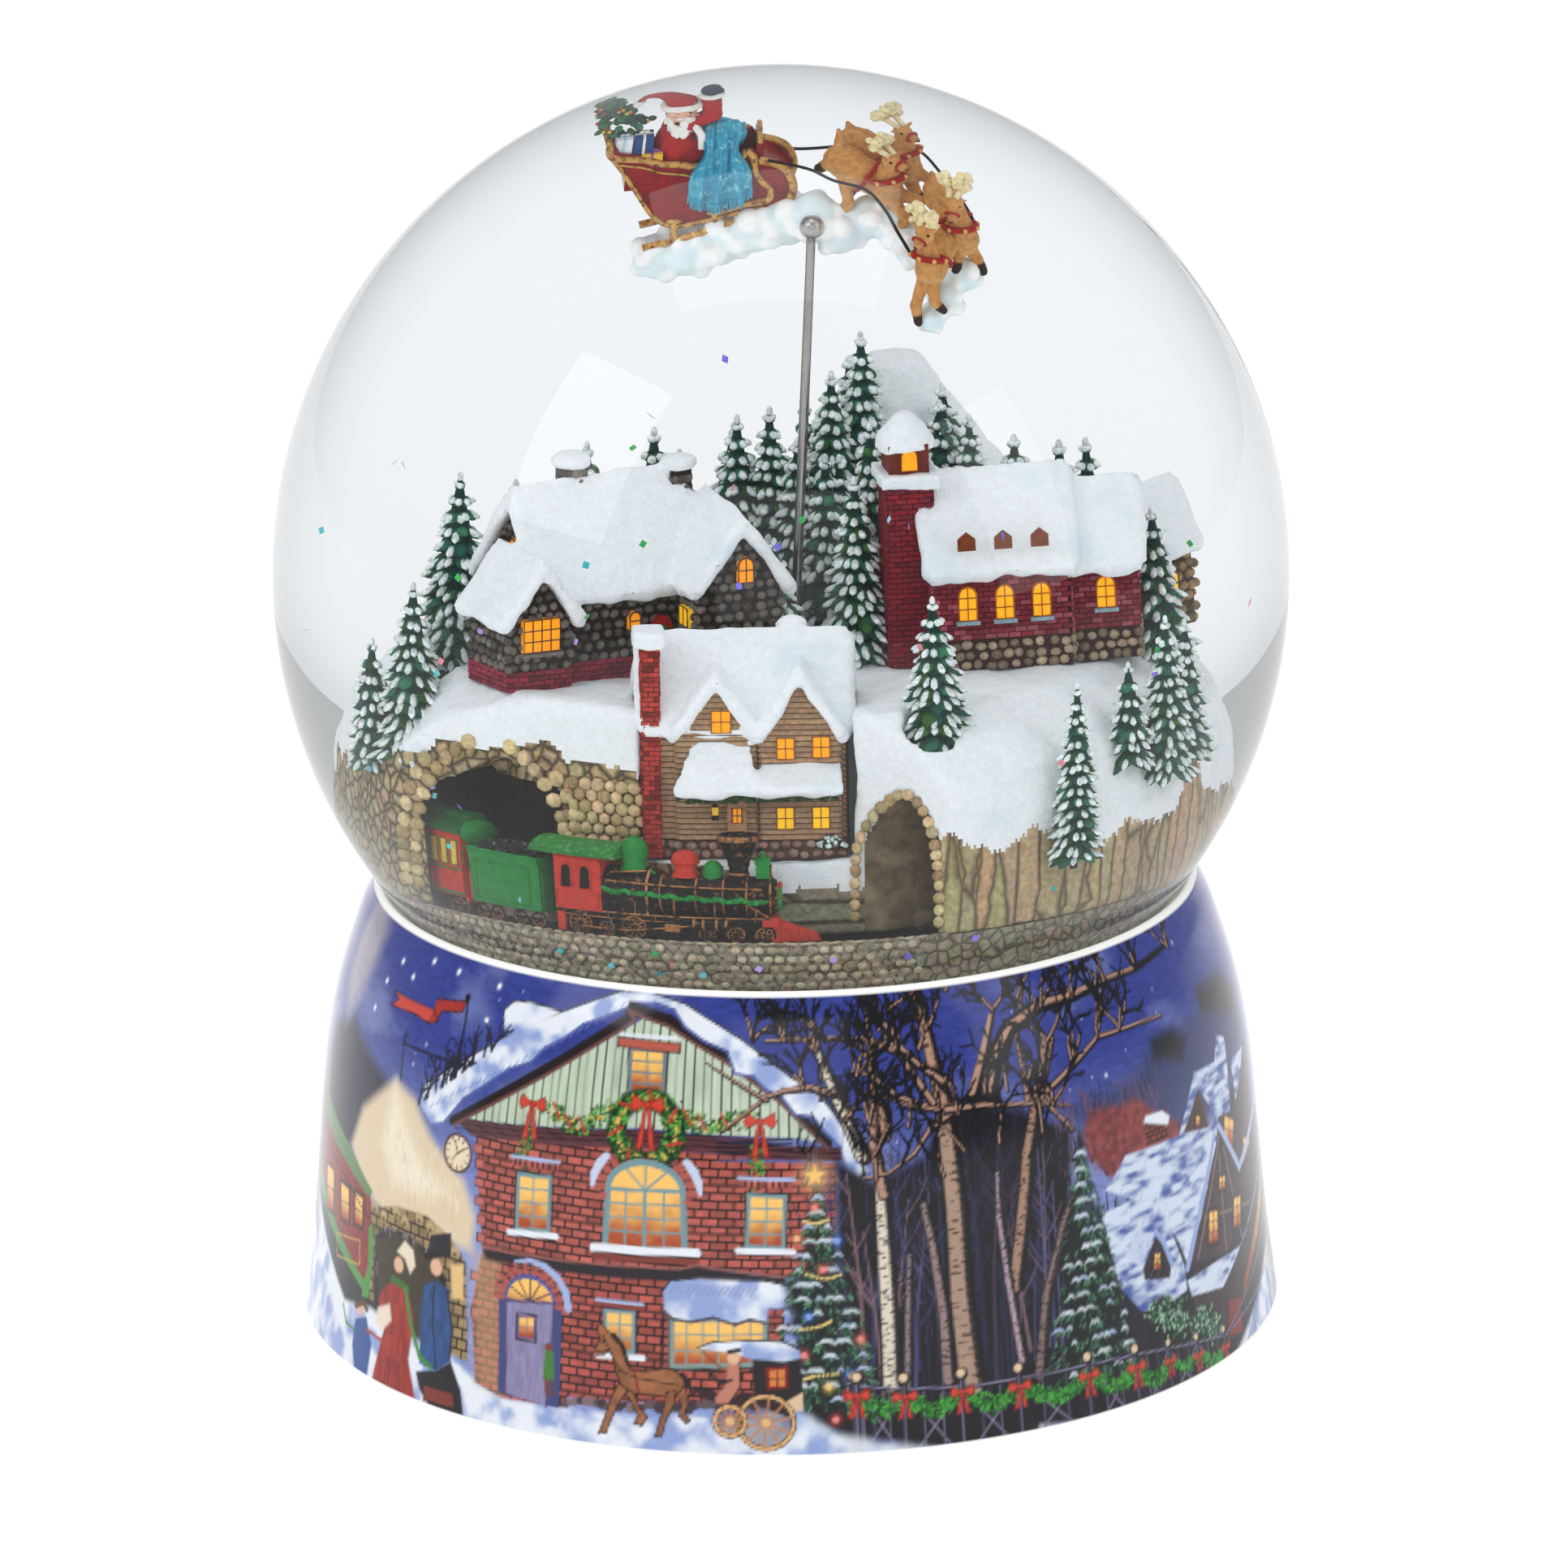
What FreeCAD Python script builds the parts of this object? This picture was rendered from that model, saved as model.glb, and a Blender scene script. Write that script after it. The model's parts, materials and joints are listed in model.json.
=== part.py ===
import FreeCAD, Part

import math
import os

import Sketcher

# Musical snow globe: a water-filled glass globe with a resin village, a train and a
# flying sleigh on one magnet-driven rotor, standing on a glazed ceramic base that
# houses a spring-driven comb movement wound by a key from below.
# Millimetres, +Z up, origin at the centre of the plane the feet stand on, -Y is the front.

Vec = FreeCAD.Vector
Rotation = FreeCAD.Rotation
doc = FreeCAD.newDocument("SnowGlobe")

# ---------------------------------------------------------------- driving dimensions
SIZES = [
    # glass globe
    ("globe_rad", 60.0), ("globe_wall", 2.5), ("globe_z", 91.5),
    ("neck_out", 41.4), ("neck_in", 39.0), ("neck_bot", 43.0), ("neck_top", 49.0),
    # ceramic base
    ("rim_rad", 48.8), ("rim_z", 55.3), ("base_rad", 58.75), ("base_z", 1.0),
    ("seat_z", 40.0), ("seat_in", 33.0), ("seat_thick", 3.5), ("bore_rad", 54.3),
    # bottom cover and feet
    ("cover_rad", 54.0), ("cover_z", 3.0), ("cover_thick", 2.0), ("recess_rad", 43.5),
    ("recess_z", 12.0), ("foot_rad", 4.5), ("foot_pitch", 49.5), ("key_hole", 3.5),
    # stopper, gasket, scene base
    ("plug_rad", 38.95), ("plug_top", 52.0), ("web_bot", 46.8), ("web_top", 49.3),
    ("magnet_bay", 16.5), ("gasket_in", 34.0), ("gasket_thick", 1.0),
    ("scene_rad", 38.5), ("kerb_in", 35.3), ("kerb_top", 61.0), ("scene_floor", 55.0),
    # movement
    ("plate_z", 17.0), ("plate_thick", 2.5), ("bracket_top", 31.6),
    ("barrel_z", 20.7), ("drum_rad", 11.5), ("drum_high", 9.8),
    ("barrel_teeth", 36), ("barrel_tip", 13.5), ("barrel_gear_high", 2.0),
    ("axis_z", 28.0), ("crown_teeth", 18), ("crown_pitch", 6.3),
    ("cyl_rad", 6.0), ("cyl_long", 13.0), ("cyl_x", 19.0),
    ("end_teeth", 24), ("end_pitch", 6.6), ("pinion_teeth", 8), ("pinion_pitch", 2.2),
    ("gov_y", 8.8), ("wheel_teeth", 16), ("wheel_pitch", 4.6), ("worm_y", 14.85), ("worm_x", 37.6),
    ("arbor_rad", 2.0), ("spindle_rad", 2.2),
    ("drive_disc_rad", 14.0), ("drive_disc_z", 43.0), ("disc_thick", 3.0),
    ("magnet_rad", 2.5), ("magnet_high", 2.2), ("magnet_ring", 9.0),
    # rotor
    ("rotor_disc_rad", 34.9), ("rotor_disc_z", 56.0), ("rotor_disc_thick", 2.5),
    ("track_in", 30.0), ("track_top", 60.3), ("rail_top", 60.8), ("track_mid", 33.0),
    ("follower_z", 50.3), ("follower_rad", 13.5),
    ("rod_rad", 0.6), ("rod_bend_z", 66.0), ("rod_top_z", 126.0), ("rod_top_x", 3.4),
    # village
    ("core_rad", 29.2), ("wall_in", 36.9), ("wall_out", 38.6), ("core_bot", 61.5),
    ("terrace_z", 84.5), ("front_z", 69.5), ("rod_hole", 2.6),
    ("peak_x", 9.5), ("peak_y", 17.5), ("peak_z", 105.5), ("peak_foot", 17.0),
]


class Dim:
    """A length: its value and the expression that binds it to the sheet."""

    def __init__(self, value, text):
        self.value = float(value)
        self.text = text

    @staticmethod
    def of(x):
        return x if isinstance(x, Dim) else Dim(x, repr(float(x)))

    def __add__(self, other):
        other = Dim.of(other)
        return Dim(self.value + other.value, "(%s + %s)" % (self.text, other.text))

    def __sub__(self, other):
        other = Dim.of(other)
        return Dim(self.value - other.value, "(%s - %s)" % (self.text, other.text))

    def __mul__(self, other):
        other = Dim.of(other)
        return Dim(self.value * other.value, "(%s * %s)" % (self.text, other.text))


class SizeTable:
    """Holds one Dim per alias."""


size = SizeTable()
sheet = doc.addObject("Spreadsheet::Sheet", "Sizes")
for row, (alias, value) in enumerate(SIZES, 1):
    sheet.set("A%d" % row, alias)
    sheet.set("B%d" % row, str(value))
    sheet.setAlias("B%d" % row, alias)
    setattr(size, alias, Dim(value, "Sizes." + alias))
doc.recompute()

PIECES = []


def piece(label, obj):
    """Label a finished piece and list it for export."""
    obj.Label = label
    PIECES.append(obj)
    return obj


def bind(obj, prop, dim):
    """Set a property and tie it to the sheet; a placement coordinate is only tied."""
    dim = Dim.of(dim)
    if "." not in prop:
        setattr(obj, prop, int(round(dim.value)) if prop == "Occurrences" else dim.value)
    if "Sizes." in dim.text:
        obj.setExpression(prop, dim.text)


def place(obj, x=0, y=0, z=0, rot=None):
    x, y, z = Dim.of(x), Dim.of(y), Dim.of(z)
    obj.Placement = FreeCAD.Placement(Vec(x.value, y.value, z.value), rot or Rotation())
    for axis, dim in (("x", x), ("y", y), ("z", z)):
        bind(obj, "Placement.Base." + axis, dim)
    return obj


def turn_z(angle):
    return Rotation(Vec(0, 0, 1), angle)


ALONG_X = Rotation(Vec(0, 1, 0), 90)    # stands a local +Z along +X
TO_FRONT = Rotation(Vec(1, 0, 0), 90)   # stands a local +Z along -Y


# ---------------------------------------------------------------- primitives and booleans
def primitive(kind, name, dims, x, y, z, rot=None):
    obj = doc.addObject("Part::" + kind, name)
    for prop, dim in dims.items():
        bind(obj, prop, dim)
    return place(obj, x, y, z, rot)


def cyl(rad, high, x=0, y=0, z=0, rot=None, angle=360):
    return primitive("Cylinder", "Cyl", dict(Radius=rad, Height=high, Angle=angle), x, y, z, rot)


def box(long, wide, high, x=0, y=0, z=0, rot=None):
    return primitive("Box", "Box", dict(Length=long, Width=wide, Height=high), x, y, z, rot)


def cone(foot_rad, top_rad, high, x=0, y=0, z=0, rot=None):
    dims = dict(Radius1=foot_rad, Radius2=top_rad, Height=high)
    return primitive("Cone", "Cone", dims, x, y, z, rot)


def ball(rad, x=0, y=0, z=0, rot=None):
    return primitive("Sphere", "Ball", dict(Radius=rad), x, y, z, rot)


def lump(rad, x, y, z):
    """A ball with its poles turned aside, for blending into rounded masses."""
    return ball(rad, x, y, z, Rotation(Vec(0, 0, 1), Vec(0.3, 1.0, 0.4)))


def fuse(*parts):
    obj = doc.addObject("Part::MultiFuse", "Fuse")
    obj.Shapes = list(parts)
    return obj


def cut(base, *tools):
    obj = doc.addObject("Part::Cut", "Cut")
    obj.Base = base
    obj.Tool = tools[0] if len(tools) == 1 else fuse(*tools)
    return obj


def blend(*parts):
    """A fuse of rounded lumps, with its seams left as they fall."""
    obj = fuse(*parts)
    obj.Refine = False
    return obj


def carve(base, *tools):
    """A cut from rounded lumps, with its seams left as they fall."""
    obj = cut(base, tools[0] if len(tools) == 1 else blend(*tools))
    obj.Refine = False
    return obj


def group(*parts):
    obj = doc.addObject("Part::Compound", "Group")
    obj.Links = list(parts)
    return obj


def plain(shape):
    obj = doc.addObject("Part::Feature", "Solid")
    obj.Shape = shape
    return obj


def around(rad, angle):
    """The x and y of a point on a circle about Z."""
    return rad * math.cos(math.radians(angle)), rad * math.sin(math.radians(angle))


# ---------------------------------------------------------------- sketched bodies
def new_body():
    return doc.addObject("PartDesign::Body", "Body")


def new_sketch(body, plane, offset=0.0):
    sketch = body.newObject("Sketcher::SketchObject", "Outline")
    support = [f for f in body.Origin.OriginFeatures if f.Role == plane][0]
    sketch.AttachmentSupport = (support, [""])
    sketch.MapMode = "FlatFace"
    sketch.AttachmentOffset = FreeCAD.Placement(Vec(0, 0, Dim.of(offset).value), Rotation())
    return sketch


def constrain(sketch, *args):
    """Add a constraint whose last argument is a Dim, bound to the sheet."""
    dim = args[-1]
    index = sketch.addConstraint(Sketcher.Constraint(*args[:-1], dim.value))
    if "Sizes." in dim.text:
        sketch.setExpression("Constraints[%d]" % index, dim.text)


def closed_sketch(body, plane, corners, spline=None, offset=0.0):
    """A closed outline with its corners held from the origin.
    spline = (corner index, [points]) makes the edge leaving that corner one smooth curve."""
    sketch = new_sketch(body, plane, offset)
    corners = [(Dim.of(a), Dim.of(b)) for a, b in corners]
    curved = spline[0] if spline else None
    total = len(corners)
    edges = []
    for i, (a, b) in enumerate(corners):
        next_a, next_b = corners[(i + 1) % total]
        start, end = Vec(a.value, b.value, 0), Vec(next_a.value, next_b.value, 0)
        if i == curved:
            curve = Part.BSplineCurve()
            curve.interpolate([start] + [Vec(p, q, 0) for p, q in spline[1]] + [end])
        else:
            curve = Part.LineSegment(start, end)
        edges.append(sketch.addGeometry(curve, False))
    for i in range(total):
        joint = Sketcher.Constraint("Coincident", edges[i], 2, edges[(i + 1) % total], 1)
        sketch.addConstraint(joint)
    for i, (a, b) in enumerate(corners):
        # The corner a spline leaves is held by the end of the line before it.
        edge, end = (edges[i - 1], 2) if i == curved else (edges[i], 1)
        for kind, dim, axis in (("DistanceX", a, -2), ("DistanceY", b, -1)):
            if abs(dim.value) < 1e-9:
                sketch.addConstraint(Sketcher.Constraint("PointOnObject", edge, end, axis))
            else:
                constrain(sketch, kind, -1, 1, edge, end, dim)
    return sketch


def turned(corners, spline=None):
    """A body of revolution about +Z from an (r, z) outline."""
    body = new_body()
    sketch = closed_sketch(body, "XZ_Plane", corners, spline)
    feature = body.newObject("PartDesign::Revolution", "Turn")
    feature.Profile = sketch
    feature.ReferenceAxis = (sketch, ["V_Axis"])
    feature.Angle = 360.0
    return body


def flat_ring(inner, outer, bottom, top):
    return turned([(inner, bottom), (outer, bottom), (outer, top), (inner, top)])


def add_pad(body, sketch, length):
    feature = body.newObject("PartDesign::Pad", "Pad")
    feature.Profile = sketch
    bind(feature, "Length", length)
    return feature


def pad(corners, length, plane="XY_Plane", x=0, y=0, z=0, rot=None, middle=False):
    body = new_body()
    feature = add_pad(body, closed_sketch(body, plane, corners), length)
    if middle:
        feature.Midplane = True
    return place(body, x, y, z, rot)


def wheel(teeth, disc_rad, root_rad, tip_rad, root_wide, tip_wide, thick, disc_z=0.0,
          tooth_z=None, tooth_high=None, bore=0.0, phase=0.0, rot=None, x=0, y=0, z=0):
    """A toothed wheel: a disc, one tooth and a polar pattern of it."""
    body = new_body()
    disc = new_sketch(body, "XY_Plane", disc_z)
    for rad in [disc_rad, bore] if bore else [disc_rad]:
        rad = Dim.of(rad)
        circle = disc.addGeometry(Part.Circle(Vec(0, 0, 0), Vec(0, 0, 1), rad.value), False)
        disc.addConstraint(Sketcher.Constraint("Coincident", circle, 3, -1, 1))
        constrain(disc, "Radius", circle, rad)
    add_pad(body, disc, thick)
    outline = closed_sketch(
        body, "XY_Plane",
        [(root_rad, -root_wide / 2), (tip_rad, -tip_wide / 2),
         (tip_rad, tip_wide / 2), (root_rad, root_wide / 2)],
        offset=disc_z if tooth_z is None else tooth_z)
    tooth = add_pad(body, outline, tooth_high or thick)
    doc.recompute()
    pattern = body.newObject("PartDesign::PolarPattern", "Teeth")
    pattern.Originals = [tooth]
    pattern.Axis = (outline, ["N_Axis"])
    pattern.Angle = 360
    bind(pattern, "Occurrences", teeth)
    body.Tip = pattern
    turn = turn_z(phase)
    return place(body, x, y, z, rot.multiply(turn) if rot else turn)


def screw(x, y, shank, head):
    """A shank and a head, each given as (radius, height, z)."""
    return fuse(*[cyl(rad, high, x, y, z) for rad, high, z in (shank, head)])


# ================================================================ base and globe
QUARTERS = (45, 135, 225, 315)
rim_rad, rim_z, seat_z = size.rim_rad, size.rim_z, size.seat_z
seat_under = seat_z - size.seat_thick

# Glazed ceramic shell: waisted outside, a dished seat at the top for the globe's neck.
WAIST = [  # (r, z) up the outside
    (58.25, 6.0), (57.55, 11.0), (57.15, 15.0), (56.75, 19.1), (56.4, 23.2), (56.05, 27.3),
    (55.65, 31.3), (55.1, 35.4), (54.35, 39.5), (53.35, 43.6), (52.1, 47.6), (50.65, 51.7)]
INNER_WALL = [(49.8, seat_under), (51.0, 33.0), (52.4, 24.0), (53.4, 15.0)]  # (r, z) downward
piece("ceramic_base", turned([
    (size.base_rad - 1.2, size.base_z), (size.base_rad, size.base_z + 1.5),
    (rim_rad + 0.35, rim_z - 0.7), (rim_rad - 0.1, rim_z - 0.1), (rim_rad - 0.45, rim_z),
    (rim_rad - 0.68, rim_z - 0.15), (rim_rad - 1.8, rim_z - 1.7), (rim_rad - 3.8, rim_z - 4.3),
    (rim_rad - 5.8, rim_z - 6.4), (size.neck_out + 0.8, rim_z - 7.8),
    (size.neck_out + 0.8, seat_z), (size.seat_in, seat_z), (size.seat_in, seat_under),
    *INNER_WALL, (size.bore_rad, 8.0), (size.bore_rad, size.base_z)], spline=(1, WAIST)))

# Plastic bottom cover: a top-hat section that leaves a recess for the winding key.
BED_SCREWS = [(-13.0, -12.0), (-13.0, 12.0), (31.0, -17.0), (31.0, 17.5)]  # (x, y)
SOUND_RING = 36.0  # radius of the arc of holes round the front half
recess_top = size.recess_z + size.cover_thick
recess_out = size.recess_rad + size.cover_thick
cover_top = size.cover_z + size.cover_thick
cover = turned([
    (size.key_hole, size.recess_z), (size.recess_rad, size.recess_z),
    (size.recess_rad, size.cover_z), (size.cover_rad, size.cover_z), (size.cover_rad, cover_top),
    (recess_out, cover_top), (recess_out, recess_top), (size.key_hole, recess_top)])
screw_holes = [cyl(1.25, 10, x, y, 10) for x, y in BED_SCREWS]
sound_holes = [cyl(1.6, 6, *around(SOUND_RING, a), 10) for a in range(195, 346, 15)]
piece("bottom_cover", cut(cover, *screw_holes, *sound_holes))

piece("rubber_feet", group(*[
    cyl(size.foot_rad, size.cover_z, *around(size.foot_pitch, a), 0) for a in QUARTERS]))

# Glass: a blown sphere opened at the bottom into a short straight neck.
shell = cut(
    ball(size.globe_rad, z=size.globe_z), ball(size.globe_rad - size.globe_wall, z=size.globe_z),
    cyl(70, size.neck_top - 20, z=20), cyl(size.neck_in, 10, z=size.neck_top - 5))
neck = cut(cyl(size.neck_out, size.neck_top - size.neck_bot + 0.4, z=size.neck_bot),
           cyl(size.neck_in, 12, z=size.neck_bot - 2))
piece("glass_globe", fuse(shell, neck))

gasket_top = seat_z + size.gasket_thick
piece("seat_gasket", flat_ring(size.gasket_in, size.neck_out - 0.2, seat_z, gasket_top))

# Rubber stopper that closes the neck, thin in the middle between the two magnet discs.
FILL_RAD, FILL_Y = 1.8, 27.0
PIN_RAD = 1.0
pin_z = size.web_bot + 0.3
upper_bay = size.magnet_bay - 1
stopper = turned([
    (0.0, size.web_bot), (size.magnet_bay, size.web_bot), (size.magnet_bay, gasket_top),
    (size.neck_out, gasket_top), (size.neck_out, size.neck_bot), (size.plug_rad, size.neck_bot),
    (size.plug_rad, size.plug_top), (upper_bay, size.plug_top), (upper_bay, size.web_top),
    (0.0, size.web_top)])
fill_hole = cyl(FILL_RAD, 14, 0, FILL_Y, 40)
pin_seat = cyl(PIN_RAD, 10, z=pin_z)
piece("rubber_stopper", cut(stopper, fill_hole, pin_seat))
piece("fill_plug", cyl(FILL_RAD, size.plug_top - gasket_top, 0, FILL_Y, gasket_top))
piece("pivot_pin", cyl(PIN_RAD, 5.4, z=pin_z))

# Resin ring cemented on the stopper, with the raised pebble kerb at its edge.
piece("kerb_ring", turned([
    (size.magnet_bay, size.plug_top), (size.scene_rad, size.plug_top),
    (size.scene_rad, size.kerb_top), (size.kerb_in, size.kerb_top),
    (size.kerb_in, size.scene_floor), (size.magnet_bay, size.scene_floor)]))

# ================================================================ movement
plate_top = size.plate_z + size.plate_thick
axis_z = size.axis_z
worm_x, worm_y = size.worm_x, size.worm_y
COMB_Z, COMB_THICK = 27.5, 1.0
COMB_SCREWS = [(20.5, -17.0), (31.0, -17.0)]    # (x, y)
BRACKET_SCREWS = [(17.75, 11.0), (17.75, -4.2), (35.55, 12.8), (35.55, -4.2)]  # (x, y)
CLICK_XY = (9.0, 6.5)

# Bedplate on four posts, with a step for the comb at the front.
plate = pad([(-17, -15), (41.5, -22), (41.5, 22), (-17, 15)], size.plate_thick, z=size.plate_z)
posts = [cyl(2.6, size.plate_z - recess_top, x, y, recess_top) for x, y in BED_SCREWS]
comb_step = box(17.0, 8.6, 8.0, 17.5, -19.8, plate_top)
post_taps = [cyl(0.8, 9, x, y, 10) for x, y in BED_SCREWS]
bed = cut(fuse(plate, comb_step, *posts), cyl(size.arbor_rad + 0.05, 10, z=15), *post_taps)
comb_taps = [cyl(0.7, 6, x, y, 24) for x, y in COMB_SCREWS]
click_tap = cyl(0.75, 10, *CLICK_XY, 13)
worm_foot = cyl(0.65, 2.0, worm_x, worm_y, size.plate_z + 1.5)
piece("bedplate", cut(bed, *comb_taps, click_tap, worm_foot))

piece("movement_screws", group(*[
    screw(x, y, shank=(0.8, 6.8, size.recess_z), head=(2.0, 1.4, size.recess_z - 1.4))
    for x, y in BED_SCREWS]))

# Winding arbor with its ratchet wheel.
arbor = fuse(cyl(size.arbor_rad, 22.5, z=5), cyl(1.2, 3.6, z=27.4))
ratchet = wheel(12, disc_rad=4.6, root_rad=4.4, tip_rad=6.0, root_wide=1.9, tip_wide=0.5,
                thick=1.8, disc_z=14.7)
piece("winding_arbor", fuse(arbor, ratchet))

# Butterfly key: round wing tips, each with a hole.
KEY_Z, TIP_Z, TIP_X, WING_THICK = 2.6, 6.1, 12, 2.2
wings = box(2 * TIP_X, WING_THICK, 7, -TIP_X, -WING_THICK / 2, KEY_Z)
tips = [cyl(3.5, WING_THICK, x, WING_THICK / 2, TIP_Z, TO_FRONT) for x in (-TIP_X, TIP_X)]
tip_holes = [cyl(1.8, 6, x, 3, TIP_Z, TO_FRONT) for x in (-TIP_X, TIP_X)]
key_raw = fuse(wings, cyl(3.3, 8, z=KEY_Z), *tips)
piece("winding_key", cut(key_raw, cyl(size.arbor_rad, 20, z=5), *tip_holes))

# Click that stops the ratchet running back, on its shouldered screw under the plate.
click_arm = pad([(8.1, 7.6), (10.0, 7.5), (10.2, 5.6), (6.4, 1.2), (5.95, 1.9), (7.6, 5.4)],
                1.6, z=14.8)
piece("ratchet_click", cut(click_arm, cyl(0.8, 6, *CLICK_XY, 13)))
piece("click_screw", screw(*CLICK_XY, shank=(0.75, 4.4, 14.75), head=(1.4, 0.6, 14.1)))

# Going barrel: a toothed drum round the mainspring, closed by a cover with the output spindle.
drum = wheel(size.barrel_teeth, disc_rad=size.drum_rad, root_rad=size.drum_rad - 0.3,
             tip_rad=size.barrel_tip, root_wide=0.95, tip_wide=0.6, thick=size.drum_high,
             disc_z=size.barrel_z, tooth_high=size.barrel_gear_high)
piece("spring_barrel", cut(drum, cyl(size.drum_rad - 0.9, 20, z=size.barrel_z + 1.2),
                           cyl(size.arbor_rad + 0.06, 5, z=size.barrel_z - 1)))
spindle_top = size.drive_disc_z + size.disc_thick
piece("barrel_cover_spindle", turned([
    (0.0, 31.4), (1.26, 31.4), (1.26, 30.5), (size.drum_rad, 30.5), (size.drum_rad, 31.7),
    (5.0, 32.2), (4.0, 33.5), (size.spindle_rad, 34.2), (size.spindle_rad, spindle_top),
    (0.0, spindle_top)]))


def spring_coil(inner, outer, turns, thick, bottom, top):
    """A flat spiral strip standing on edge."""
    steps = int(turns * 16)

    def edge_line(offset):
        points = []
        for i in range(steps + 1):
            angle = 2 * math.pi * turns * i / steps
            rad = inner + (outer - inner) * i / steps + offset
            points.append(Vec(rad * math.cos(angle), rad * math.sin(angle), bottom))
        curve = Part.BSplineCurve()
        curve.interpolate(points)
        return curve.toShape(), points[0], points[-1]

    near_edge, near_start, near_end = edge_line(-thick / 2)
    far_edge, far_start, far_end = edge_line(thick / 2)
    outline = Part.Wire([near_edge, Part.LineSegment(near_end, far_end).toShape(),
                         far_edge, Part.LineSegment(far_start, near_start).toShape()])
    return Part.Face(outline).extrude(Vec(0, 0, top - bottom))


piece("mainspring", plain(spring_coil(
    inner=2.6, outer=size.drum_rad.value - 1.3, turns=7.0, thick=0.45,
    bottom=size.barrel_z.value + 1.6, top=30.2)))


# Driving disc on the spindle, with its four magnets flush with the top.
def magnet_cyls(high, z):
    return [cyl(size.magnet_rad, high, *around(size.magnet_ring, a), z) for a in QUARTERS]


drive_magnet_z = spindle_top - size.magnet_high
disc = cyl(size.drive_disc_rad, size.disc_thick, z=size.drive_disc_z)
piece("drive_disc", cut(disc, cyl(size.spindle_rad, 10, z=size.drive_disc_z - 2),
                        *magnet_cyls(4, drive_magnet_z)))
piece("drive_magnets", group(*magnet_cyls(size.magnet_high, drive_magnet_z)))

# Pinned cylinder lying beside the barrel, driven by its crown wheel.
CROWN_X, GEAR_X = 15.2, 32.4
CYL_ARBOR_RAD, GOV_ARBOR_RAD = 1.0, 0.7
ON_AXIS = dict(rot=ALONG_X, z=axis_z)
ROWS, PINS_PER_ROW = 18, 5
FIRST_ROW, ROW_STEP = 0.6, 0.7      # along the cylinder from its -X end
PIN_WIRE, PIN_LONG, PIN_SUNK = 0.16, 0.75, 0.3


def shaft(rad, long, x, y=0):
    """A cylinder along +X at the height of the movement's axes."""
    return cyl(rad, long, x, y, axis_z, ALONG_X)


def pinned_cylinder():
    middle = Vec(size.cyl_x.value, 0, axis_z.value)
    along = Vec(1, 0, 0)
    pins = []
    for row in range(ROWS):
        for k in range(PINS_PER_ROW):
            # Scattered angles stand in for a tune.
            angle = math.radians((row * 137.5 + k * 72 + (row * row * k * 7) % 31) % 360)
            x = size.cyl_x.value + FIRST_ROW + row * ROW_STEP
            out = Vec(0, math.sin(angle), math.cos(angle))
            foot = Vec(x, 0, axis_z.value) + out * (size.cyl_rad.value - PIN_SUNK)
            pins.append(Part.makeCylinder(PIN_WIRE, PIN_LONG, foot, out))
    body = Part.makeCylinder(size.cyl_rad.value, size.cyl_long.value, middle, along)
    bore = Part.makeCylinder(CYL_ARBOR_RAD, 30, middle - along * 5, along)
    return body.multiFuse(pins).cut(bore)


piece("crown_wheel", wheel(
    size.crown_teeth, disc_rad=7.2, root_rad=size.crown_pitch - 0.7,
    tip_rad=size.crown_pitch + 0.7, root_wide=0.62, tip_wide=0.72, thick=1.2,
    tooth_z=-2.7, tooth_high=2.8, bore=CYL_ARBOR_RAD, phase=10.0, x=CROWN_X, **ON_AXIS))
piece("pin_cylinder", plain(pinned_cylinder()))
piece("cylinder_end_gear", wheel(
    size.end_teeth, disc_rad=size.end_pitch - 0.75, root_rad=size.end_pitch - 1.0,
    tip_rad=size.end_pitch + 0.55, root_wide=0.8, tip_wide=0.45, thick=1.6,
    bore=CYL_ARBOR_RAD, x=GEAR_X, **ON_AXIS))
piece("cylinder_arbor", shaft(CYL_ARBOR_RAD, 21.4, CROWN_X))


def bracket(x, y_back):
    """A bearing bracket standing across the bedplate, bored for both arbors."""
    y_front = -4.9
    slab = box(1.4, y_back - y_front, size.bracket_top - plate_top, x, y_front, plate_top)
    return cut(slab, shaft(CYL_ARBOR_RAD + 0.05, 6, x - 2),
               shaft(GOV_ARBOR_RAD + 0.05, 6, x - 2, size.gov_y))


piece("inner_bearing_bracket", bracket(17.0, 12.6))
piece("outer_bearing_bracket", bracket(34.8, 12.0))

# Governor: pinion and worm wheel on one arbor, then a two-start endless screw that spins the fly.
pinion = wheel(
    size.pinion_teeth, disc_rad=size.pinion_pitch - 0.85, root_rad=size.pinion_pitch - 1.2,
    tip_rad=size.pinion_pitch + 0.5, root_wide=0.62, tip_wide=0.4, thick=1.6,
    phase=22.5, x=GEAR_X, y=size.gov_y, **ON_AXIS)
piece("governor_arbor", fuse(pinion, shaft(GOV_ARBOR_RAD, 21.6, 16.8, size.gov_y)))
piece("worm_wheel", wheel(
    size.wheel_teeth, disc_rad=size.wheel_pitch - 0.55, root_rad=size.wheel_pitch - 0.8,
    tip_rad=size.wheel_pitch + 0.5, root_wide=0.75, tip_wide=0.4, thick=1.1,
    bore=GOV_ARBOR_RAD, x=worm_x - 0.55, y=size.gov_y, **ON_AXIS))

WORM_SHAFT_RAD = 0.6


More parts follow.
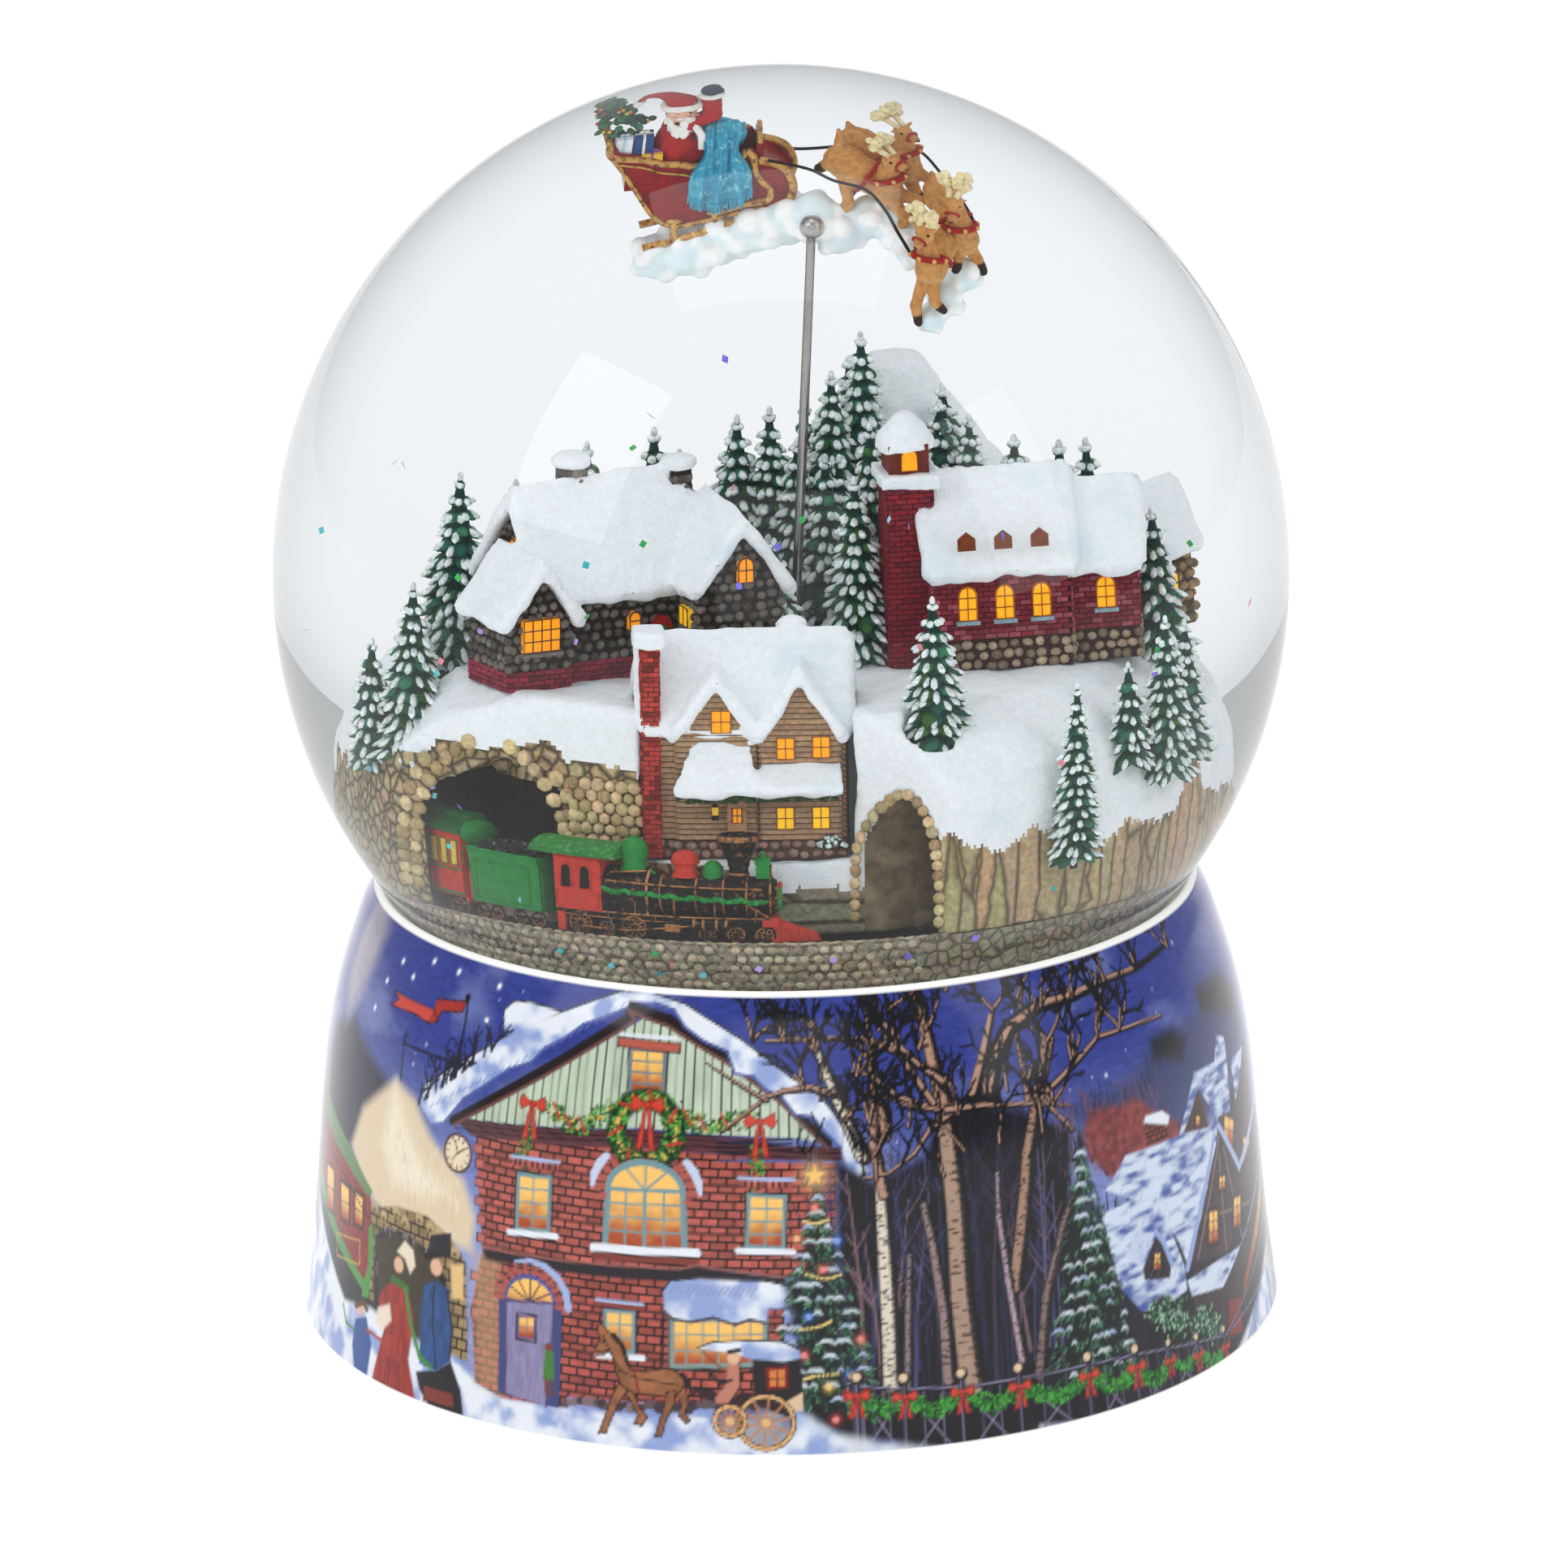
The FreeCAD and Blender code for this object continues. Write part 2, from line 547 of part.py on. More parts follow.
def worm_shape():
    pitch = 2 * math.pi * size.wheel_pitch.value / size.wheel_teeth.value
    core, tip = 0.85, 1.5
    root = core - 0.25
    worm = Part.makeCylinder(core, 9.0, Vec(0, 0, 23.0))
    for start in (0, 180):
        helix = Part.makeHelix(2 * pitch, 6.4, core)
        tooth = Part.makePolygon([Vec(root, 0, -0.3), Vec(tip, 0, -0.14), Vec(tip, 0, 0.14),
                                  Vec(root, 0, 0.3), Vec(root, 0, -0.3)])
        thread = Part.Wire(helix.Edges).makePipeShell([tooth], True, True)
        thread.translate(Vec(0, 0, 24.39))
        thread.rotate(Vec(0, 0, 0), Vec(0, 0, 1), start)
        worm = worm.fuse(thread)
    worm = worm.fuse(Part.makeCylinder(WORM_SHAFT_RAD, 16.2, Vec(0, 0, 18.7)))
    worm.translate(Vec(worm_x.value, worm_y.value, 0))
    return worm


piece("endless_screw", plain(worm_shape()))
piece("air_brake_fly", cut(box(7.0, 0.5, 2.0, worm_x - 3.5, worm_y - 0.25, 32.0),
                           cyl(WORM_SHAFT_RAD, 8, worm_x, worm_y, 30)))
ARM_Z, ARM_HIGH = 34.3, 1.1
post_high = Dim.of(ARM_Z + ARM_HIGH) - plate_top
governor_bracket = fuse(box(1.6, 4.4, post_high, worm_x - 0.8, worm_y + 4.2, plate_top),
                        box(1.6, 7.0, ARM_HIGH, worm_x - 0.8, worm_y - 1.4, ARM_Z))
piece("governor_bracket", cut(governor_bracket, cyl(0.65, 3, worm_x, worm_y, 33)))


# Steel comb of one tooth to each row of pins, screwed to its step, tips just clear of the pins.
def comb_blank():
    body = new_body()
    x0, x1, y0, y1 = 18.9, 32.0, -19.4, -6.62
    outline = closed_sketch(body, "XY_Plane", [(x0, y0), (x1, y0), (x1, y1), (x0, y1)],
                            offset=COMB_Z)
    add_pad(body, outline, COMB_THICK)
    # First slot, midway between two rows of pins.
    middle = size.cyl_x + FIRST_ROW + ROW_STEP / 2
    x0, x1, y0, y1 = middle - 0.13, middle + 0.13, -13.6, -6.0
    slot_outline = closed_sketch(body, "XY_Plane", [(x0, y0), (x1, y0), (x1, y1), (x0, y1)],
                                 offset=29.0)
    doc.recompute()
    slot = body.newObject("PartDesign::Pocket", "Slot")
    slot.Profile = slot_outline
    slot.Length = 3.0
    doc.recompute()
    slots = body.newObject("PartDesign::LinearPattern", "Slots")
    slots.Originals = [slot]
    slots.Direction = (slot_outline, ["H_Axis"])
    slots.Length = ROW_STEP * (ROWS - 2)
    slots.Occurrences = ROWS - 1
    body.Tip = slots
    doc.recompute()
    return body


piece("steel_comb", cut(comb_blank(), *[cyl(0.85, 6, x, y, 25) for x, y in COMB_SCREWS]))
piece("comb_screws", group(*[
    screw(x, y, shank=(0.7, 5.5, 24.2), head=(1.5, 1.0, COMB_Z + COMB_THICK))
    for x, y in COMB_SCREWS]))

# ================================================================ rotor in the liquid
rotor_z, follower_z = size.rotor_disc_z, size.follower_z
follower_top = follower_z + size.disc_thick
follower = cyl(size.follower_rad, size.disc_thick, z=follower_z)
column = cyl(6.0, rotor_z - follower_top, z=follower_top)
piece("rotor_hub", cut(fuse(follower, column), cyl(PIN_RAD + 0.06, 3.6, z=follower_z - 0.5),
                       *magnet_cyls(size.magnet_high + 0.8, follower_z - 0.8)))
piece("follower_magnets", group(*magnet_cyls(size.magnet_high, follower_z)))

# Turntable with the raised track bed at its edge.
rod_foot_z = rotor_z + 0.5
table_top = rotor_z + size.rotor_disc_thick
table = turned([
    (0.0, rotor_z), (size.rotor_disc_rad, rotor_z), (size.rotor_disc_rad, size.track_top),
    (size.track_in, size.track_top), (size.track_in, table_top), (0.0, table_top)])
piece("turntable", cut(table, cyl(size.rod_rad, 6, z=rod_foot_z)))
piece("rails", group(*[
    flat_ring(rad, rad + 0.4, size.track_top, size.rail_top) for rad in (31.2, 34.2)]))


# Rod that rises on the axis, bends once and leans toward +X.
def rod():
    rad = size.rod_rad.value
    foot = Vec(0, 0, rod_foot_z.value)
    bend = Vec(0, 0, size.rod_bend_z.value)
    lean = Vec(size.rod_top_x.value, 0, size.rod_top_z.value) - bend
    lower = Part.makeCylinder(rad, bend.z - foot.z, foot)
    upper = Part.makeCylinder(rad, lean.Length, bend, lean)
    return lower.fuse([upper, Part.makeSphere(rad, bend)]).removeSplitter()


rod_shape = rod()
piece("sleigh_rod", plain(rod_shape))

# ---------------------------------------------------------------- train on the rotor
WHEEL_FOOT_Z = 61.0
SMALL_WHEEL, BIG_WHEEL = 1.05, 1.45     # radii


def axle_discs(angles, rad):
    """Wheel discs either side of a vehicle."""
    return [cyl(rad, 0.75, *around(ring, a), WHEEL_FOOT_Z + rad, turn_z(a).multiply(ALONG_X))
            for a in angles for ring in (30.9, 34.35)]


def arc_block(half_wide, z0, z1, a0, a1):
    """A block curved along the track between two angles."""
    outer = cyl(size.track_mid + half_wide, z1 - z0, z=z0, rot=turn_z(a0), angle=a1 - a0)
    return cut(outer, cyl(size.track_mid - half_wide, z1 - z0 + 2, z=z0 - 1))


boiler = primitive("Torus", "Boiler", dict(Radius1=size.track_mid, Radius2=2.25, Angle3=26),
                   0, 0, 66.4, turn_z(-118))
BOSSES = [  # (radius, height, angle, z) of the round bosses on the boiler
    (1.3, 2.4, -108, 68.2), (1.0, 2.0, -103, 68.2), (1.2, 2.8, -115, 68.2), (0.9, 2.4, -94, 68.0)]
piece("locomotive", fuse(
    arc_block(1.8, 62.2, 64.0, -131.5, -90.5),      # frame
    boiler,
    arc_block(2.4, 63.6, 70.6, -131.5, -118.0),     # cab
    arc_block(2.7, 70.6, 71.7, -133.0, -117.0),     # cab roof
    cone(1.0, 1.7, 4.4, *around(size.track_mid, -99), 68.3),
    *[cyl(rad, high, *around(size.track_mid, a), z) for rad, high, a, z in BOSSES],
    arc_block(2.0, 61.5, 63.2, -90.5, -86.5),       # two steps down at the leading end
    arc_block(1.1, 61.4, 62.6, -86.5, -83.5),
    *axle_discs((-127, -122, -117, -112), BIG_WHEEL), *axle_discs((-103, -96), SMALL_WHEEL)))
piece("tender", fuse(
    arc_block(2.0, 62.0, 63.4, -151.0, -134.2),
    arc_block(2.3, 63.2, 68.4, -150.8, -134.4),
    arc_block(1.4, 68.4, 69.6, -149.0, -136.5),
    *axle_discs((-148, -144, -140.5, -136.8), SMALL_WHEEL)))


def coach(a0, a1):
    return fuse(
        arc_block(2.0, 62.0, 63.4, a0, a1), arc_block(2.3, 63.2, 70.2, a0 + 0.4, a1 - 0.4),
        arc_block(2.6, 70.2, 71.0, a0, a1), arc_block(1.6, 71.0, 72.0, a0 + 1, a1 - 1),
        *axle_discs((a0 + 3, a0 + 6.2, a1 - 6.2, a1 - 3), SMALL_WHEEL))


piece("coach_front", coach(-173.0, -153.0))
piece("coach_rear", coach(-195.0, -175.0))

# ---------------------------------------------------------------- flying sleigh group on the rod
CLOUD = [  # (x, y, z, radius)
    (-11.0, 5.0, 120.2, 2.5), (-8.3, 5.2, 120.7, 2.9), (-5.4, 5.2, 121.8, 3.1),
    (-2.15, 4.7, 123.35, 3.13), (0.9, 4.05, 124.15, 2.97), (3.62, 2.71, 125.13, 2.84),
    (5.71, 2.47, 123.62, 2.66), (8.83, 3.24, 124.87, 2.57), (11.2, 2.35, 124.1, 2.48),
    (13.1, 1.05, 122.6, 2.55), (15.25, -0.35, 121.05, 2.45), (17.45, -0.83, 120.55, 2.03),
    (15.83, -2.37, 118.57, 1.97), (14.42, -3.61, 116.93, 1.53)]
cloud_raw = blend(*[lump(rad, x, y, z) for x, y, z, rad in CLOUD])
cloud = piece("cloud", carve(cloud_raw, plain(rod_shape.copy())))

SLEIGH_X, SLEIGH_Z = -7.0, 128.0    # local origin of the side outlines


def side(outline, wide, y):
    """A piece cut to a side outline (x, z) and as wide as given, centred at y."""
    local = [(x - SLEIGH_X, z - SLEIGH_Z) for x, z in outline]
    return pad(local, wide, "XZ_Plane", SLEIGH_X, y, SLEIGH_Z, middle=True)


def toward(a, b):
    return Rotation(Vec(0, 0, 1), Vec(*b) - Vec(*a))


def limb(rad_a, rad_b, a, b):
    """A tapered round limb from a to b."""
    return cone(rad_a, rad_b, (Vec(*b) - Vec(*a)).Length, *a, toward(a, b))


def oval(across, a, b):
    """A rounded body from a to b."""
    middle = (Vec(*a) + Vec(*b)) * 0.5
    along = (Vec(*b) - Vec(*a)).Length / 2 + across * 0.55
    dims = dict(Radius1=along, Radius2=across, Radius3=across)
    return primitive("Ellipsoid", "Egg", dims, middle.x, middle.y, middle.z, toward(a, b))


# Sleigh: a hollowed hull on two runners, all outlines (x, z).
HULL = [
    (-16.2, 134.3), (-16.2, 132.6), (-14.8, 131.2), (-13.1, 128.1), (-11.6, 125.4),
    (-10.1, 124.3), (-8.6, 124.2), (-5.2, 125.1), (-1.6, 126.0), (0.6, 125.5), (1.5, 126.7),
    (1.7, 128.4), (1.1, 129.9), (-0.2, 131.1), (-1.1, 131.3), (-1.5, 133.5), (-2.6, 132.6),
    (-3.6, 131.4), (-7.6, 131.0), (-11.8, 132.3), (-15.0, 133.3)]
HOLLOW = [(-14.5, 132.4), (-12.3, 128.7), (-10.1, 125.2), (-5.0, 126.1), (-2.7, 126.9),
          (-2.5, 131.4), (-2.2, 134.8), (-14.5, 134.8)]
RUNNER = [
    (-12.3, 122.3), (-12.3, 121.4), (-9.7, 122.0), (-7.7, 122.7), (-5.2, 123.5), (-3.0, 124.3),
    (-0.8, 125.0), (0.8, 125.5), (0.6, 126.5), (-0.9, 126.1), (-3.0, 125.1), (-5.2, 124.3),
    (-7.7, 123.5), (-9.7, 122.8)]
STRUTS = [(-9.9, 122.5), (-6.0, 123.7)]     # (x, z) of each foot
sleigh_mid = 6.0
runners = []
for y in (sleigh_mid - 2.3, sleigh_mid + 2.3):
    runners.append(side(RUNNER, 0.8, y))
    runners += [side([(x, z - 0.2), (x + 0.7, z), (x + 0.7, 125.3), (x, 125.3)], 0.8, y)
                for x, z in STRUTS]
hull = cut(side(HULL, 5.2, sleigh_mid), side(HOLLOW, 3.8, sleigh_mid))
sleigh = piece("sleigh", cut(fuse(hull, *runners), cloud))

# Driver: body, head, pointed cap, a raised arm with a ball at the hand, and a blanket.
blanket = [
    side([(-6.3, 135.6), (-7.4, 132.2), (-8.3, 127.1), (-6.9, 126.5), (-3.0, 127.1),
          (-2.0, 127.9), (-3.0, 132.7), (-2.8, 134.4), (-3.1, 135.8)], 0.6, 3.1),
    side([(-8.6, 131.6), (-3.0, 131.6), (-3.1, 135.5), (-6.2, 135.4), (-8.6, 134.0)], 4.4, 5.3)]
driver_raw = blend(
    cone(2.5, 1.8, 8.0, -9.6, 6.0, 128.6), lump(2.0, -9.6, 5.9, 138.3),
    limb(1.8, 0.5, (-10.0, 5.9, 139.3), (-13.2, 6.0, 144.2)),
    limb(1.0, 0.9, (-8.6, 5.2, 136.2), (-5.9, 4.8, 137.8)),
    limb(0.9, 0.85, (-6.0, 4.8, 137.4), (-6.3, 5.0, 141.6)),
    ball(1.25, -6.5, 5.1, 142.6), *blanket)
piece("driver_figure", carve(driver_raw, sleigh))

# Gifts: four boxes and a tall cone behind the driver.
gifts_raw = blend(
    box(4.2, 3.7, 3.0, -14.6, 4.2, 130.6), box(1.5, 2.4, 1.9, -14.9, 4.0, 133.35),
    box(1.9, 2.4, 2.5, -13.7, 3.9, 132.5), box(2.0, 1.2, 1.3, -12.7, 3.6, 131.7),
    limb(2.9, 0.4, (-14.4, 7.2, 133.2), (-18.9, 7.4, 143.4)))
piece("gift_load", carve(gifts_raw, sleigh, driver_raw))

# Four reindeer: name, rump, chest, head, muzzle, antler tops, girth and leg chains.
HERD = [
    ("reindeer_rear_near", (6.4, 3.4, 131.4), (10.5, 2.5, 128.6), (11.3, 1.6, 132.5),
     (12.3, 0.8, 132.2), (10.7, 1.8, 136.2), 1.65,
     [[(6.4, 2.6, 130.4), (6.9, 2.2, 127.0), (5.6, 2.4, 124.4)],
      [(6.0, 3.3, 131.6), (4.2, 3.9, 130.0)],
      [(11.4, 2.6, 127.8), (13.8, 2.0, 127.4), (12.6, 2.2, 125.0)],
      [(10.4, 2.1, 128.1), (12.4, 0.8, 125.9), (11.2, 0.8, 124.0)]]),
    ("reindeer_rear_far", (7.6, 7.6, 131.4), (12.2, 6.6, 129.0), (12.4, 6.0, 134.1),
     (13.4, 5.2, 133.8), (11.1, 6.8, 138.0), 1.6,
     [[(7.6, 7.6, 130.2), (8.0, 7.4, 127.2), (6.8, 7.4, 125.2)],
      [(12.3, 6.7, 128.9), (15.0, 6.4, 127.2), (14.2, 6.4, 124.8)],
      [(12.0, 6.4, 128.6), (13.4, 6.0, 125.4)]]),
    ("reindeer_front_near", (15.8, -1.6, 124.6), (14.7, -3.8, 122.2), (14.5, -4.6, 126.8),
     (13.9, -5.5, 126.1), (14.4, -4.2, 129.8), 1.5,
     [[(14.4, -3.7, 122.3), (13.1, -4.7, 118.8), (13.3, -4.6, 117.0)],
      [(14.9, -3.7, 122.3), (15.0, -5.2, 119.4), (15.8, -5.0, 118.4)]]),
    ("reindeer_front_far", (15.7, 2.4, 128.2), (17.8, -0.6, 124.4), (17.4, -1.6, 129.0),
     (17.2, -2.5, 128.0), (17.6, -1.2, 132.7), 1.6,
     [[(18.0, -0.5, 124.5), (19.5, -1.2, 121.2)], [(17.6, -0.8, 124.4), (17.0, -2.0, 121.6)]]),
]


def deer(rump, chest, head, muzzle, antlers, girth, legs):
    """A leaping reindeer with cushion-shaped antlers."""
    parts = [oval(girth, rump, chest), limb(girth * 0.78, 0.72, chest, head),
             lump(1.03, *head), limb(0.74, 0.5, head, muzzle)]
    crown = (head[0], head[1], head[2] + 0.37)
    for sign in (-1, 1):
        tip = (antlers[0] + 0.62 * sign, antlers[1] + 0.35 * sign, antlers[2])
        parts.append(limb(0.43, 0.93 + 0.03 * sign, crown, tip))
    for chain in legs:
        for k in range(len(chain) - 1):
            parts.append(limb(0.62 - 0.14 * k, 0.46 - 0.12 * k, chain[k], chain[k + 1]))
            parts.append(lump(0.57 - 0.11 * k, *chain[k + 1]))
    return blend(*parts)


herd_raw = []
for name, *measures in HERD:
    raw = deer(*measures)
    piece(name, carve(raw, cloud_raw, *herd_raw))
    herd_raw.append(raw)

# Reins: one cord along each side of the herd.
NEAR_REIN = [(-0.6, 3.1, 131.5), (3.2, 1.2, 131.4), (5.6, 0.6, 130.3), (8.7, 0.2, 129.4),
             (10.5, -0.8, 127.5), (11.6, -2.2, 125.8), (13.0, -3.6, 123.6)]
FAR_REIN = [(-0.8, 8.9, 130.4), (1.8, 9.0, 129.6), (5.4, 9.4, 129.6), (9.6, 9.2, 130.4),
            (13.4, 7.6, 130.6), (15.8, 4.6, 129.4), (18.0, 2.2, 127.0), (19.2, 0.2, 125.4)]


def cord(points, rad=0.18):
    curve = Part.BSplineCurve()
    curve.interpolate([Vec(*p) for p in points])
    path = Part.Wire([curve.toShape()])
    ring = Part.Wire([Part.Circle(Vec(*points[0]), curve.tangent(0)[0], rad).toShape()])
    return plain(path.makePipeShell([ring], True, True))


piece("reins", group(*[
    carve(cord(points), sleigh, cloud_raw, *herd_raw) for points in (NEAR_REIN, FAR_REIN)]))

# ================================================================ village casting
terrace, ledge = size.terrace_z, size.front_z
land_foot = terrace - 0.5

# Ground: a core and an outer wall joined over the train's tunnel, opened at the front.
ring = turned([
    (size.rod_hole, size.core_bot), (size.core_rad, size.core_bot), (size.core_rad, 71.5),
    (30.6, 75.0), (33.2, 76.4), (35.8, 74.8), (size.wall_in, 71.5),
    (size.wall_in, size.kerb_top), (size.wall_out - 0.15, size.kerb_top),
    (size.wall_out, 75.0), (37.8, 78.6), (34.4, 82.0), (30.5, terrace), (size.rod_hole, terrace)])
FRONT_OPENING = [  # (x, y)
    (-37.6, -10.5), (-15.6, -24.3), (-10.0, -27.0), (-5.0, -28.3), (0.0, -28.7), (6.5, -28.0),
    (17.5, -34.7), (17.5, -60.0), (-60.0, -60.0), (-60.0, -10.5)]
window = pad(FRONT_OPENING, 60.0, z=60.0)
notch = box(21.0, 14.0, 40.0, -14.0, -30.4, ledge)
left_arch = cyl(7.2, 16.0, -21.4, -12.8, 71.0, turn_z(224).multiply(ALONG_X))
mountain = cone(size.peak_foot, 2.4, size.peak_z - terrace + 0.5, size.peak_x, size.peak_y,
                land_foot)
shoulders = [cone(9.0, 2.0, 12.0, 19.0, 16.0, land_foot),
             cone(10.0, 3.0, 11.0, -1.0, 20.0, land_foot)]
land = cut(fuse(ring, mountain, *shoulders), window, notch,
           cut(left_arch, cyl(size.core_rad, 40, z=55)), cyl(size.rod_hole, 60, z=60))


def gable(wide, long, floor, eave, ridge, x, y, turn):
    """A house block: a five-sided section along local X, extruded along local Y about its middle."""
    half = wide / 2.0
    section = [(-half, floor), (half, floor), (half, eave), (0.0, ridge), (-half, eave)]
    return pad(section, long, "XZ_Plane", x, y, 0, turn_z(turn), True)


stone = piece("stone_house", fuse(
    gable(12.0, 16.0, terrace, 92.8, 101.0, -17.2, -4.6, -67.0),
    gable(7.0, 7.4, terrace, 91.5, 96.0, -24.6, -12.2, 23.0),
    gable(8.0, 9.0, terrace, 93.4, 99.4, -5.2, -7.8, 18.0),
    box(3.0, 2.2, 8.5, -20.6, -5.4, 95.6), cyl(1.3, 9.0, -9.2, -1.6, 94.0)))
clapboard = piece("clapboard_house", fuse(
    gable(9.4, 19.0, ledge, 82.4, 90.2, -3.7, -20.6, 90.0),
    gable(7.6, 6.0, ledge, 82.0, 87.4, -6.6, -23.2, 0.0),
    gable(7.6, 6.4, ledge, 82.0, 87.8, 1.6, -23.4, 0.0),
    box(1.6, 2.6, 21.5, -13.9, -23.0, ledge), box(1.5, 1.5, 4.0, 0.2, -20.0, 87.5)))
church = piece("brick_church", fuse(
    gable(11.0, 13.0, terrace, 93.8, 101.0, 19.4, -3.6, -78.0),
    gable(9.0, 6.4, terrace, 93.2, 99.4, 29.0, -1.4, -78.0),
    box(4.2, 4.6, 18.0, 10.0, -8.0, terrace, turn_z(12)), cone(2.6, 0.4, 6.0, 11.6, -5.3, 102.5)))
cottage = piece("cottage", gable(5.0, 6.0, 84.0, 90.6, 95.4, 31.2, 9.4, -35.0))

PINES = [  # (x, y, z, height, foot radius)
    (14.4, -28.6, 80.6, 15.0, 3.2), (-28.6, 2.4, 84.0, 17.0, 3.4), (-31.0, -3.8, 82.6, 12.0, 2.6),
    (-8.6, 9.0, terrace, 15.5, 3.2), (-4.0, 12.6, 88.0, 12.5, 2.8), (1.4, 6.8, terrace, 16.0, 2.8),
    (4.6, 2.4, terrace, 15.0, 2.7), (7.4, -1.6, terrace, 14.5, 2.6),
    (6.4, -6.6, terrace, 12.5, 2.8), (2.6, -8.0, terrace, 9.0, 2.3),
    (20.0, 11.6, 92.0, 12.0, 2.3), (25.8, 13.6, 86.0, 13.0, 2.3), (29.5, 15.5, 84.0, 11.0, 2.2),
    (-16.0, 16.0, terrace, 14.0, 3.0), (-22.5, 10.5, 84.0, 13.0, 2.8),
    (-10.0, 24.0, 84.0, 13.0, 2.8), (22.0, 25.0, 84.0, 11.0, 2.4), (33.6, 1.8, 82.0, 9.0, 1.8)]
pines = [cone(rad, 0.25, high, x, y, z) for x, y, z, high, rad in PINES]
houses = fuse(stone, clapboard, church, cottage)
piece("pine_trees", cut(group(*pines), houses))
piece("village_casting", cut(land, houses, group(*pines)))

# ================================================================ check and export
doc.recompute()
bad = [o.Name for o in doc.Objects if any(s in ("Invalid", "Error") for s in o.State)]
if bad:
    raise RuntimeError("objects failed to build: %s" % bad)
os.makedirs("parts", exist_ok=True)
for obj in PIECES:
    shape = obj.Shape
    if shape.isNull() or not shape.isValid() or not shape.Solids:
        raise RuntimeError("sub-part %s has no valid solid" % obj.Label)
    shape.exportStep("parts/%s.step" % obj.Label)
print("wrote", len(PIECES), "parts")
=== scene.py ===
"""Snow globe: a printed glazed base under a glass ball with a village, a train and a sleigh.

The globe stands on z = 0 with its axis along z and its front towards -y. Shapes are built in
millimetres and become metres in their meshes; texture scales are per metre. Pieces of body
"base" stand still, those of body "rotor" turn about the axis.
"""
import json
import math
import random

import bpy
import numpy as np
from mathutils import Matrix, Vector

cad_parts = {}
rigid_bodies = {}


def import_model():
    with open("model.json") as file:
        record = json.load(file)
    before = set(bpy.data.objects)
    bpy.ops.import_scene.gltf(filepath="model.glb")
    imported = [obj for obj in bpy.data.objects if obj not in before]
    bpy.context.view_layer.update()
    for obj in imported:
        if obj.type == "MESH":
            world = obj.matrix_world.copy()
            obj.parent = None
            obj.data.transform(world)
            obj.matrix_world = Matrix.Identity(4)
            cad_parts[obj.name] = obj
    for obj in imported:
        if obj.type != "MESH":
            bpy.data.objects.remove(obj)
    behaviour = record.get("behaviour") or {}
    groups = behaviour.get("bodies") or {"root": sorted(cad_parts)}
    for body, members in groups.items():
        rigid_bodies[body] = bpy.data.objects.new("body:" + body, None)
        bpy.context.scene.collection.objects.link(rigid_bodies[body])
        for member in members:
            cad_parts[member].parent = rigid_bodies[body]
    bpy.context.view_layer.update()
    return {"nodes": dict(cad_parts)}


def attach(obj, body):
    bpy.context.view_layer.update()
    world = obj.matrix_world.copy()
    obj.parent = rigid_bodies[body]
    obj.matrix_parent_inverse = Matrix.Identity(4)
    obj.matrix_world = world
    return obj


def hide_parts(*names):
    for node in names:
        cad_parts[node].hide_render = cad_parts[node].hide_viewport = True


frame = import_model()
nodes = frame["nodes"]
MM = 0.001
TURN = 2 * math.pi
WHITE = (1, 1, 1)
dice = random.Random(41)    # shared by everything but the printed scene: draw order matters


def rgb(code):
    """Linear colour from a six-digit sRGB code."""
    out = []
    for i in (0, 2, 4):
        c = int(code[i:i + 2], 16) / 255.0
        out.append(c / 12.92 if c <= 0.04045 else ((c + 0.055) / 1.055) ** 2.4)
    return np.array(out)


# ------------------------------------------------------------------ shader helpers
GRAIN_BAND = (0.3, 0.7)    # the part of the noise range that is stretched


def mix(tree, blend, first, second, factor):
    node = tree.nodes.new("ShaderNodeMix")
    node.data_type = "RGBA"
    node.blend_type = blend
    for index, value in ((0, factor), (6, first), (7, second)):
        if isinstance(value, bpy.types.NodeSocket):
            tree.links.new(value, node.inputs[index])
        elif isinstance(value, (int, float)):
            node.inputs[index].default_value = value
        else:
            node.inputs[index].default_value = (*value, 1.0)
    return node.outputs[2]


def map_range(tree, source, span=(0.0, 1.0), result=(0.0, 1.0), smooth=False):
    node = tree.nodes.new("ShaderNodeMapRange")
    if smooth:
        node.interpolation_type = "SMOOTHSTEP"
    for index, value in enumerate((*span, *result), 1):
        node.inputs[index].default_value = value
    tree.links.new(source, node.inputs[0])
    return node.outputs[0]


def object_coords(tree):
    return tree.nodes.new("ShaderNodeTexCoord").outputs["Object"]


def noise(tree, coords, scale, detail=2.0):
    node = tree.nodes.new("ShaderNodeTexNoise")
    node.inputs["Scale"].default_value = scale
    node.inputs["Detail"].default_value = detail
    tree.links.new(coords, node.inputs["Vector"])
    return node.outputs["Fac"]


def grey(tree, value):
    node = tree.nodes.new("ShaderNodeCombineColor")
    for i in range(3):
        tree.links.new(value, node.inputs[i])
    return node.outputs[0]


def bump_normal(tree, height, strength, distance):
    node = tree.nodes.new("ShaderNodeBump")
    node.inputs["Strength"].default_value = strength
    node.inputs["Distance"].default_value = distance
    tree.links.new(height, node.inputs["Height"])
    return node.outputs[0]


def facing(tree):
    node = tree.nodes.new("ShaderNodeLayerWeight")
    node.inputs["Blend"].default_value = 0.5
    return node.outputs["Facing"]


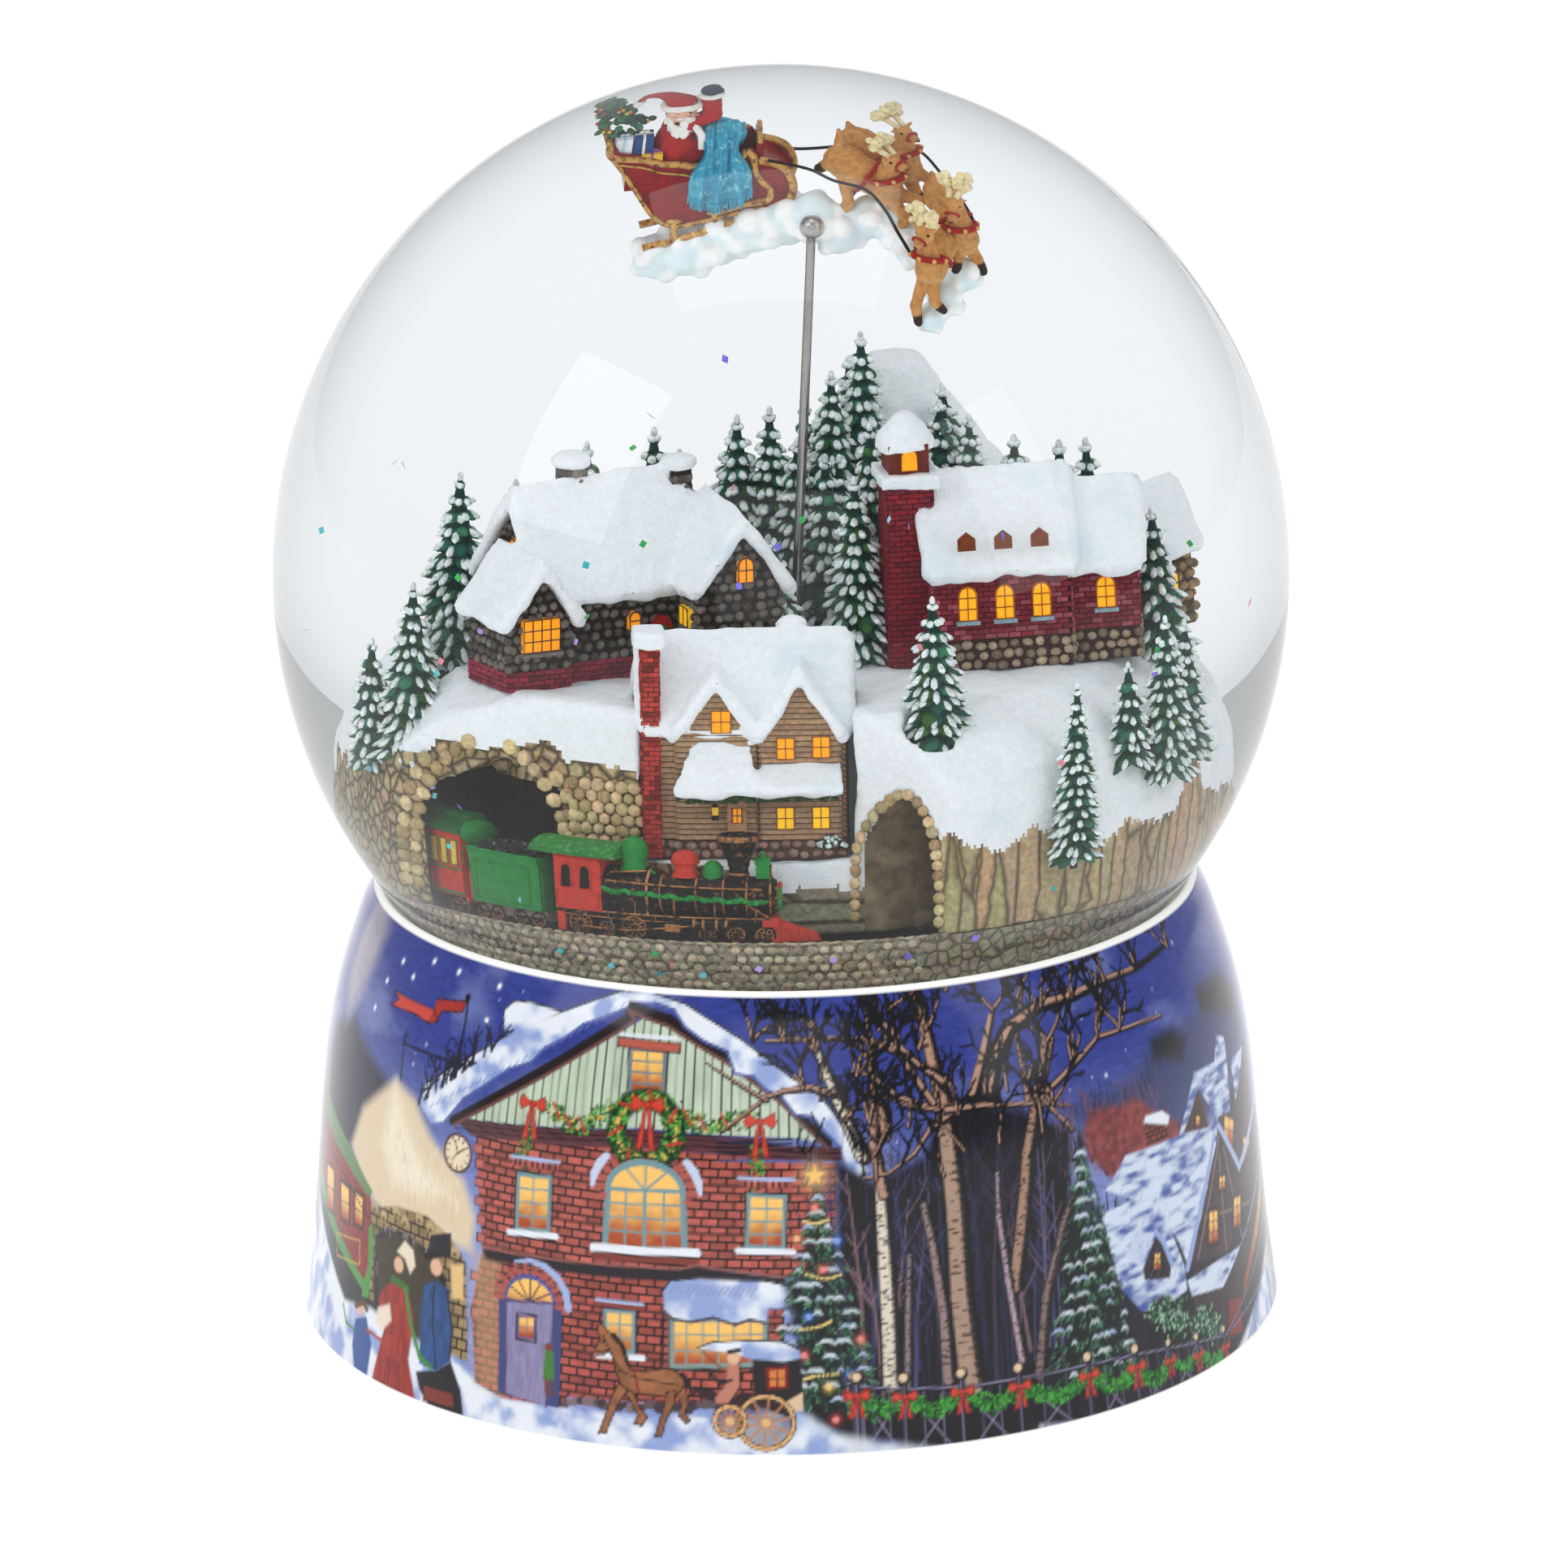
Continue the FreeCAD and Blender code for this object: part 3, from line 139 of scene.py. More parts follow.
def start_material(name, rough, rough_vary, grain, metal, coat, immersed):
    """A surface with uneven roughness. Paint under the liquid reflects far less than in air."""
    mat = bpy.data.materials.new(name)
    mat.use_nodes = True
    tree = mat.node_tree
    shader = tree.nodes["Principled BSDF"]
    coords = object_coords(tree)
    specks = noise(tree, coords, grain, detail=4.0)
    limits = (max(0.02, rough - rough_vary), min(1.0, rough + rough_vary))
    tree.links.new(map_range(tree, specks, GRAIN_BAND, limits), shader.inputs["Roughness"])
    shader.inputs["Metallic"].default_value = metal
    shader.inputs["Coat Weight"].default_value = coat * (0.12 if immersed else 1.0)
    shader.inputs["Coat Roughness"].default_value = 0.12
    if immersed and metal < 0.5:
        shader.inputs["Specular IOR Level"].default_value = 0.1
    return mat, tree, shader, coords, specks


def material(name, colour=None, rough=0.5, metal=0.0, vary=0.12, grain=900.0, bump=0.15,
             bump_scale=2500.0, coat=0.0, rough_vary=0.12, sub=0.0, glow=0.0, dark=0.0,
             patch=None, immersed=False):
    """A painted or cast surface; without a colour it takes the point colours "Col".

    vary and dark are how far the grain lightens and darkens the colour; patch is
    (colour, noise scale, noise value where it starts, value where it is full).
    """
    mat, tree, shader, coords, specks = start_material(
        name, rough, rough_vary, grain, metal, coat, immersed)
    if colour is None:
        attribute = tree.nodes.new("ShaderNodeAttribute")
        attribute.attribute_name = "Col"
        colour = attribute.outputs["Color"]
    shade = map_range(tree, specks, GRAIN_BAND, (1.0 - vary - dark, 1.0 + vary))
    out = mix(tree, "MULTIPLY", colour, grey(tree, shade), 1.0)
    if patch:
        patch_colour, patch_scale, start, full = patch
        spots = noise(tree, coords, patch_scale, detail=5.0)
        out = mix(tree, "MIX", out, patch_colour, map_range(tree, spots, (start, full)))
    tree.links.new(out, shader.inputs["Base Color"])
    if sub:
        shader.inputs["Subsurface Weight"].default_value = sub
        shader.inputs["Subsurface Scale"].default_value = 0.001
    if glow:
        tree.links.new(out, shader.inputs["Emission Color"])
        shader.inputs["Emission Strength"].default_value = glow
    if bump:
        pits = noise(tree, coords, bump_scale, detail=3.0)
        tree.links.new(bump_normal(tree, pits, bump, 0.0002), shader.inputs["Normal"])
    return mat


def wet(name, colour=None, **look):
    """A material seen through the liquid."""
    return material(name, colour, immersed=True, **look)


def cell_rock(name, light, mid, dark, scale, bump, stretch=(1, 1, 1), edge=0.05, immersed=True):
    """Cobbles or split rock: voronoi cells with dark joints of width edge, dry-brushed."""
    mat, tree, shader, _, _ = start_material(name, 0.75, 0.12, 900.0, 0.0, 0.0, immersed)
    coords = object_coords(tree)
    mapping = tree.nodes.new("ShaderNodeMapping")
    mapping.inputs["Scale"].default_value = stretch
    tree.links.new(coords, mapping.inputs[0])
    joints = tree.nodes.new("ShaderNodeTexVoronoi")
    joints.feature = "DISTANCE_TO_EDGE"
    cells = tree.nodes.new("ShaderNodeTexVoronoi")
    for node in (joints, cells):
        node.inputs["Scale"].default_value = scale
        tree.links.new(mapping.outputs[0], node.inputs["Vector"])
    distance = joints.outputs["Distance"]
    specks = noise(tree, coords, 1400, detail=6)
    brushed = mix(tree, "MIX", mid, light, map_range(tree, specks, (0.35, 0.7)))
    tinted = mix(tree, "MULTIPLY", brushed, cells.outputs["Color"], 0.22)
    out = mix(tree, "MIX", dark, tinted, map_range(tree, distance, (0.0, edge * 2.2)))
    tree.links.new(out, shader.inputs["Base Color"])

    domes = map_range(tree, distance, (0.0, edge * 4), smooth=True)
    fine = tree.nodes.new("ShaderNodeMath")
    fine.operation = "MULTIPLY"
    fine.inputs[1].default_value = 0.35
    tree.links.new(specks, fine.inputs[0])
    height = tree.nodes.new("ShaderNodeMath")
    height.operation = "ADD"
    tree.links.new(domes, height.inputs[0])
    tree.links.new(fine.outputs[0], height.inputs[1])
    normal = bump_normal(tree, height.outputs[0], bump, 0.0006)
    tree.links.new(normal, shader.inputs["Normal"])
    return mat


# ------------------------------------------------------------------ meshes, in millimetres
def set_colours(mesh, colours):
    layer = mesh.color_attributes.get("Col")
    layer = layer or mesh.color_attributes.new("Col", "FLOAT_COLOR", "POINT")
    rgba = np.ones((len(colours), 4))
    rgba[:, :3] = colours
    layer.data.foreach_set("color", rgba.ravel())


def register(part, body, replaces):
    """Tells the frame what the part rides on and the pieces it stands in for."""
    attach(part, body)
    if replaces:
        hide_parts(*replaces)


def link_object(name, mesh):
    part = bpy.data.objects.new(name, mesh)
    bpy.context.scene.collection.objects.link(part)
    return part


class Kit:
    """Collects shapes with their colours, and makes one object of them."""

    def __init__(self):
        self.points, self.colours, self.faces = [], [], []
        self.slots, self.smooth, self.count = [], [], 0

    def add(self, shape, col=WHITE, mat=0, pose=None, smooth=False):
        points, faces = shape
        points = np.asarray(points, float).reshape(-1, 3)
        if pose is not None:
            pose = np.array(pose)
            points = points @ pose[:3, :3].T + pose[:3, 3]
        self.colours.append(np.broadcast_to(np.asarray(col, float), (len(points), 3)).copy())
        self.points.append(points)
        self.faces += [tuple(i + self.count for i in face) for face in faces]
        self.slots += [mat] * len(faces)
        self.smooth += [smooth] * len(faces)
        self.count += len(points)

    def warp(self, move):
        self.points = [move(np.concatenate(self.points))]
        return self

    def mesh(self, name):
        mesh = bpy.data.meshes.new(name)
        mesh.from_pydata((np.concatenate(self.points) * MM).tolist(), [], self.faces)
        mesh.polygons.foreach_set("material_index", self.slots)
        mesh.polygons.foreach_set("use_smooth", self.smooth)
        set_colours(mesh, np.concatenate(self.colours))
        mesh.update()
        return mesh

    def make(self, name, body, slot, mats, replaces=(), bevel=0.0):
        part = link_object(name, self.mesh(name))
        for mat in mats:
            part.data.materials.append(mat)
        if bevel:
            edges = part.modifiers.new("edges", "BEVEL")
            edges.width = bevel * MM
            edges.segments = 2
            edges.limit_method = "ANGLE"
            edges.angle_limit = math.radians(40)
        register(part, body, replaces)


def place_mesh(mesh, name, body, mats, replaces=()):
    """Makes a smooth-shaded object of a finished mesh."""
    part = link_object(name, mesh)
    mesh.materials.clear()
    for mat in mats:
        mesh.materials.append(mat)
    mesh.polygons.foreach_set("use_smooth", [True] * len(mesh.polygons))
    register(part, body, replaces)


def shift(x, y, z):
    return Matrix.Translation((x, y, z))


def spin(degrees, axis="Z"):
    return Matrix.Rotation(math.radians(degrees), 4, axis)


def at(x=0, y=0, z=0, rz=0, ry=0, rx=0):
    """A pose: turned about x, then y, then z (degrees), then moved."""
    return shift(x, y, z) @ spin(rz) @ spin(ry, "Y") @ spin(rx, "X")


def box(x0, x1, y0, y1, z0, z1):
    points = [(x, y, z) for z in (z0, z1) for y in (y0, y1) for x in (x0, x1)]
    return points, [(0, 2, 3, 1), (4, 5, 7, 6), (0, 1, 5, 4), (2, 6, 7, 3), (0, 4, 6, 2),
                    (1, 3, 7, 5)]


def prism(outline, start, end, axis="z"):
    """An outline pushed along an axis. z: (x, y) outline; y: (x, z); x: (y, z)."""
    n = len(outline)
    points = []
    for h in (start, end):
        for a, b in outline:
            points.append((a, b, h) if axis == "z" else (a, h, b) if axis == "y" else (h, a, b))
    faces = [tuple(range(n))[::-1], tuple(range(n, 2 * n))]
    faces += [(i, (i + 1) % n, n + (i + 1) % n, n + i) for i in range(n)]
    if axis == "y":
        faces = [face[::-1] for face in faces]
    return points, faces


def lathe(profile, n=32, x=0.0, y=0.0):
    """A (radius, z) profile turned about an upright axis at x, y."""
    points = []
    for i in range(n):
        a = math.radians(360.0 * i / n)
        points += [(x + r * math.cos(a), y + r * math.sin(a), z) for r, z in profile]
    m = len(profile)
    faces = []
    for i in range(n):
        j = (i + 1) % n
        for k in range(m - 1):
            faces.append((i * m + k, j * m + k, j * m + k + 1, i * m + k + 1))
    return points, faces


def ball(x, y, z, rx, ry=None, rz=None, n=12, m=8):
    """An ellipsoid with n points round and m bands up."""
    ry = rx if ry is None else ry
    rz = rx if rz is None else rz
    points = [(x, y, z - rz)]
    for j in range(1, m):
        t = math.pi * j / m
        for i in range(n):
            a = TURN * i / n
            points.append((x + rx * math.sin(t) * math.cos(a), y + ry * math.sin(t) * math.sin(a),
                           z - rz * math.cos(t)))
    points.append((x, y, z + rz))
    faces = [(0, 1 + (i + 1) % n, 1 + i) for i in range(n)]
    for j in range(m - 2):
        for i in range(n):
            a, b = 1 + j * n + i, 1 + j * n + (i + 1) % n
            faces.append((a, b, b + n, a + n))
    last = len(points) - 1
    faces += [(last, last - n + i, last - n + (i + 1) % n) for i in range(n)]
    return points, faces


def bead(x, y, z, r, n=6, m=4):
    return ball(x, y, z, r, r, r, n, m)


def tube(path, radius, n=8, closed=False):
    """A round bar along points; radius is one value or one per point."""
    path = [Vector(p) for p in path]
    k = len(path)
    radii = [radius] * k if isinstance(radius, (int, float)) else list(radius)
    up = None
    points = []
    for i, p in enumerate(path):
        if closed:
            along = (path[(i + 1) % k] - path[i - 1]).normalized()
        else:
            along = (path[min(i + 1, k - 1)] - path[max(i - 1, 0)]).normalized()
        if up is None:
            up = Vector((0, 0, 1)) if abs(along.z) < 0.9 else Vector((0, 1, 0))
        side = along.cross(up)
        if side.length < 1e-6:
            side = along.orthogonal()
        side.normalize()
        up = side.cross(along).normalized()
        for q in range(n):
            a = TURN * q / n
            points.append(tuple(p + side * (math.cos(a) * radii[i]) + up * (math.sin(a) * radii[i])))
    faces = []
    for i in range(k if closed else k - 1):
        j = (i + 1) % k
        faces += [(i * n + q, i * n + (q + 1) % n, j * n + (q + 1) % n, j * n + q)
                  for q in range(n)]
    if not closed:
        faces += [tuple(range(n))[::-1], tuple(range((k - 1) * n, k * n))]
    return points, faces


def rod(start, end, r0, r1=None, n=12):
    return tube([start, end], [r0, r0 if r1 is None else r1], n)


def smooth_path(points, k=6):
    """Catmull-Rom points through the given ones, k to each span."""
    pts = [np.array(p, float) for p in points]
    pts = [2 * pts[0] - pts[1]] + pts + [2 * pts[-1] - pts[-2]]
    out = []
    for i in range(1, len(pts) - 2):
        a, b, c, d = pts[i - 1:i + 3]
        for j in range(k):
            t = j / k
            out.append(tuple(0.5 * (2 * b + (c - a) * t + (2 * a - 5 * b + 4 * c - d) * t * t
                                    + (3 * b - a - 3 * c + d) * t ** 3)))
    out.append(tuple(pts[-2]))
    return out


def remeshed(source, voxel, name, smooth=2):
    """One closed skin round everything in a kit or mesh."""
    part = link_object(name, source.mesh(name) if isinstance(source, Kit) else source)
    skin = part.modifiers.new("skin", "REMESH")
    skin.mode = "VOXEL"
    skin.voxel_size = voxel * MM
    skin.use_smooth_shade = True
    soft = part.modifiers.new("soft", "SMOOTH")
    soft.factor = 0.5
    soft.iterations = smooth
    graph = bpy.context.evaluated_depsgraph_get()
    out = bpy.data.meshes.new_from_object(part.evaluated_get(graph), depsgraph=graph)
    bpy.data.objects.remove(part)
    out.name = name
    return out


def coords_of(mesh):
    flat = np.empty(len(mesh.vertices) * 3)
    mesh.vertices.foreach_get("co", flat)
    return flat.reshape(-1, 3) / MM


def normals_of(mesh):
    flat = np.empty(len(mesh.vertices) * 3)
    mesh.vertex_normals.foreach_get("vector", flat)
    return flat.reshape(-1, 3)


def set_coords(mesh, points):
    mesh.vertices.foreach_set("co", (points * MM).ravel())
    mesh.update()


def hash01(ix, iy, iz=0, seed=0):
    h = (ix * 374761393 + iy * 668265263 + iz * 2147483647 + seed * 1274126177) & 0xFFFFFFFF
    h = (h ^ (h >> 13)) * 1274126177 & 0xFFFFFFFF
    return ((h ^ (h >> 16)) & 0xFFFFFF) / float(0xFFFFFF)


def vnoise(points, size, seed=0, octaves=3):
    """Smooth value noise, 0 to 1, for arrays of 2-D or 3-D points."""
    points = np.asarray(points, float)
    if points.shape[1] == 2:
        points = np.concatenate([points, np.zeros((len(points), 1))], 1)
    total, weight, weights = np.zeros(len(points)), 1.0, 0.0
    for octave in range(octaves):
        q = points * (2 ** octave) / size + 17.3 * octave
        i = np.floor(q).astype(np.int64)
        f = q - i
        f = f * f * (3 - 2 * f)
        value = np.zeros(len(points))
        for dx in (0, 1):
            for dy in (0, 1):
                for dz in (0, 1):
                    share = ((f[:, 0] if dx else 1 - f[:, 0]) * (f[:, 1] if dy else 1 - f[:, 1])
                             * (f[:, 2] if dz else 1 - f[:, 2]))
                    value += share * hash01(i[:, 0] + dx, i[:, 1] + dy, i[:, 2] + dz,
                                            seed + octave)
        total += weight * value
        weights += weight
        weight *= 0.5
    return total / weights


def lerp(a, b, t):
    a, b, t = np.asarray(a, float), np.asarray(b, float), np.asarray(t, float)
    return a + (b - a) * (t[..., None] if t.ndim else t)


def sstep(x, a, b):
    t = np.clip((x - a) / (b - a), 0, 1)
    return t * t * (3 - 2 * t)


def angles(count, span=math.pi):
    """Both ends of a span of radians and the equal steps between."""
    return [span * k / count for k in range(count + 1)]


def oval(x, z, rx, rz, at_angles):
    return [(x + rx * math.cos(a), z + rz * math.sin(a)) for a in at_angles]


# ------------------------------------------------------------------ printed winter scene
# (radius, z) up the outer wall of the base
PROFILE = [(58.75, 2.5), (58.25, 6), (57.55, 11), (57.15, 15), (56.75, 19.1), (56.4, 23.2),
           (56.05, 27.3), (55.65, 31.3), (55.1, 35.4), (54.35, 39.5), (53.35, 43.6),
           (52.1, 47.6), (50.65, 51.7), (49.15, 54.6)]
PRINT_RADIUS = 56.0    # turns angles round the base into millimetres across the print

INK, SNOW_LIGHT, SNOW_SHADE = "1a1620", "eef3fb", "9db0de"
BRICK_RED, PALE_FRAME, BROWN_FRAME, DARK_FRAME = "b9655a", "7fa3aa", "5a3a30", "3a2a28"
MAROON, RED, SKIN_TONE, ICE, ICE_EDGE = "8c2420", "d8503e", "e9c0a2", "b9c8ea", "a4b6e2"
BARK, BIRCH, BARK_DARK = "c09a86", "e6dccc", "15121a"


def tone(col):
    return rgb(col) if isinstance(col, str) else np.asarray(col)


def segment(x, y, start, end):
    """How far along a segment each grid point lies (0 to 1), and its squared distance."""
    (x0, y0), (x1, y1) = start, end
    length2 = max(1e-9, (x1 - x0) ** 2 + (y1 - y0) ** 2)
    t = np.clip(((x - x0) * (x1 - x0) + (y - y0) * (y1 - y0)) / length2, 0, 1)
    return t, (x - x0 - t * (x1 - x0)) ** 2 + (y - y0 - t * (y1 - y0)) ** 2


class Picture:
    """Colours on the points of an (across, height) grid, in millimetres."""

    def __init__(self, across, height):
        self.across, self.height = across, height
        self.colour = np.zeros(across.shape + (3,))

    def window(self, points, pad):
        """The part of the grid round the points, or None if it misses the grid."""
        points = np.array(points, float)
        columns, rows = self.across[:, 0], self.height[0]
        a = np.searchsorted(columns, points[:, 0].min() - pad)
        b = np.searchsorted(columns, points[:, 0].max() + pad)
        c = np.searchsorted(rows, points[:, 1].min() - pad)
        d = np.searchsorted(rows, points[:, 1].max() + pad)
        if b <= a or d <= c:
            return None
        return slice(a, b), slice(c, d)

    def blend(self, area, alpha, col):
        alpha = alpha[..., None]
        self.colour[area] = self.colour[area] * (1 - alpha) + tone(col) * alpha

    def poly(self, points, col, soft=0.16, alpha=1.0, tex=None):
        points = np.array(points, float)
        area = self.window(points, soft * 2)
        if area is None:
            return
        x, y = self.across[area], self.height[area]
        inside = np.zeros(x.shape, bool)
        gap = np.full(x.shape, 1e9)
        for i in range(len(points)):
            (x0, y0), (x1, y1) = points[i - 1], points[i]
            with np.errstate(divide="ignore", invalid="ignore"):
                edge_x = (x1 - x0) * (y - y0) / ((y1 - y0) or 1e-9) + x0
                inside ^= ((y0 > y) != (y1 > y)) & (x < edge_x)
            gap = np.minimum(gap, segment(x, y, points[i - 1], points[i])[1])
        depth = np.sqrt(gap) * np.where(inside, 1, -1)
        col = tone(col)
        if tex is not None:
            col = tex(x, y, np.broadcast_to(col, x.shape + (3,)).copy())
        self.blend(area, sstep(depth, -soft, soft) * alpha, col)

    def line(self, points, width, col, soft=0.13, alpha=1.0):
        """A stroke; width is one value or several spread along it."""
        points = np.array(points, float)
        k = len(points)
        widths = np.full(k, width) if np.isscalar(width) else np.interp(
            np.linspace(0, 1, k), np.linspace(0, 1, len(width)), width)
        for i in range(k - 1):
            area = self.window(points[i:i + 2], widths[i] + soft)
            if area is None:
                continue
            t, gap = segment(self.across[area], self.height[area], points[i], points[i + 1])
            half = (widths[i] + (widths[i + 1] - widths[i]) * t) / 2
            self.blend(area, sstep(half - np.sqrt(gap), -soft, soft) * alpha, col)

    def distance(self, u, z, r, pad):
        area = self.window([(u - r, z - r), (u + r, z + r)], pad)
        if area is None:
            return None, None
        return area, np.sqrt((self.across[area] - u) ** 2 + (self.height[area] - z) ** 2)

    def dot(self, u, z, r, col, soft=0.15, alpha=1.0):
        area, gap = self.distance(u, z, r, soft)
        if area is not None:
            self.blend(area, sstep(r - gap, -soft, soft) * alpha, col)

    def glow(self, u, z, r, col, alpha=0.8):
        area, gap = self.distance(u, z, r, 0)
        if area is not None:
            self.blend(area, np.clip(1 - gap / r, 0, 1) ** 2 * alpha, col)

    def snow(self, points, soft=0.16, alpha=1.0):
        self.poly(points, SNOW_LIGHT, soft, alpha, drift)

    def outlined(self, points, fill, width, edge=INK, tex=None):
        self.poly(points, fill, tex=tex)
        self.line(list(points) + [points[0]], width, edge)


def grain(x, y, size, seed, octaves=2):
    return vnoise(np.stack([x.ravel(), y.ravel()], 1), size, seed, octaves).reshape(x.shape)


def mottled(low, gain, size, seed, x_scale=1, y_scale=1, octaves=2):
    """A fill whose brightness runs from low to low + gain."""
    return lambda x, y, base: base * (
        low + gain * grain(x * x_scale, y * y_scale, size, seed, octaves))[..., None]


def bricks(width=1.85, height=0.95):
    def tex(x, y, base):
        row = np.floor(y / height)
        column = x / width + 0.5 * (row % 2)
        fx, fy = column % 1.0, (y / height) % 1.0
        gap = np.minimum(np.minimum(fx, 1 - fx) * width, np.minimum(fy, 1 - fy) * height)
        shade = hash01(np.floor(column).astype(np.int64), row.astype(np.int64), 0, 5)
        base = base * (0.72 + 0.55 * shade[..., None]) * (0.8 + 0.4 * grain(x, y, 0.6, 4)[..., None])
        return lerp(rgb("2c1418"), base, sstep(gap, 0.06, 0.2))
    return tex


def siding(x, y, base):
    f = (x / 1.15) % 1.0
    gap = np.minimum(f, 1 - f) * 1.15
    base = base * (0.8 + 0.35 * grain(x, y * 0.2, 0.7, 6)[..., None])
    return lerp(rgb("39433c"), base, sstep(gap, 0.03, 0.16))


def drift(x, y, base):
    return lerp(rgb(SNOW_SHADE), rgb(SNOW_LIGHT), sstep(grain(x, y, 2.4, 9, 3), 0.3, 0.62))


def blue_roof(x, y, base):
    streaks = grain(x * 0.7, y * 2.0, 1.4, 5, 3) + 0.25 * base[..., 0]
    return lerp(rgb("4f69b0"), rgb("dbe6f6"), sstep(streaks, 0.3, 0.75))


def fire(z0, z1):
    """Lit glass, redder at the foot."""
    def tex(x, y, base):
        t = np.clip((y - z0) / (z1 - z0), 0, 1) + 0.3 * (grain(x, y, 1.1, 3) - 0.5)
        return lerp(rgb("b4552f"), rgb("ffcf78"), sstep(t, 0.05, 0.75))
    return tex


def panes(pic, corners, nx, ny, frame_col, frame_w=0.5, bar_w=0.22):
    """A lit window from its corners: lower left, lower right, upper right, upper left."""
    a, b, c, d = [np.array(q, float) for q in corners]
    pic.poly(corners, "ffb95e", tex=fire(min(a[1], b[1]), max(c[1], d[1])))
    for i in range(1, nx):
        t = i / nx
        pic.line([a + (b - a) * t, d + (c - d) * t], bar_w, frame_col)
    for j in range(1, ny):
        t = j / ny
        pic.line([a + (d - a) * t, b + (c - b) * t], bar_w, frame_col)
    pic.line([a, b, c, d, a], frame_w, frame_col)
    low = a + (-0.3, -0.3)
    pic.line([low, b + (0.3, -0.3), c + (0.3, 0.3), d + (-0.3, 0.3), low], 0.16, INK)


def strokes(pic, rand, count, xs, ys, sway, rise, width, cols, alpha=1.0):
    """Scattered upright strokes; width is a number or a (low, high) range."""
    for _ in range(count):
        x, y = rand.uniform(*xs), rand.uniform(*ys)
        tip = (x + rand.uniform(-sway, sway), y + rand.uniform(*rise))
        thick = width if np.isscalar(width) else rand.uniform(*width)
        pic.line([(x, y), tip], thick, rand.choice(cols), alpha=alpha)


def leafy(pic, path, spread, seed, dense=9.0, cols=("1d4a26", "2f7a34", "6db455"), fleck=None):
    """A garland: short strokes of leaf along a path."""
    rand = random.Random(seed)
    path = smooth_path(path, 8)
    for (x0, y0), (x1, y1) in zip(path, path[1:]):
        length = math.hypot(x1 - x0, y1 - y0)
        for _ in range(max(2, int(length * dense * 2))):
            t = rand.random()
            x = x0 + (x1 - x0) * t + rand.uniform(-spread, spread)
            y = y0 + (y1 - y0) * t + rand.uniform(-spread, spread)
            a = rand.uniform(0, 6.28)
            tip = (x + 0.35 * math.cos(a), y + 0.35 * math.sin(a))
            pic.line([(x, y), tip], 0.24, rand.choice(cols), soft=0.1)
        if fleck and rand.random() < 0.6:
            pic.dot(x0, y0 + rand.uniform(-spread, spread) * 0.6, 0.2, fleck)


def bow(pic, u, z, s=1.0, tail=3.0):
    for k in (-1, 1):
        pic.outlined([(u, z), (u + k * 1.7 * s, z + 0.95 * s), (u + k * 2.0 * s, z - 0.1 * s),
                      (u + k * 1.6 * s, z - 0.8 * s)], RED, 0.14, MAROON)
        ribbon = [(u, z), (u + k * 0.35 * s, z - 0.4 * s), (u + k * 1.1 * s, z - tail * s),
                  (u + k * 0.4 * s, z - tail * 0.92 * s)]
        pic.poly(ribbon, RED)
        pic.line([ribbon[0]] + ribbon[:0:-1], 0.12, MAROON)
    pic.dot(u, z, 0.42 * s, MAROON)
    pic.dot(u, z, 0.28 * s, RED)


def branch(pic, rand, x, y, angle, length, width, depth, light=BARK, dark=BARK_DARK):
    """A bare branch that forks as it rises."""
    steps = 4
    path = [(x, y)]
    for _ in range(steps):
        angle += rand.uniform(-0.22, 0.22)
        x, y = x + math.cos(angle) * length / steps, y + math.sin(angle) * length / steps
        path.append((x, y))
    tip = width * 0.62
    pic.line(path, [width + 0.22, tip + 0.16], dark, soft=0.1)
    if width > 0.32:
        pic.line([(a - width * 0.18, b + 0.03) for a, b in path], [width * 0.52, tip * 0.45],
                 light, soft=0.12)
    if depth <= 0 or width < 0.12:
        return
    for k in range(rand.choice((2, 2, 3))):
        i = rand.choice((2, 3, 4)) if k else 4
        turn = rand.uniform(0.25, 0.8) * rand.choice((-1, 1))
        branch(pic, rand, path[i][0], path[i][1], angle + turn + 0.12 * (math.pi / 2 - angle),
               length * rand.uniform(0.6, 0.85), tip * rand.uniform(0.6, 0.9), depth - 1,
               light, dark)


def trunk(pic, path, width, light, seed, shade=0.45, dark=BARK_DARK):
    """Bark: a dark edge, a light face and short dark ticks across it."""
    rand = random.Random(seed)
    pic.line(path, [w + 0.35 for w in width], dark, soft=0.14)
    pic.line([(a - 0.08, b) for a, b in path], [w * (1 - shade * 0.4) for w in width], light,
             soft=0.2)
    fine = smooth_path(path, 10)
    for i in range(len(fine) - 1):
        (x0, y0), (x1, y1) = fine[i], fine[i + 1]
        w = np.interp(i / len(fine), np.linspace(0, 1, len(width)), width)
        for _ in range(3):
            x, y = x0 + rand.uniform(-0.5, 0.5) * w, y0 + rand.uniform(0, 1) * (y1 - y0)
            tip = (x + rand.uniform(0.1, 0.4) * w, y + rand.uniform(-0.1, 0.1))
            pic.line([(x, y), tip], rand.uniform(0.08, 0.22), dark, soft=0.08, alpha=0.8)
        pic.line([(x0 + w * 0.36, y0), (x1 + w * 0.36, y1)], w * 0.3, dark, soft=0.2, alpha=0.75)


def limb(pic, path, width):
    pic.line(path, [width + 0.3, width * 0.5], BARK_DARK)
    pic.line([(a, b + 0.12) for a, b in path], [width * 0.55, width * 0.2], BARK)


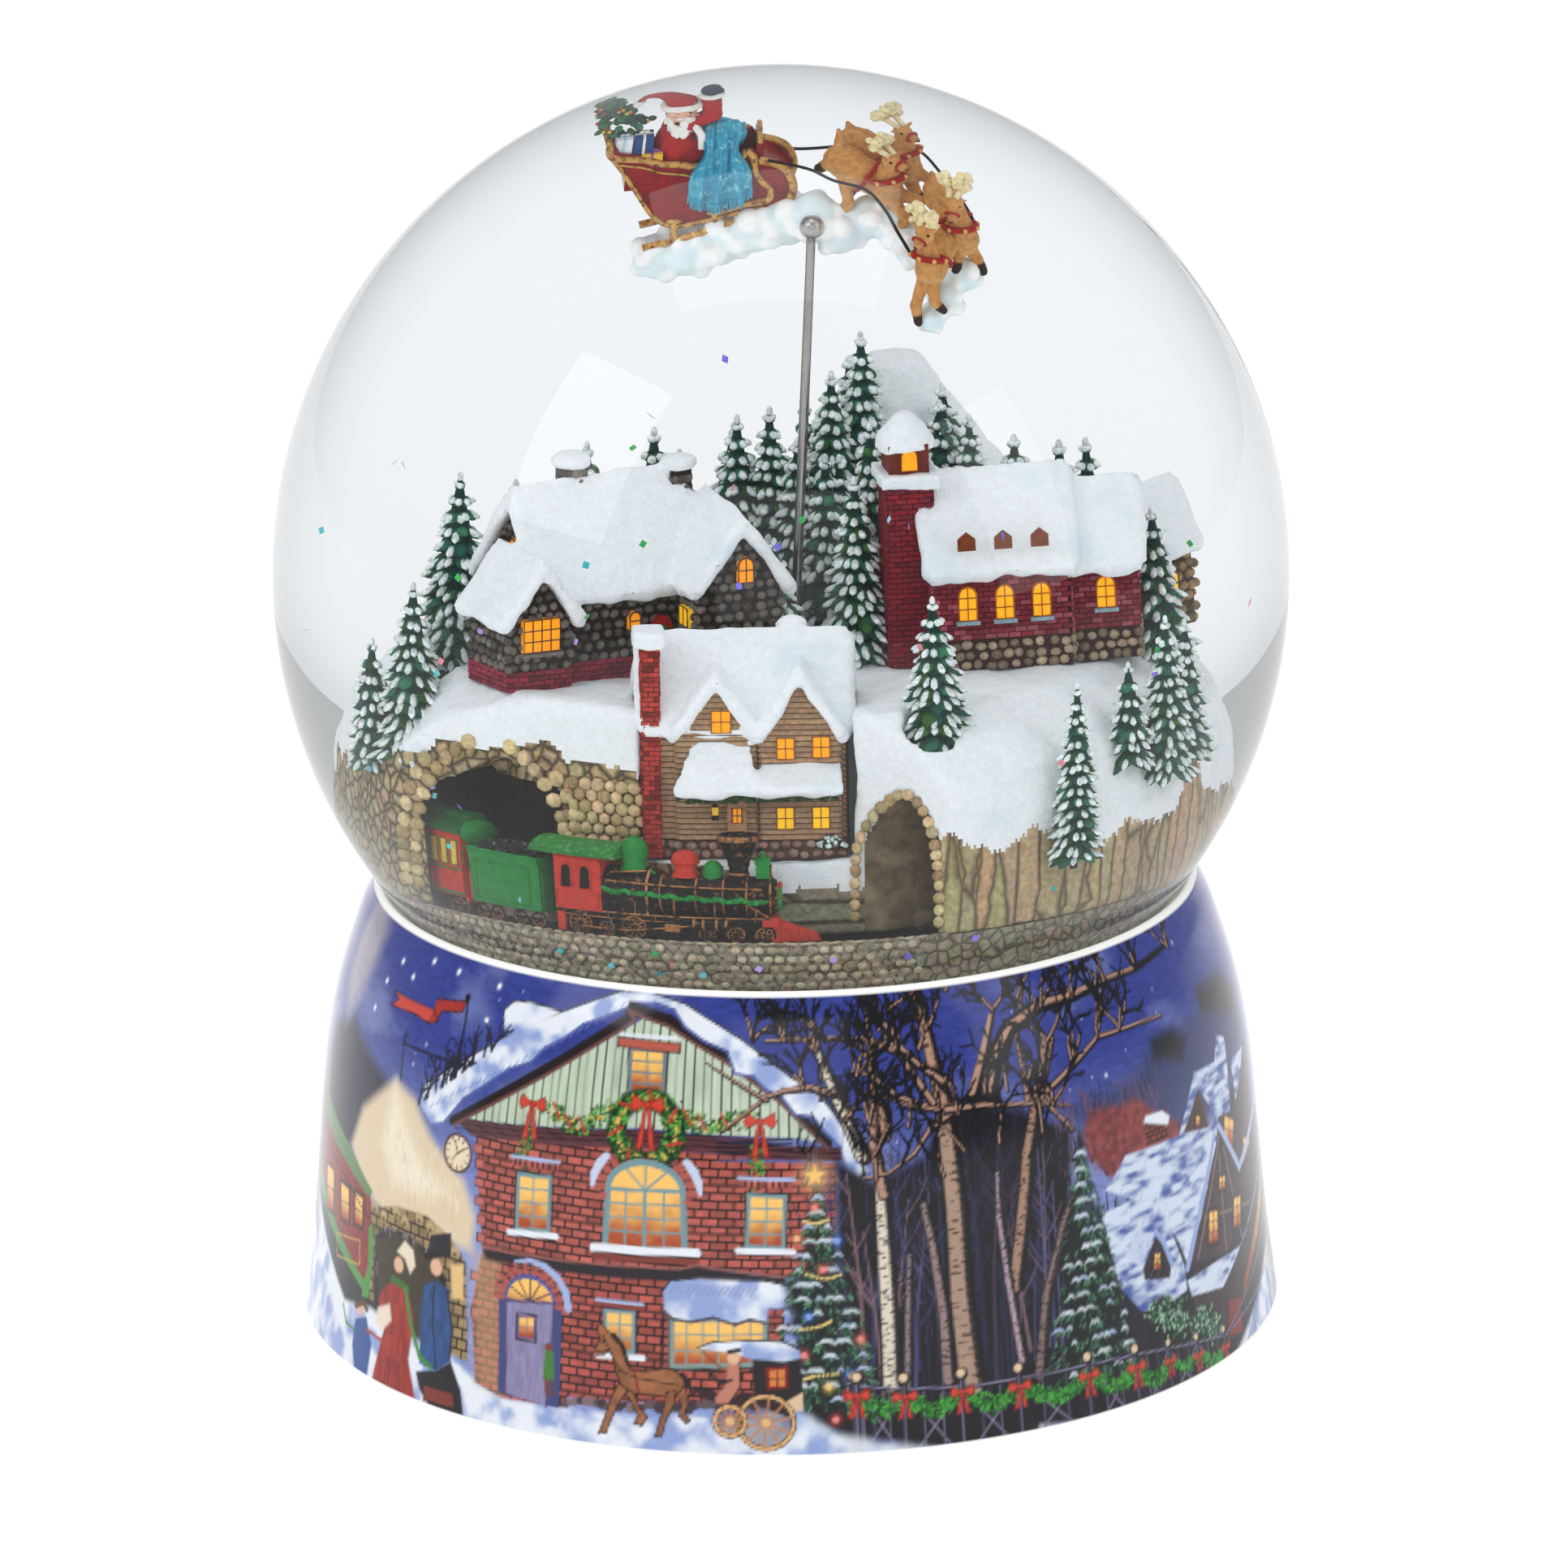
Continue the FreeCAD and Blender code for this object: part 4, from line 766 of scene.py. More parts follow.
def painted_fir(pic, u, z0, z1, half, seed, lights=()):
    """A snowy fir drawn as tiers of drooping tufts; lights are (x, z, colour)."""
    rand = random.Random(seed)
    greens = ["14251f", "1f4436", "3b6f55", "6c9c7c"]
    for j in range(10):
        t = j / 9.0
        w = half * (t ** 0.85)
        z = z1 + (z0 - z1) * t
        pic.poly([(u, z + (z1 - z0) * 0.16), (u - w, z), (u + w, z)], greens[0], 0.5, 0.85)
    for j in range(15):
        t = (j + 0.6) / 15.0
        w = half * (t ** 0.9)
        z = z1 + (z0 - z1) * t
        for _ in range(int(7 + 26 * t)):
            x = u + rand.uniform(-w, w)
            y = z + rand.uniform(-0.6, 0.6)
            lean = (x - u) / max(0.6, w)
            for _ in range(4):
                a = -math.pi / 2 + lean * 0.9 + rand.uniform(-0.4, 0.4)
                length = rand.uniform(0.4, 0.95)
                col = rand.choice(greens[1:]) if rand.random() > 0.2 else greens[0]
                pic.line([(x, y), (x + length * math.cos(a), y + length * math.sin(a))], 0.15,
                         col, soft=0.09)
        for _ in range(int(2 + 5 * t)):
            x = u + rand.uniform(-w, w) * 0.95
            s = rand.uniform(0.35, 1.0)
            pic.poly([(x - s, z - 0.25), (x - s * 0.3, z + 0.34), (x + s * 0.5, z + 0.25),
                      (x + s, z - 0.3), (x, z - 0.02)],
                     rand.choice(("dfe8f4", "b9c8e6", "c8d6d8")), soft=0.2)
    for x, z, col in lights:
        pic.glow(x, z, 1.3, col, 0.75)
        pic.dot(x, z, 0.38, lerp(rgb(col), rgb("ffffff"), 0.25))


def voussoirs(pic, centre, inner, outer, at_angles, width, lifts, joint):
    """Bricks standing round an arch, each with an inked joint above it."""
    for start, end in zip(oval(*centre, *inner, at_angles), oval(*centre, *outer, at_angles)):
        pic.line([start, end], width, BRICK_RED)
        pic.line([(start[0], start[1] + lifts[0]), (end[0], end[1] + lifts[1])], joint, INK)


def paint_sky(pic, rand):
    """Night sky: deep at the top, pale towards the horizon, with a combed grain and stars."""
    x, z = pic.across, pic.height
    comb = grain(x * 0.45 + z * 0.2, z * 1.8, 0.5, 2, 2)
    rise = np.clip((z - 22) / 30.0, 0, 1)
    sky = lerp(rgb("93a2d6"), rgb("3d4b9c"), sstep(rise, 0.0, 0.85))
    sky *= (0.72 + 0.5 * comb)[..., None]
    cloud = sstep(grain(x, z * 1.6, 9.0, 12, 4), 0.52, 0.75)
    pic.colour[:] = lerp(sky, rgb("a9b4de"), 0.35 * cloud)
    for _ in range(150):
        pic.dot(rand.uniform(-176, 176), rand.uniform(30, 53.5),
                rand.choice((0.1, 0.12, 0.16, 0.25)), "e4e9ff", alpha=rand.uniform(0.5, 0.95))
    for u, z in [(-53.7, 53.2), (-60.6, 51.7), (-48.2, 53.1), (-63.3, 48.8), (-40.4, 52.9),
                 (-57.1, 50.7), (-64.6, 45.3), (-41.2, 49)]:
        pic.glow(u, z, 0.9, "c9d2ff", 0.6)
        pic.dot(u, z, 0.3, "ffffff")


def paint_far_side(pic, rand):
    """Dark woods all round with a combed upper edge, and rolling snow with firs behind."""
    for u in np.arange(-178, 178, 0.55):
        if -43 < u < 12:
            continue
        top = 27 + 5.0 * math.sin(u * 0.07 + 1.0) + 2.5 * math.sin(u * 0.23)
        if 12 <= u < 52:
            top = 33 - 8.0 * sstep(u, 22, 50) + rand.uniform(-1, 1)
        if 52 <= u < 95:
            top = 25 + 10.0 * math.exp(-((u - 70) / 10.0) ** 2)
        h = top + rand.uniform(-1.6, 2.2)
        pic.line([(u, 2), (u, h - 4)], 0.9, rand.choice(("20202e", "2a2838", "181722")), soft=0.3)
        pic.line([(u, h - 5), (u + rand.uniform(-0.3, 0.3), h)], [0.5, 0.12],
                 rand.choice(("2b2a3c", "3a3350")), soft=0.12)
    hills = [(u, 12 + 5 * math.sin(u * 0.045) + 2 * math.sin(u * 0.11)) for u in range(-174, -54, 4)]
    pic.snow([(-178, 12)] + hills + [(-54, 0), (-178, 0)], 0.6)
    hills = [(u, 11 + 4 * math.sin(u * 0.05) + 2 * math.sin(u * 0.13)) for u in range(84, 180, 4)]
    pic.snow([(84, 0)] + hills + [(180, 0)], 0.6)
    # place across, foot, height
    for u, z0, h in ((-150, 10, 22), (-132, 8, 26), (-118, 12, 18), (-101, 9, 24), (104, 9, 24),
                     (118, 11, 19), (134, 8, 27), (151, 11, 20), (168, 9, 23), (-168, 11, 19)):
        painted_fir(pic, u, z0, z0 + h, h * 0.24, abs(u))


def paint_smoke_and_viaduct(pic, rand):
    """Left: dark hillside, cream smoke drifting off, and a stone arch."""
    pic.poly([(-85.3, 51.7), (-81.9, 39.2), (-70, 42.7), (-63, 40.2), (-57.7, 38.5),
              (-55.5, 36.9), (-65.5, 28.7), (-73, 19.8), (-85.3, 33)], "23252f", 1.2, 0.9)
    strokes(pic, rand, 160, (-66, -48), (24, 34), 0.3, (0.8, 2.0), 0.14, ("4a4c5c", "15161e"))
    pic.poly([(-77.3, 57.1), (-73.5, 57.9), (-67.9, 53), (-69.2, 47), (-73, 41.9),
              (-77.6, 46.1)], "d9cfc4", 2.4, 0.55)
    pic.poly([(-55.8, 39.2), (-51.3, 37.9), (-47.7, 34.4), (-41.5, 30.5), (-39.5, 26.5),
              (-39.9, 22.4), (-48.8, 23), (-56.5, 23.1), (-61.4, 24.4), (-65.5, 28.7),
              (-63, 33.9)], "e6d5b8", 1.0)
    pic.poly([(-55.7, 38.6), (-52.8, 34.9), (-49.4, 31.3), (-43.8, 28.2), (-49.1, 27),
              (-54.4, 27.3), (-57.4, 31)], "f8efdc", 1.6, 0.8)
    strokes(pic, rand, 240, (-58, -42), (15, 33), 0.2, (0.6, 1.8), 0.1,
            ("cbb592", "fff6e4", "d8c6a8"), alpha=0.45)
    pic.poly([(-59.3, 22.8), (-53.3, 24.5), (-47.5, 24.9), (-43.5, 23.4), (-40.7, 20.9),
              (-39.7, 9.3), (-42.3, 9.2), (-43.8, 18.4), (-46.6, 20.8), (-50.9, 22),
              (-55.5, 21.4), (-58, 19.5), (-57.2, 11.6), (-58.4, 11.7)], "a08a62", 0.3,
             tex=bricks(1.6, 1.3))
    pic.poly([(-57.5, 19.2), (-53.1, 21.4), (-48.6, 20.8), (-45.5, 18.9), (-44.3, 15.6),
              (-43.8, 9), (-47.7, 9.3), (-56.2, 11.9)], "4a4030", 0.5)
    pic.poly([(-43.1, 20.1), (-41.1, 20.6), (-40.8, 16.4), (-42.7, 16.2)], "e9c98e", 0.3)
    for x, z in [(-58.3, 23.1), (-56.1, 22.6), (-53.3, 23.8), (-51.6, 23.2), (-48.9, 24.3),
                 (-46.8, 23.7), (-45.3, 23.4), (-44, 22.4), (-42.5, 21.8)]:
        pic.dot(x, z, 0.7, "c8b183", soft=0.3)
        pic.dot(x, z - 0.35, 0.3, "6b5a3a", soft=0.2)


def paint_coach(pic):
    """The red railway coach at the left edge, and the snow in front."""
    green = "5aa050"
    pic.poly([(-85.3, 49.8), (-76.4, 30.7), (-66.5, 27.4), (-59.4, 24.1), (-59, 20.4),
              (-58.9, 12), (-85.3, 22.6), (-85.3, 25.1)], "9c3430", 0.25,
             tex=mottled(0.65, 0.6, 0.9, 8, x_scale=3))
    pic.poly([(-85.3, 50.8), (-76.7, 31.3), (-65.6, 28.2), (-58.9, 24.7), (-59.8, 23.8),
              (-67.7, 26.2), (-78.6, 28.6), (-85.3, 48.3)], "6f9464", 0.25)
    pic.poly([(-59.5, 20.2), (-58.5, 21), (-58.1, 17.2), (-58.5, 11.9), (-60.3, 11.5),
              (-60, 13.4), (-59.1, 15.6)], green, 0.2)
    pic.poly([(-85.3, 27.1), (-85.3, 24.1), (-59.1, 13.3), (-58.9, 11.9), (-85.3, 22),
              (-85.3, 25.1)], green, 0.2)
    for corners in ([(-67.8, 18.8), (-65, 19.1), (-65.6, 23.1), (-68.6, 23.1)],
                    [(-63.4, 19.5), (-61.1, 19.7), (-61.3, 23.3), (-63.7, 23.3)],
                    [(-74.2, 18), (-70.8, 18.5), (-71.6, 23.5), (-75.3, 23.2)],
                    [(-85.3, 33), (-85.3, 32.2), (-85.3, 38.4), (-85.3, 39.4)]):
        panes(pic, corners, 1, 2, "4a2a20", 0.3, 0.14)
    pic.line([(-68.8, 16.6), (-61.7, 17.9), (-61.3, 15.1), (-68.3, 14), (-68.8, 16.6)], 0.18,
             "d7b15e")
    for _ in range(5):    # five passes build up the ink
        pic.line([(-85.3, 42.9), (-74.6, 25.8), (-66, 23.9), (-59.6, 21.3)], 0.12, INK, alpha=0.5)
    pic.snow([(-85.3, 25.1), (-85.3, 23.6), (-85.3, 21.6), (-64.7, 9.7), (-57.8, 10.9),
              (-51.3, 10.1), (-41.4, 9.4), (-38.4, 7.2), (-34.6, 6.2), (-25.8, 6.5), (-19, 6.5),
              (-12.6, 7.1), (-0.2, 7), (-5.8, 7.2), (1.1, 8.6), (5.9, 8.1), (5.7, -4.9),
              (-20, -5), (-70, -5)], 0.5)


def paint_station_walls(pic):
    """Brick walls, quoins, gable boards and the eaves of the station."""
    pic.poly([(-40.1, 36.3), (-17.4, 38), (0.3, 37.6), (-8.6, 37.1), (5.4, 36.7), (4.9, 23.2),
              (-10.7, 24.5), (-12.7, 23.9), (-38.2, 23)], BRICK_RED, tex=bricks())
    pic.poly([(-38.2, 23), (-12.7, 23.9), (-10.7, 24.5), (-0.8, 23.4), (-0.9, 9.4),
              (-10.6, 8.5), (-26, 7.8), (-25.8, 6.5), (-34.6, 6.2), (-38.4, 7.2),
              (-39.6, 15.8)], "b25d53", tex=bricks())
    for x, z in [(-40.2, 35.2), (-39.8, 33.5), (-39.7, 31.3), (-39.5, 29.2), (-39.2, 27),
                 (-39.1, 24.8), (-39.8, 20.2), (-39.6, 15.8)]:
        pic.outlined([(x, z), (x + 1.3, z), (x + 1.3, z - 1.0), (x, z - 1.0)], "c9766c", 0.14)
    pic.poly([(-39.9, 22.4), (-35.5, 23.3), (-34.6, 6.2), (-38.4, 7.2)], "d8b890", 1.2, 0.45)
    pic.poly([(-43.2, 37.5), (-18.6, 52), (-13, 51.7), (-5.8, 48.2), (-0.5, 44.5), (4.9, 38.8),
              (0.3, 39.7), (-17.5, 40.2)], "cbd8c4", tex=siding)
    pic.poly([(-37, 41.8), (-25.1, 47.6), (-24.2, 40.3), (-36.6, 39.3)], "cfe0c4", 2.0, 0.25)
    pic.poly([(-44.2, 37.5), (-17.5, 40), (0.3, 39.5), (-8.6, 39.2), (6.1, 38.4), (6.1, 36.9),
              (-8.6, 37.5), (0.3, 37.6), (-17.4, 37.9), (-40.8, 36)], "6b4148",
             tex=mottled(0.6, 0.7, 0.6, 3, 0.4, 3))
    for drop in (0.0, 0.55, 1.15):
        pic.line([(x, z - drop) for x, z in [(-43.5, 37.5), (-17.5, 39.9), (0.3, 39.5),
                                             (-8.6, 39.1), (6.1, 38.3)]], 0.16, INK)
    pic.line([(-44.1, 37), (-31, 45.2), (-19.7, 52.5), (-21.2, 53.3), (-15.1, 52.1),
              (-7.3, 48.5), (-0.9, 44.1), (4.5, 38.9)], 1.15, "2a1c22")
    pic.line([(-44, 36.5), (-30.8, 44.6), (-19.6, 51.8), (-20.6, 52.7), (-15, 51.4),
              (-7.3, 47.7), (-0.9, 43.5), (4.5, 38.4)], 0.4, "7a5450")


def paint_station_roof(pic):
    """Snow on the gable, from the left eave over the top to the right, and a mound on it."""
    top = [(-50.6, 37.9), (-49.7, 40.1), (-44.8, 43.3), (-38.3, 47.5), (-33.7, 50),
           (-29.1, 52), (-24.7, 53.7), (-21.5, 54.8), (-21, 54.7), (-18, 54.8), (-13.3, 53.9),
           (-9, 52), (-5.8, 50.4), (-2.7, 48.4), (0.3, 46.3), (3.2, 44.8), (5, 42.7),
           (6.8, 39.9), (8.5, 37.4)]
    right_lip = [(6, 38.4), (4.2, 40.3), (2.8, 42), (0.8, 42.2), (-0.9, 44.3), (-2.7, 45),
                 (-4.2, 46.4), (-6.5, 46.7), (-7.5, 49.1), (-10.5, 50.1), (-13, 51.5),
                 (-14.6, 53.2), (-17.4, 53.8)]
    left_lip = [(-20.9, 53), (-23.7, 51.8), (-26.6, 50.7), (-29, 48.9), (-31.4, 47.6),
                (-33.2, 45.7), (-36.4, 44.4), (-39.4, 42.2), (-42.7, 39.9), (-45.4, 36.7)]
    pic.snow(top + [(9, 35.5), (8, 35.1), (6.8, 35.7)] + right_lip + [(-20.8, 53.7)] + left_lip
             + [(-47.9, 35.9)], 0.22)
    pic.line(left_lip[::-1], 0.3, "5a6db0")
    pic.line(right_lip[::-1], 0.3, "5a6db0")
    pic.line(top, 0.2, INK)
    low, high = np.array([(-48.4, 38.2), (-21.0, 53.9)])
    for k in range(26):
        a = low + (high - low) * (k + 0.5) / 26
        pic.line([a + (0.2, -0.1), a + (-0.4, -0.9)], 0.1, "7486c4")
    mound = [(-38, 47.9), (-38.7, 50.6), (-37.4, 51.8), (-34.8, 52.1), (-29.9, 51.7)]
    pic.snow(mound + [(-32.1, 50.5), (-35.6, 48.6)], 0.2)
    pic.line(mound, 0.2, INK)


def paint_gable(pic):
    """Attic window, garlands, wreath and bows."""
    panes(pic, [(-19.4, 43.8), (-15.1, 43.9), (-15.4, 48.8), (-19.8, 48.7)], 2, 4, "7d8f96")
    pic.outlined([(-21.6, 49.8), (-13.5, 49.7), (-13.4, 48.7), (-21.5, 48.8)], "c46a5a", 0.16)
    pic.snow_cap = None
    pic.poly([(-21.5, 50), (-13.5, 50), (-13.8, 50.4), (-21.3, 50.3)], SNOW_LIGHT, 0.15)
    gold = "e8c56a"
    leafy(pic, [(-29.8, 41.1), (-27.6, 39.9), (-25.1, 39.7), (-22.3, 41.5), (-20, 42.3)],
          0.95, 31, fleck=gold)
    leafy(pic, [(-13.7, 42.5), (-11.2, 41.1), (-9.2, 40.9), (-6.3, 41.6), (-4.3, 41.9)],
          0.95, 32, fleck=gold)
    for x, z in [(-28.8, 40.9), (-27.1, 39.9), (-25.3, 39.8), (-12.1, 41.7), (-10.3, 41.2),
                 (-7.6, 41.5)]:
        pic.line([(x - 0.5, z + 0.8), (x + 0.5, z - 0.8)], 0.3, "c9483c")
    x, z = -17.1, 39.9
    ring = oval(x, z, 3.75, 3.55, angles(20, TURN))
    pic.line(ring, 2.2, "173a20", soft=0.4)
    leafy(pic, ring, 1.15, 33, fleck=gold)
    for k in range(7):
        a = k * TURN / 7 + 0.4
        pic.line(oval(x, z, 3.0, 3.0, [a]) + oval(x, z, 4.6, 4.4, [a + 0.25]), 0.34, "c9483c")
    bow(pic, -17.1, 42.8, 1.05, 4.9)
    for k, (x, z) in enumerate([(-32.2, 41.2), (-3.4, 41.5)]):
        leafy(pic, [(x - 0.3, z - 3.0), (x - 0.5, z - 5.2), (x - 0.4, z - 7.4)], 0.75, 35 + k,
              fleck=RED)
        bow(pic, x, z, 0.95, 4.4)


def paint_upper_windows(pic):
    for corners in ([(-33.4, 26.4), (-29, 26.9), (-29, 33.2), (-33.4, 32.9)],
                    [(-5, 27.2), (-0.8, 27), (-0.6, 33), (-4.8, 33.2)]):
        panes(pic, corners, 2, 4, PALE_FRAME)
        a, b = np.array(corners[3]), np.array(corners[2])
        pic.poly([a + (-0.9, 0.9), b + (0.9, 0.9), b + (0.9, 1.9), a + (-0.9, 1.9)], "b5635a",
                 tex=bricks(0.8, 3.0))
        pic.line([a + (-1.1, 1.9), b + (1.1, 1.9)], 0.42, ICE)
        a, b = np.array(corners[0]), np.array(corners[1])
        pic.line([a + (-1.0, -0.5), b + (1.0, -0.5)], 0.75, SNOW_LIGHT)
        pic.line([a + (-1.0, -1.0), b + (1.0, -1.0)], 0.2, INK)

    # the large round-headed window between them
    a, b, c, d = np.array([(-21.7, 26.4), (-12.2, 26.8), (-12.4, 33.3), (-21.5, 32.9)])
    mid, half, rise = (c + d) / 2, (c[0] - d[0]) / 2, 3.2
    arch = oval(*mid, half, rise, angles(12))
    pic.poly([a, b] + arch, "ffd083", tex=fire(a[1] - 1, arch[6][1]))
    for k in range(1, 4):
        t = k / 4
        pic.line([a + (b - a) * t, d + (c - d) * t], 0.24 if k != 2 else 0.4, PALE_FRAME)
        pic.line([a + (d - a) * t, b + (c - b) * t], 0.24, PALE_FRAME)
    pic.line([d, c], 0.42, PALE_FRAME)
    for end in oval(*mid, half, rise, (0.9, 1.57, 2.2)):
        pic.line([mid, end], 0.26, PALE_FRAME)
    pic.line([a] + arch[::-1] + [b], 0.75, PALE_FRAME)
    pic.line(oval(*mid, half + 0.55, 3.8, angles(12)), 0.2, INK)
    at_bricks = [k * math.pi / 12 for k in (-1, 0, 1, 2, 3, 9, 10, 11, 12, 13)]
    voussoirs(pic, mid, (half + 0.7, 3.9), (half + 1.8, 5.0), at_bricks, 0.8, (0.45, 0.5), 0.12)
    for side in (-1, 1):
        pic.line(oval(*mid, side * (half + 2.0), 5.3, (0.0, 0.25, 0.5, 0.72)), [0.5, 1.1, 0.9],
                 "cfdaf2")
    pic.line([a + (-1.4, -0.6), b + (1.4, -0.6)], 1.1, SNOW_LIGHT)
    pic.line([a + (-1.3, -1.5), b + (1.3, -1.5)], 0.9, "8c463e")
    pic.line([a + (-1.4, -1.15), b + (1.4, -1.15)], 0.18, INK)
    # dark band between the storeys
    pic.poly([(-38.2, 23.2), (-12.7, 24.2), (-10.7, 24.6), (-0.7, 23.5), (-0.7, 22.8),
              (-10.7, 23.4), (-12.7, 22.8), (-37.6, 22)], "2d2631", 0.2)
    pic.line([(-38.2, 23.3), (-12.7, 24.3), (-10.7, 24.8), (-0.7, 23.6)], 0.25, "a06a62")


def paint_door(pic):
    """Round-headed door with a small child in green before it."""
    corners = np.array([(-34.1, 6.8), (-28.6, 6.3), (-28.0, 18.5), (-34.6, 17.7)])
    a, b, c, d = corners
    mid, half, rise = (c + d) / 2, (c[0] - d[0]) / 2, 2.9
    arch = oval(*mid, half, rise, angles(10))
    pic.poly([d + (-1.0, 0), a + (-1.0, 0), b + (1.6, 0), c + (1.0, 0)]
             + [(x, z + 0.6) for x, z in arch], "4a5288")
    pic.poly(arch, "ffb04f", tex=fire(mid[1] - 2, mid[1] + 3))
    for end in oval(*mid, half, rise, (0.55, 1.1, 1.57, 2.1, 2.6)):
        pic.line([mid, end], 0.2, "4a3a52")
    pic.line(arch, 0.35, "5a68a8")
    pic.poly(corners, "9a93b8", tex=mottled(0.75, 0.4, 0.7, 2, 3, 0.5))
    pic.line([a, d, c, b], 0.3, "5a4f7c")
    panes(pic, [(-32.7, 13.7), (-30.6, 13.8), (-30.5, 16.4), (-32.7, 16.2)], 2, 2, "6a5f8a",
          0.25, 0.14)
    voussoirs(pic, mid, (half + 0.5, 3.5), (half + 1.5, 4.5), angles(11), 0.72, (0.4, 0.4), 0.13)
    pic.line(oval(*mid, half + 1.8, 4.9, (0.0, 0.4, 0.8, 1.2, 1.6, 2.0)), [0.9, 0.9, 0.3],
             "aebfe6")
    pic.dot(-28.6, 13.2, 0.5, "8a4a32")
    pic.poly([(-29.05, 12.8), (-27.95, 12.8), (-27.75, 9.3), (-29.25, 9.3)], "4f8a3f")
    pic.line([(-28.8, 9.3), (-28.6, 7.4)], 0.4, "7a4a3a")
    pic.line([(-28.2, 9.3), (-27.9, 7.7)], 0.4, "7a4a3a")


def paint_shop_front(pic, rand):
    """Small window, wide window under a snowy awning, rough stones at the wall's foot."""
    panes(pic, [(-21.5, 13.8), (-18.1, 14), (-18.1, 18.7), (-21.6, 18.6)], 2, 3, PALE_FRAME)
    pic.line([(-22.7, 19.4), (-17.1, 19.4)], 0.9, "93483f")
    pic.line([(-22.7, 19.7), (-17.1, 19.7)], 0.4, ICE)
    pic.line([(-22.4, 13.2), (-17, 13.4)], 0.7, SNOW_LIGHT)
    panes(pic, [(-13.7, 12.7), (-3, 13.4), (-2.9, 18.7), (-13.7, 18.4)], 6, 3, "8fa3a0", 0.7)
    top = [(-14.7, 21.6), (-13.9, 22.8), (-10.7, 23.3), (-2.9, 23.2), (-0.1, 22.5)]
    lip = [(-2.9, 18.2), (-4.7, 18.6), (-6.4, 18), (-8.9, 18.7), (-11.4, 18.1), (-13.5, 18.3),
           (-14.5, 19.1)]
    pic.snow(top + [(1.6, 20.5), (0.6, 19.9), (-2.6, 19.9)] + lip, 0.25)
    pic.line(top, 0.2, INK)
    pic.line(lip[::-1], 0.35, "4a4458")
    for k in range(16):
        x = -13.2 + k * 0.62
        pic.line([(x, 22.5), (x - 0.7, 21.4)], 0.12, "8a8fb8", alpha=0.7)
    pic.line([(-14.6, 18.7), (-14.9, 10)], 0.3, INK)
    for k in range(34):
        x, z = np.interp(k, [0, 33], [-26.3, -4.4]), np.interp(k, [0, 33], [7.3, 8.7])
        pic.dot(x, z + rand.uniform(-0.4, 0.2), rand.uniform(0.4, 0.65),
                rand.choice(("6a5a60", "8a767a", "4a3d46")), soft=0.15)


def paint_clock_and_pennant(pic, rand):
    x, z = -42.8, 33.5
    pic.dot(x, z, 2.35, "5a3226")
    pic.dot(x, z, 2.0, "f0e0c4")
    hours = angles(12, TURN)[:-1]
    for mark in zip(oval(x, z, 1.5, 1.5, hours), oval(x, z, 1.85, 1.85, hours)):
        pic.line(mark, 0.16, INK)
    for dx, dz, width in ((1.1, 0.7, 0.2), (-0.5, 1.4, 0.18), (-0.9, -1.0, 0.14)):
        pic.line([(x, z), (x + dx, z + dz)], width, INK)
    # scrolled bracket
    pic.line([(-45.1, 50.9), (-44.7, 48.3), (-44.6, 43.7)], 0.36, INK)
    pic.dot(-45.2, 50.8, 0.48, INK)
    pic.line([(-55.2, 43.4), (-50.5, 43.5), (-44.7, 43.5)], 0.3, INK)
    pic.line([(-55.7, 44.5), (-55.2, 42.2), (-54.8, 39.3)], 0.28, INK)
    for x, z, r in ((-46.2, 45.3, 0.75), (-44.5, 45.4, 0.6), (-48.1, 42.8, 0.6),
                    (-55.3, 44, 0.45), (-45.9, 42.6, 0.7), (-49.5, 42.7, 0.5)):
        pic.line(oval(x, z, r, r, angles(10, 5.0)), 0.17, INK)
    flag = [(-60.5, 48.3), (-57.8, 48.3), (-50.9, 48.3), (-49.6, 47.3), (-51.1, 46.7),
            (-54.5, 47), (-60.6, 46.7), (-59, 47.7)]
    fold = [(-50.8, 49.6), (-45.2, 50.4), (-45.6, 49.1), (-49.3, 48.5), (-50, 47.2)]
    pic.poly(flag, "d4574a")
    pic.poly(fold + [(-51.7, 46.7), (-50.9, 48.3)], "b23a33")
    pic.line(flag + flag[:1], 0.16, INK)
    pic.line(fold, 0.16, INK)
    # bare bushes behind the roof on the left
    for _ in range(26):
        t = rand.random()
        branch(pic, rand, -50.5 + 12.2 * t, 37.5 + 9.3 * t, rand.uniform(1.1, 2.0),
               rand.uniform(1.2, 2.6), 0.16, 1, INK, "2c2a40")


